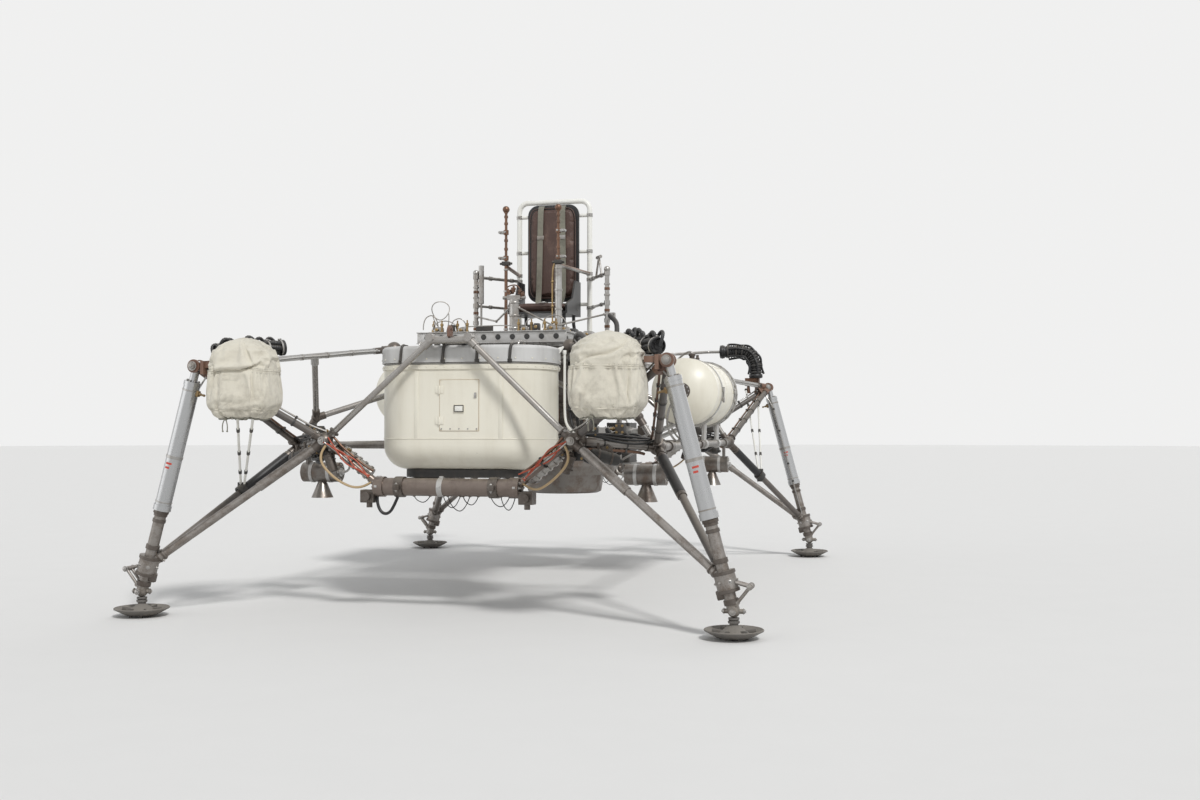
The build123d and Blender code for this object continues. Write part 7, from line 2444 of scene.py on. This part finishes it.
    def _hoop(self, bench: Workbench) -> None:
        """Clamps, feet and tie bolts on the seat's white hoop."""
        clamps, bolts = [], []
        bolt_r = 0.0075
        for s in SIDES:
            for z in (2.06, 2.28, 2.325, 2.50, 2.78):
                clamps.append(bench.sleeve((s * self.hoop_x, self.hoop_y, z), UP, self.hoop_r, 0.026, 0.0045, 28))
                bolts += bench.bolts([facing((s * self.hoop_x, self.hoop_y - 0.0245, z), FRONT)], bolt_r)
            clamps += [
                bench.drum((s * self.hoop_x, self.hoop_y, self.deck_top + 0.005), UP, 0.044, 0.010, 36, 0.002),
                bench.sleeve(
                    (s * self.hoop_x, self.hoop_y, self.deck_top + 0.028), UP, self.hoop_r, 0.036, 0.006, 28)]
            bolts += bench.bolts(
                around(UP, (s * self.hoop_x, self.hoop_y, self.deck_top + 0.010), 0.034, 4, False, 0.78), bolt_r)
        bench.finish(clamps, "hoop_clamps", "steel")
        bench.finish(bolts, "hoop_bolts", "steel")

    def _posts(self, bench: Workbench) -> None:
        """Collars, tees and stained ties on the side posts."""
        bright, brown = [], []
        for s in SIDES:
            x = s * self.post_x
            for z, wide in (
                    (1.84, 0.018), (1.93, 0.030), (2.06, 0.036), (2.12, 0.014), (2.20, 0.012), (2.28, 0.034)):
                bright.append(bench.sleeve((x, self.post_y, z), UP, self.post_r, wide, 0.0055, 28))
            for z in (1.885, 2.005, 2.165):
                brown += [
                    bench.sleeve((x, self.post_y, z), UP, self.post_r, 0.020, 0.0035, 28),
                    bench.drum((x, self.post_y - 0.024, z), FRONT, 0.006, 0.016, 6, 0.001)]
            bright.append(bench.drum((x, self.post_y, self.deck_top + 0.005), UP, 0.040, 0.010, 36, 0.002))
            for z in (2.06, 2.28):
                for y in (0.12, 0.30):
                    spot = between(vec(x, self.post_y, z), vec(s * self.hoop_x, self.hoop_y, z), y / 0.37)
                    way = vec(s * self.hoop_x - x, self.hoop_y - self.post_y, 0).normalized()
                    bright.append(bench.sleeve(spot, way, 0.0105 if z < 2.2 else 0.0122, 0.024, 0.005, 24))
        bench.finish(bright, "post_collars", "steel")
        bench.finish(brown, "post_ties", "bronze")

    def _controls(self, bench: Workbench) -> None:
        """Grips, pivots, ferrules and the thin golden rod of the control posts."""
        bronze, steel, gold, black = [], [], [], []
        for s, radius in ((1, 0.0255), (-1, 0.012)):
            x, y = s * self.control_x, self.control_y
            for z in (2.452, 2.515, 2.640, 2.690):
                bronze.append(bench.sleeve((x, y, z), UP, 0.010, 0.018, 0.0045, 24))
            for z in (2.385, 2.575):
                steel += [
                    bench.block((x + s * 0.024, y, z), (0.040, 0.026, 0.022), 0.003),
                    bench.drum((x + s * 0.046, y, z), REAR, 0.010, 0.044, 18, 0.002),
                    bench.drum((x, y - 0.022, z), FRONT, 0.008, 0.022, 6, 0.001)]
            for z in (1.80, 1.86, 2.00, 2.14, 2.30):
                steel.append(bench.sleeve((x, y, z), UP, radius, 0.014 if z > 1.8 else 0.030, 0.005, 32))
            steel.append(bench.drum((x, y, self.deck_top + 0.005), UP, radius + 0.030, 0.010, 36, 0.002))
            bronze.append(bench.sleeve((x, y, 2.728), UP, 0.010, 0.020, 0.006, 24))
            black.append(bench.block((x, y, 2.345), (0.058, 0.044, 0.030), 0.004))
            for turn in (-1, 1):
                black.append(bench.drum((x + turn * 0.036, y, 2.345), (turn, 0, 0), 0.009, 0.022, 6, 0.001))
        gold.append(bench.hose([
            (0.162, -0.215, 1.90), (0.162, -0.216, 2.00), (0.161, -0.216, 2.16), (0.162, -0.216, 2.30),
            (0.176, -0.210, 2.335)], 0.0062, 10, 8))
        for z in (1.90, 2.02, 2.20):
            gold.append(bench.ball((0.162, -0.216, z), 0.011))
        gold.append(bench.block((0.172, -0.205, 1.905), (0.036, 0.018, 0.018), 0.003))
        bench.finish(bronze, "control_ferrules", "bronze")
        bench.finish(steel, "control_clamps", "steel")
        bench.finish(gold, "control_golden_rod", "brass")
        bench.finish(black, "control_heads", "dark_metal")

    def _linkage(self, bench: Workbench) -> None:
        """Copper fittings on the pedestal and the thin V rods to the posts."""
        copper, rods = [], []
        top = vec(0, self.pedestal_y, 2.068)
        for x, y, z in (
                (-0.038, 0, 0.010), (0.038, 0, 0.010), (0, -0.012, 0.026), (-0.018, 0.014, 0.018),
                (0.056, 0.0, -0.010)):
            copper.append(bench.lathe(
                [(0.012, -0.010), (0.012, 0.006), (0.016, 0.008), (0.016, 0.020), (0.008, 0.024), (0.008, 0.034)],
                top + vec(x, y, z), (x * 8, y * 8, 1), 14))
        copper.append(bench.hose(trail(
            top, (-0.048, 0, 0.02), (-0.068, 0, 0.05), (-0.02, 0.01, 0.076), (0.03, 0.01, 0.068), (0.048, 0, 0.02)),
            0.0048, 10, 8))
        for z in (1.83, 1.92, 2.01):
            rods.append(bench.sleeve((0, self.pedestal_y, z), UP, 0.033, 0.014, 0.004, 36))
        for s, low in ((1, 1.862), (-1, 1.905)):
            a = vec(s * 0.034, self.pedestal_y, 1.975)
            b = vec(s * (self.post_x - 0.018), self.post_y - 0.004, 1.975)
            valley = between(a, b, 0.40)
            valley.z = low
            rods.append(bench.hose([
                a, between(a, valley, 0.4), between(a, valley, 0.85), valley, between(valley, b, 0.2),
                between(valley, b, 0.6), b], 0.0068, 10, 8))
            rods += [bench.ball(a, 0.012), bench.ball(b, 0.012), bench.ball(valley, 0.010)]
        bench.finish(copper, "pedestal_copper_fittings", "bronze", smooth=1.0)
        bench.finish(rods, "control_linkage_rods", "steel", smooth=1.0)

    def _feet(self, bench: Workbench) -> None:
        """Tread bars on the footrests."""
        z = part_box("footrests")[0][2] + 0.026
        bars = []
        for s in SIDES:
            for index in range(7):
                bars.append(bench.block((s * 0.150, -0.80 + index * 0.034, z), (0.10, 0.008, 0.006), 0.0015))
        bench.finish(bars, "footrest_treads", "steel")


@dataclass
class EngineTrim:
    """Flanges, pipes and bolts of the gimballed engine, and of its ring."""

    y: float = 0.700
    core_r: float = 0.236
    ring_bolt_r: float = 0.522
    ring_half: float = 0.030

    def build(self, bench: Workbench) -> None:
        """Builds the trim on the engine and the gimbal ring."""
        self._engine(bench)
        self._ring(bench)

    def _engine(self, bench: Workbench) -> None:
        """Bolted flanges, manifolds and accessories on the engine's core."""
        bolts, rings, pipes, boxes = [], [], [], []
        bolt_r = 0.0062
        for z in (1.112, 1.316):
            rings.append(bench.sleeve((0, self.y, z), UP, self.core_r - 0.001, 0.014, 0.022, 72))
            bolts += bench.bolts(around(UP, (0, self.y, z + 0.007), 0.249, 28), bolt_r)
        for z in (1.150, 1.205, 1.260):
            rings.append(bench.hoop((0, self.y, z), UP, self.core_r + 0.001, 0.0045, 72))
        rings += [
            bench.hoop((0, self.y, 1.180), UP, self.core_r + 0.018, 0.0085, 72),
            bench.hoop((0, self.y, 1.290), UP, self.core_r + 0.014, 0.0062, 72)]
        for index in range(16):
            turn = 2 * math.pi * index / 16 + 0.1
            out = vec(math.cos(turn), math.sin(turn), 0)
            base = vec(0, self.y, 0) + out * (self.core_r + 0.016)
            pipes.append(bench.hose([
                base + vec(0, 0, 1.186), base + out * 0.006 + vec(0, 0, 1.215),
                base + out * 0.004 + vec(0, 0, 1.255), base + vec(0, 0, 1.286)], 0.0045, 8, 6))
            if index % 4 == 1:
                boxes += [
                    bench.block(base - out * 0.004 + vec(0, 0, 1.240), (0.050, 0.060, 0.034), 0.004, out),
                    bench.drum(base + out * 0.016 + vec(0, 0, 1.240), out, 0.014, 0.024, 20, 0.002)]
        for z, radius in ((1.404, 0.286), (1.632, 0.292)):
            rings.append(bench.sleeve((0, self.y, z), UP, radius - 0.004, 0.010, 0.008, 80))
        bolts += bench.bolts(around(UP, (0, self.y, 1.640), 0.281, 28), bolt_r)
        bench.finish(rings, "engine_flanges", "engine_metal", body="engine")
        bench.finish(bolts, "engine_bolts", "steel", body="engine")
        bench.finish(pipes, "engine_feed_pipes", "bronze", body="engine", smooth=1.0)
        bench.finish(boxes, "engine_accessories", "dark_metal", body="engine")

    def _ring(self, bench: Workbench) -> None:
        """Bolts on both faces of the gimbal ring."""
        bolts = []
        bolt_r = 0.0075
        for way, z in ((UP, AT.gimbal_z + self.ring_half), (DOWN, AT.gimbal_z - self.ring_half)):
            bolts += bench.bolts(around(way, (0, self.y, z), self.ring_bolt_r, 36, False, 0.09), bolt_r)
        bench.finish(bolts, "gimbal_ring_bolts", "steel", body="gimbal_ring")


@dataclass
class RearEquipment:
    """Lids, latches, vents and cables on the boxes of the rear platform."""

    y: float = 1.640
    floor: float = 0.841
    boxes: tuple[tuple[float, float, float, float], ...] = (
        (-0.250, 0.200, 0.330, 0.300), (0.0, 0.240, 0.360, 0.220), (0.250, 0.200, 0.300, 0.340))

    def build(self, bench: Workbench) -> None:
        """Builds the boxes' details."""
        seams, latches, cables, plugs = [], [], [], []
        screw = bench.drum((0, 0, 0.001), UP, 0.0045, 0.0032, 12, 0.001)
        for x, wide, deep, high in self.boxes:
            lid = self.floor + high - 0.052
            for end in (-1, 1):
                seams += [
                    bench.block((x, self.y + end * deep / 2, lid), (wide + 0.006, 0.006, 0.010), 0.0015),
                    bench.block((x + end * wide / 2, self.y, lid), (0.006, deep, 0.010), 0.0015)]
                for side in (-1, 1):
                    latches += [
                        bench.block(
                            (x + side * wide * 0.28, self.y + end * (deep / 2 + 0.005), lid), (0.022, 0.010, 0.040),
                            0.002),
                        bench.drum(
                            (x + side * wide * 0.28, self.y + end * (deep / 2 + 0.009), lid + 0.012), LEFT, 0.005,
                            0.028, 14, 0.001)]
                for index in range(5):
                    seams.append(bench.block(
                        (x, self.y + end * (deep / 2 + 0.002), self.floor + 0.060 + index * 0.020),
                        (wide * 0.55, 0.006, 0.008), 0.0018))
            for ix in (-1, 1):
                for iy in (-1, 0, 1):
                    latches.append(bench.copy(
                        screw,
                        Matrix.Translation((
                            x + ix * (wide / 2 - 0.014), self.y + iy * (deep / 2 - 0.014), self.floor + high))))
            top = self.floor + high
            latches.append(bench.hose([
                (x - 0.045, self.y, top - 0.002), (x - 0.045, self.y, top + 0.018),
                (x - 0.036, self.y, top + 0.027), (x + 0.036, self.y, top + 0.027),
                (x + 0.045, self.y, top + 0.018), (x + 0.045, self.y, top - 0.002)], 0.0052, 10, 8))
            for index in range(3):
                px = x + (index - 1) * wide * 0.26
                plug = vec(px, self.y + deep / 2, self.floor + high * 0.30 + 0.012 * index)
                plugs.append(bench.lathe(
                    [(0.017, -0.002), (0.017, 0.008), (0.013, 0.010), (0.013, 0.030), (0.009, 0.034)], plug, REAR,
                    20))
                cables.append(bench.hose([
                    plug + vec(0, 0.028, 0), plug + vec(0, 0.052, -0.006), plug + vec(0.010, 0.058, -0.040),
                    vec(px + 0.02, self.y + 0.205, self.floor + 0.014),
                    vec(px + 0.035, self.y + 0.150 + deep * 0.16, self.floor + 0.008)], 0.0062, 10, 8))
        bench.drop(screw)
        bench.finish(seams, "box_lids_and_vents", "dark_metal")
        bench.finish(latches, "box_latches", "steel")
        bench.finish(plugs, "box_connectors", "steel")
        bench.finish(cables, "box_cables", "black_sleeve", smooth=1.2)


class Construction:
    """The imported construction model, each node given its finish."""

    def dress(self, bench: Workbench, frame: dict) -> None:
        """Gives every CAD node its finish."""
        for name, node in frame["nodes"].items():
            finish = FINISH_OF_NODE.get(name)
            if finish is None:
                continue
            material = bench.shop.get(finish)
            if not node.material_slots:
                node.data.materials.append(material)
            for slot in node.material_slots:
                slot.material = material


def main() -> None:
    """Loads the frame, dresses it and builds each sub-assembly over it."""
    logging.basicConfig(level=logging.INFO, format="%(name)s: %(message)s")
    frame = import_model()
    bench = Workbench(Shop())
    Studio().build(bench)
    Construction().dress(bench, frame)
    for assembly in ASSEMBLIES:
        assembly().build(bench)
        LOG.info("%s done", assembly.__name__)
    bench.clear_models()
    LOG.info("%d pieces added", bench.count)


ASSEMBLIES: tuple[type, ...] = (
    CanvasCovers, Upholstery, LandingLegs, HoseRuns, FrontTubTrim, SideTankTrim, FrameMachinery, PilotStationTrim,
    EngineTrim, RearEquipment)


if __name__ == "__main__":
    main()
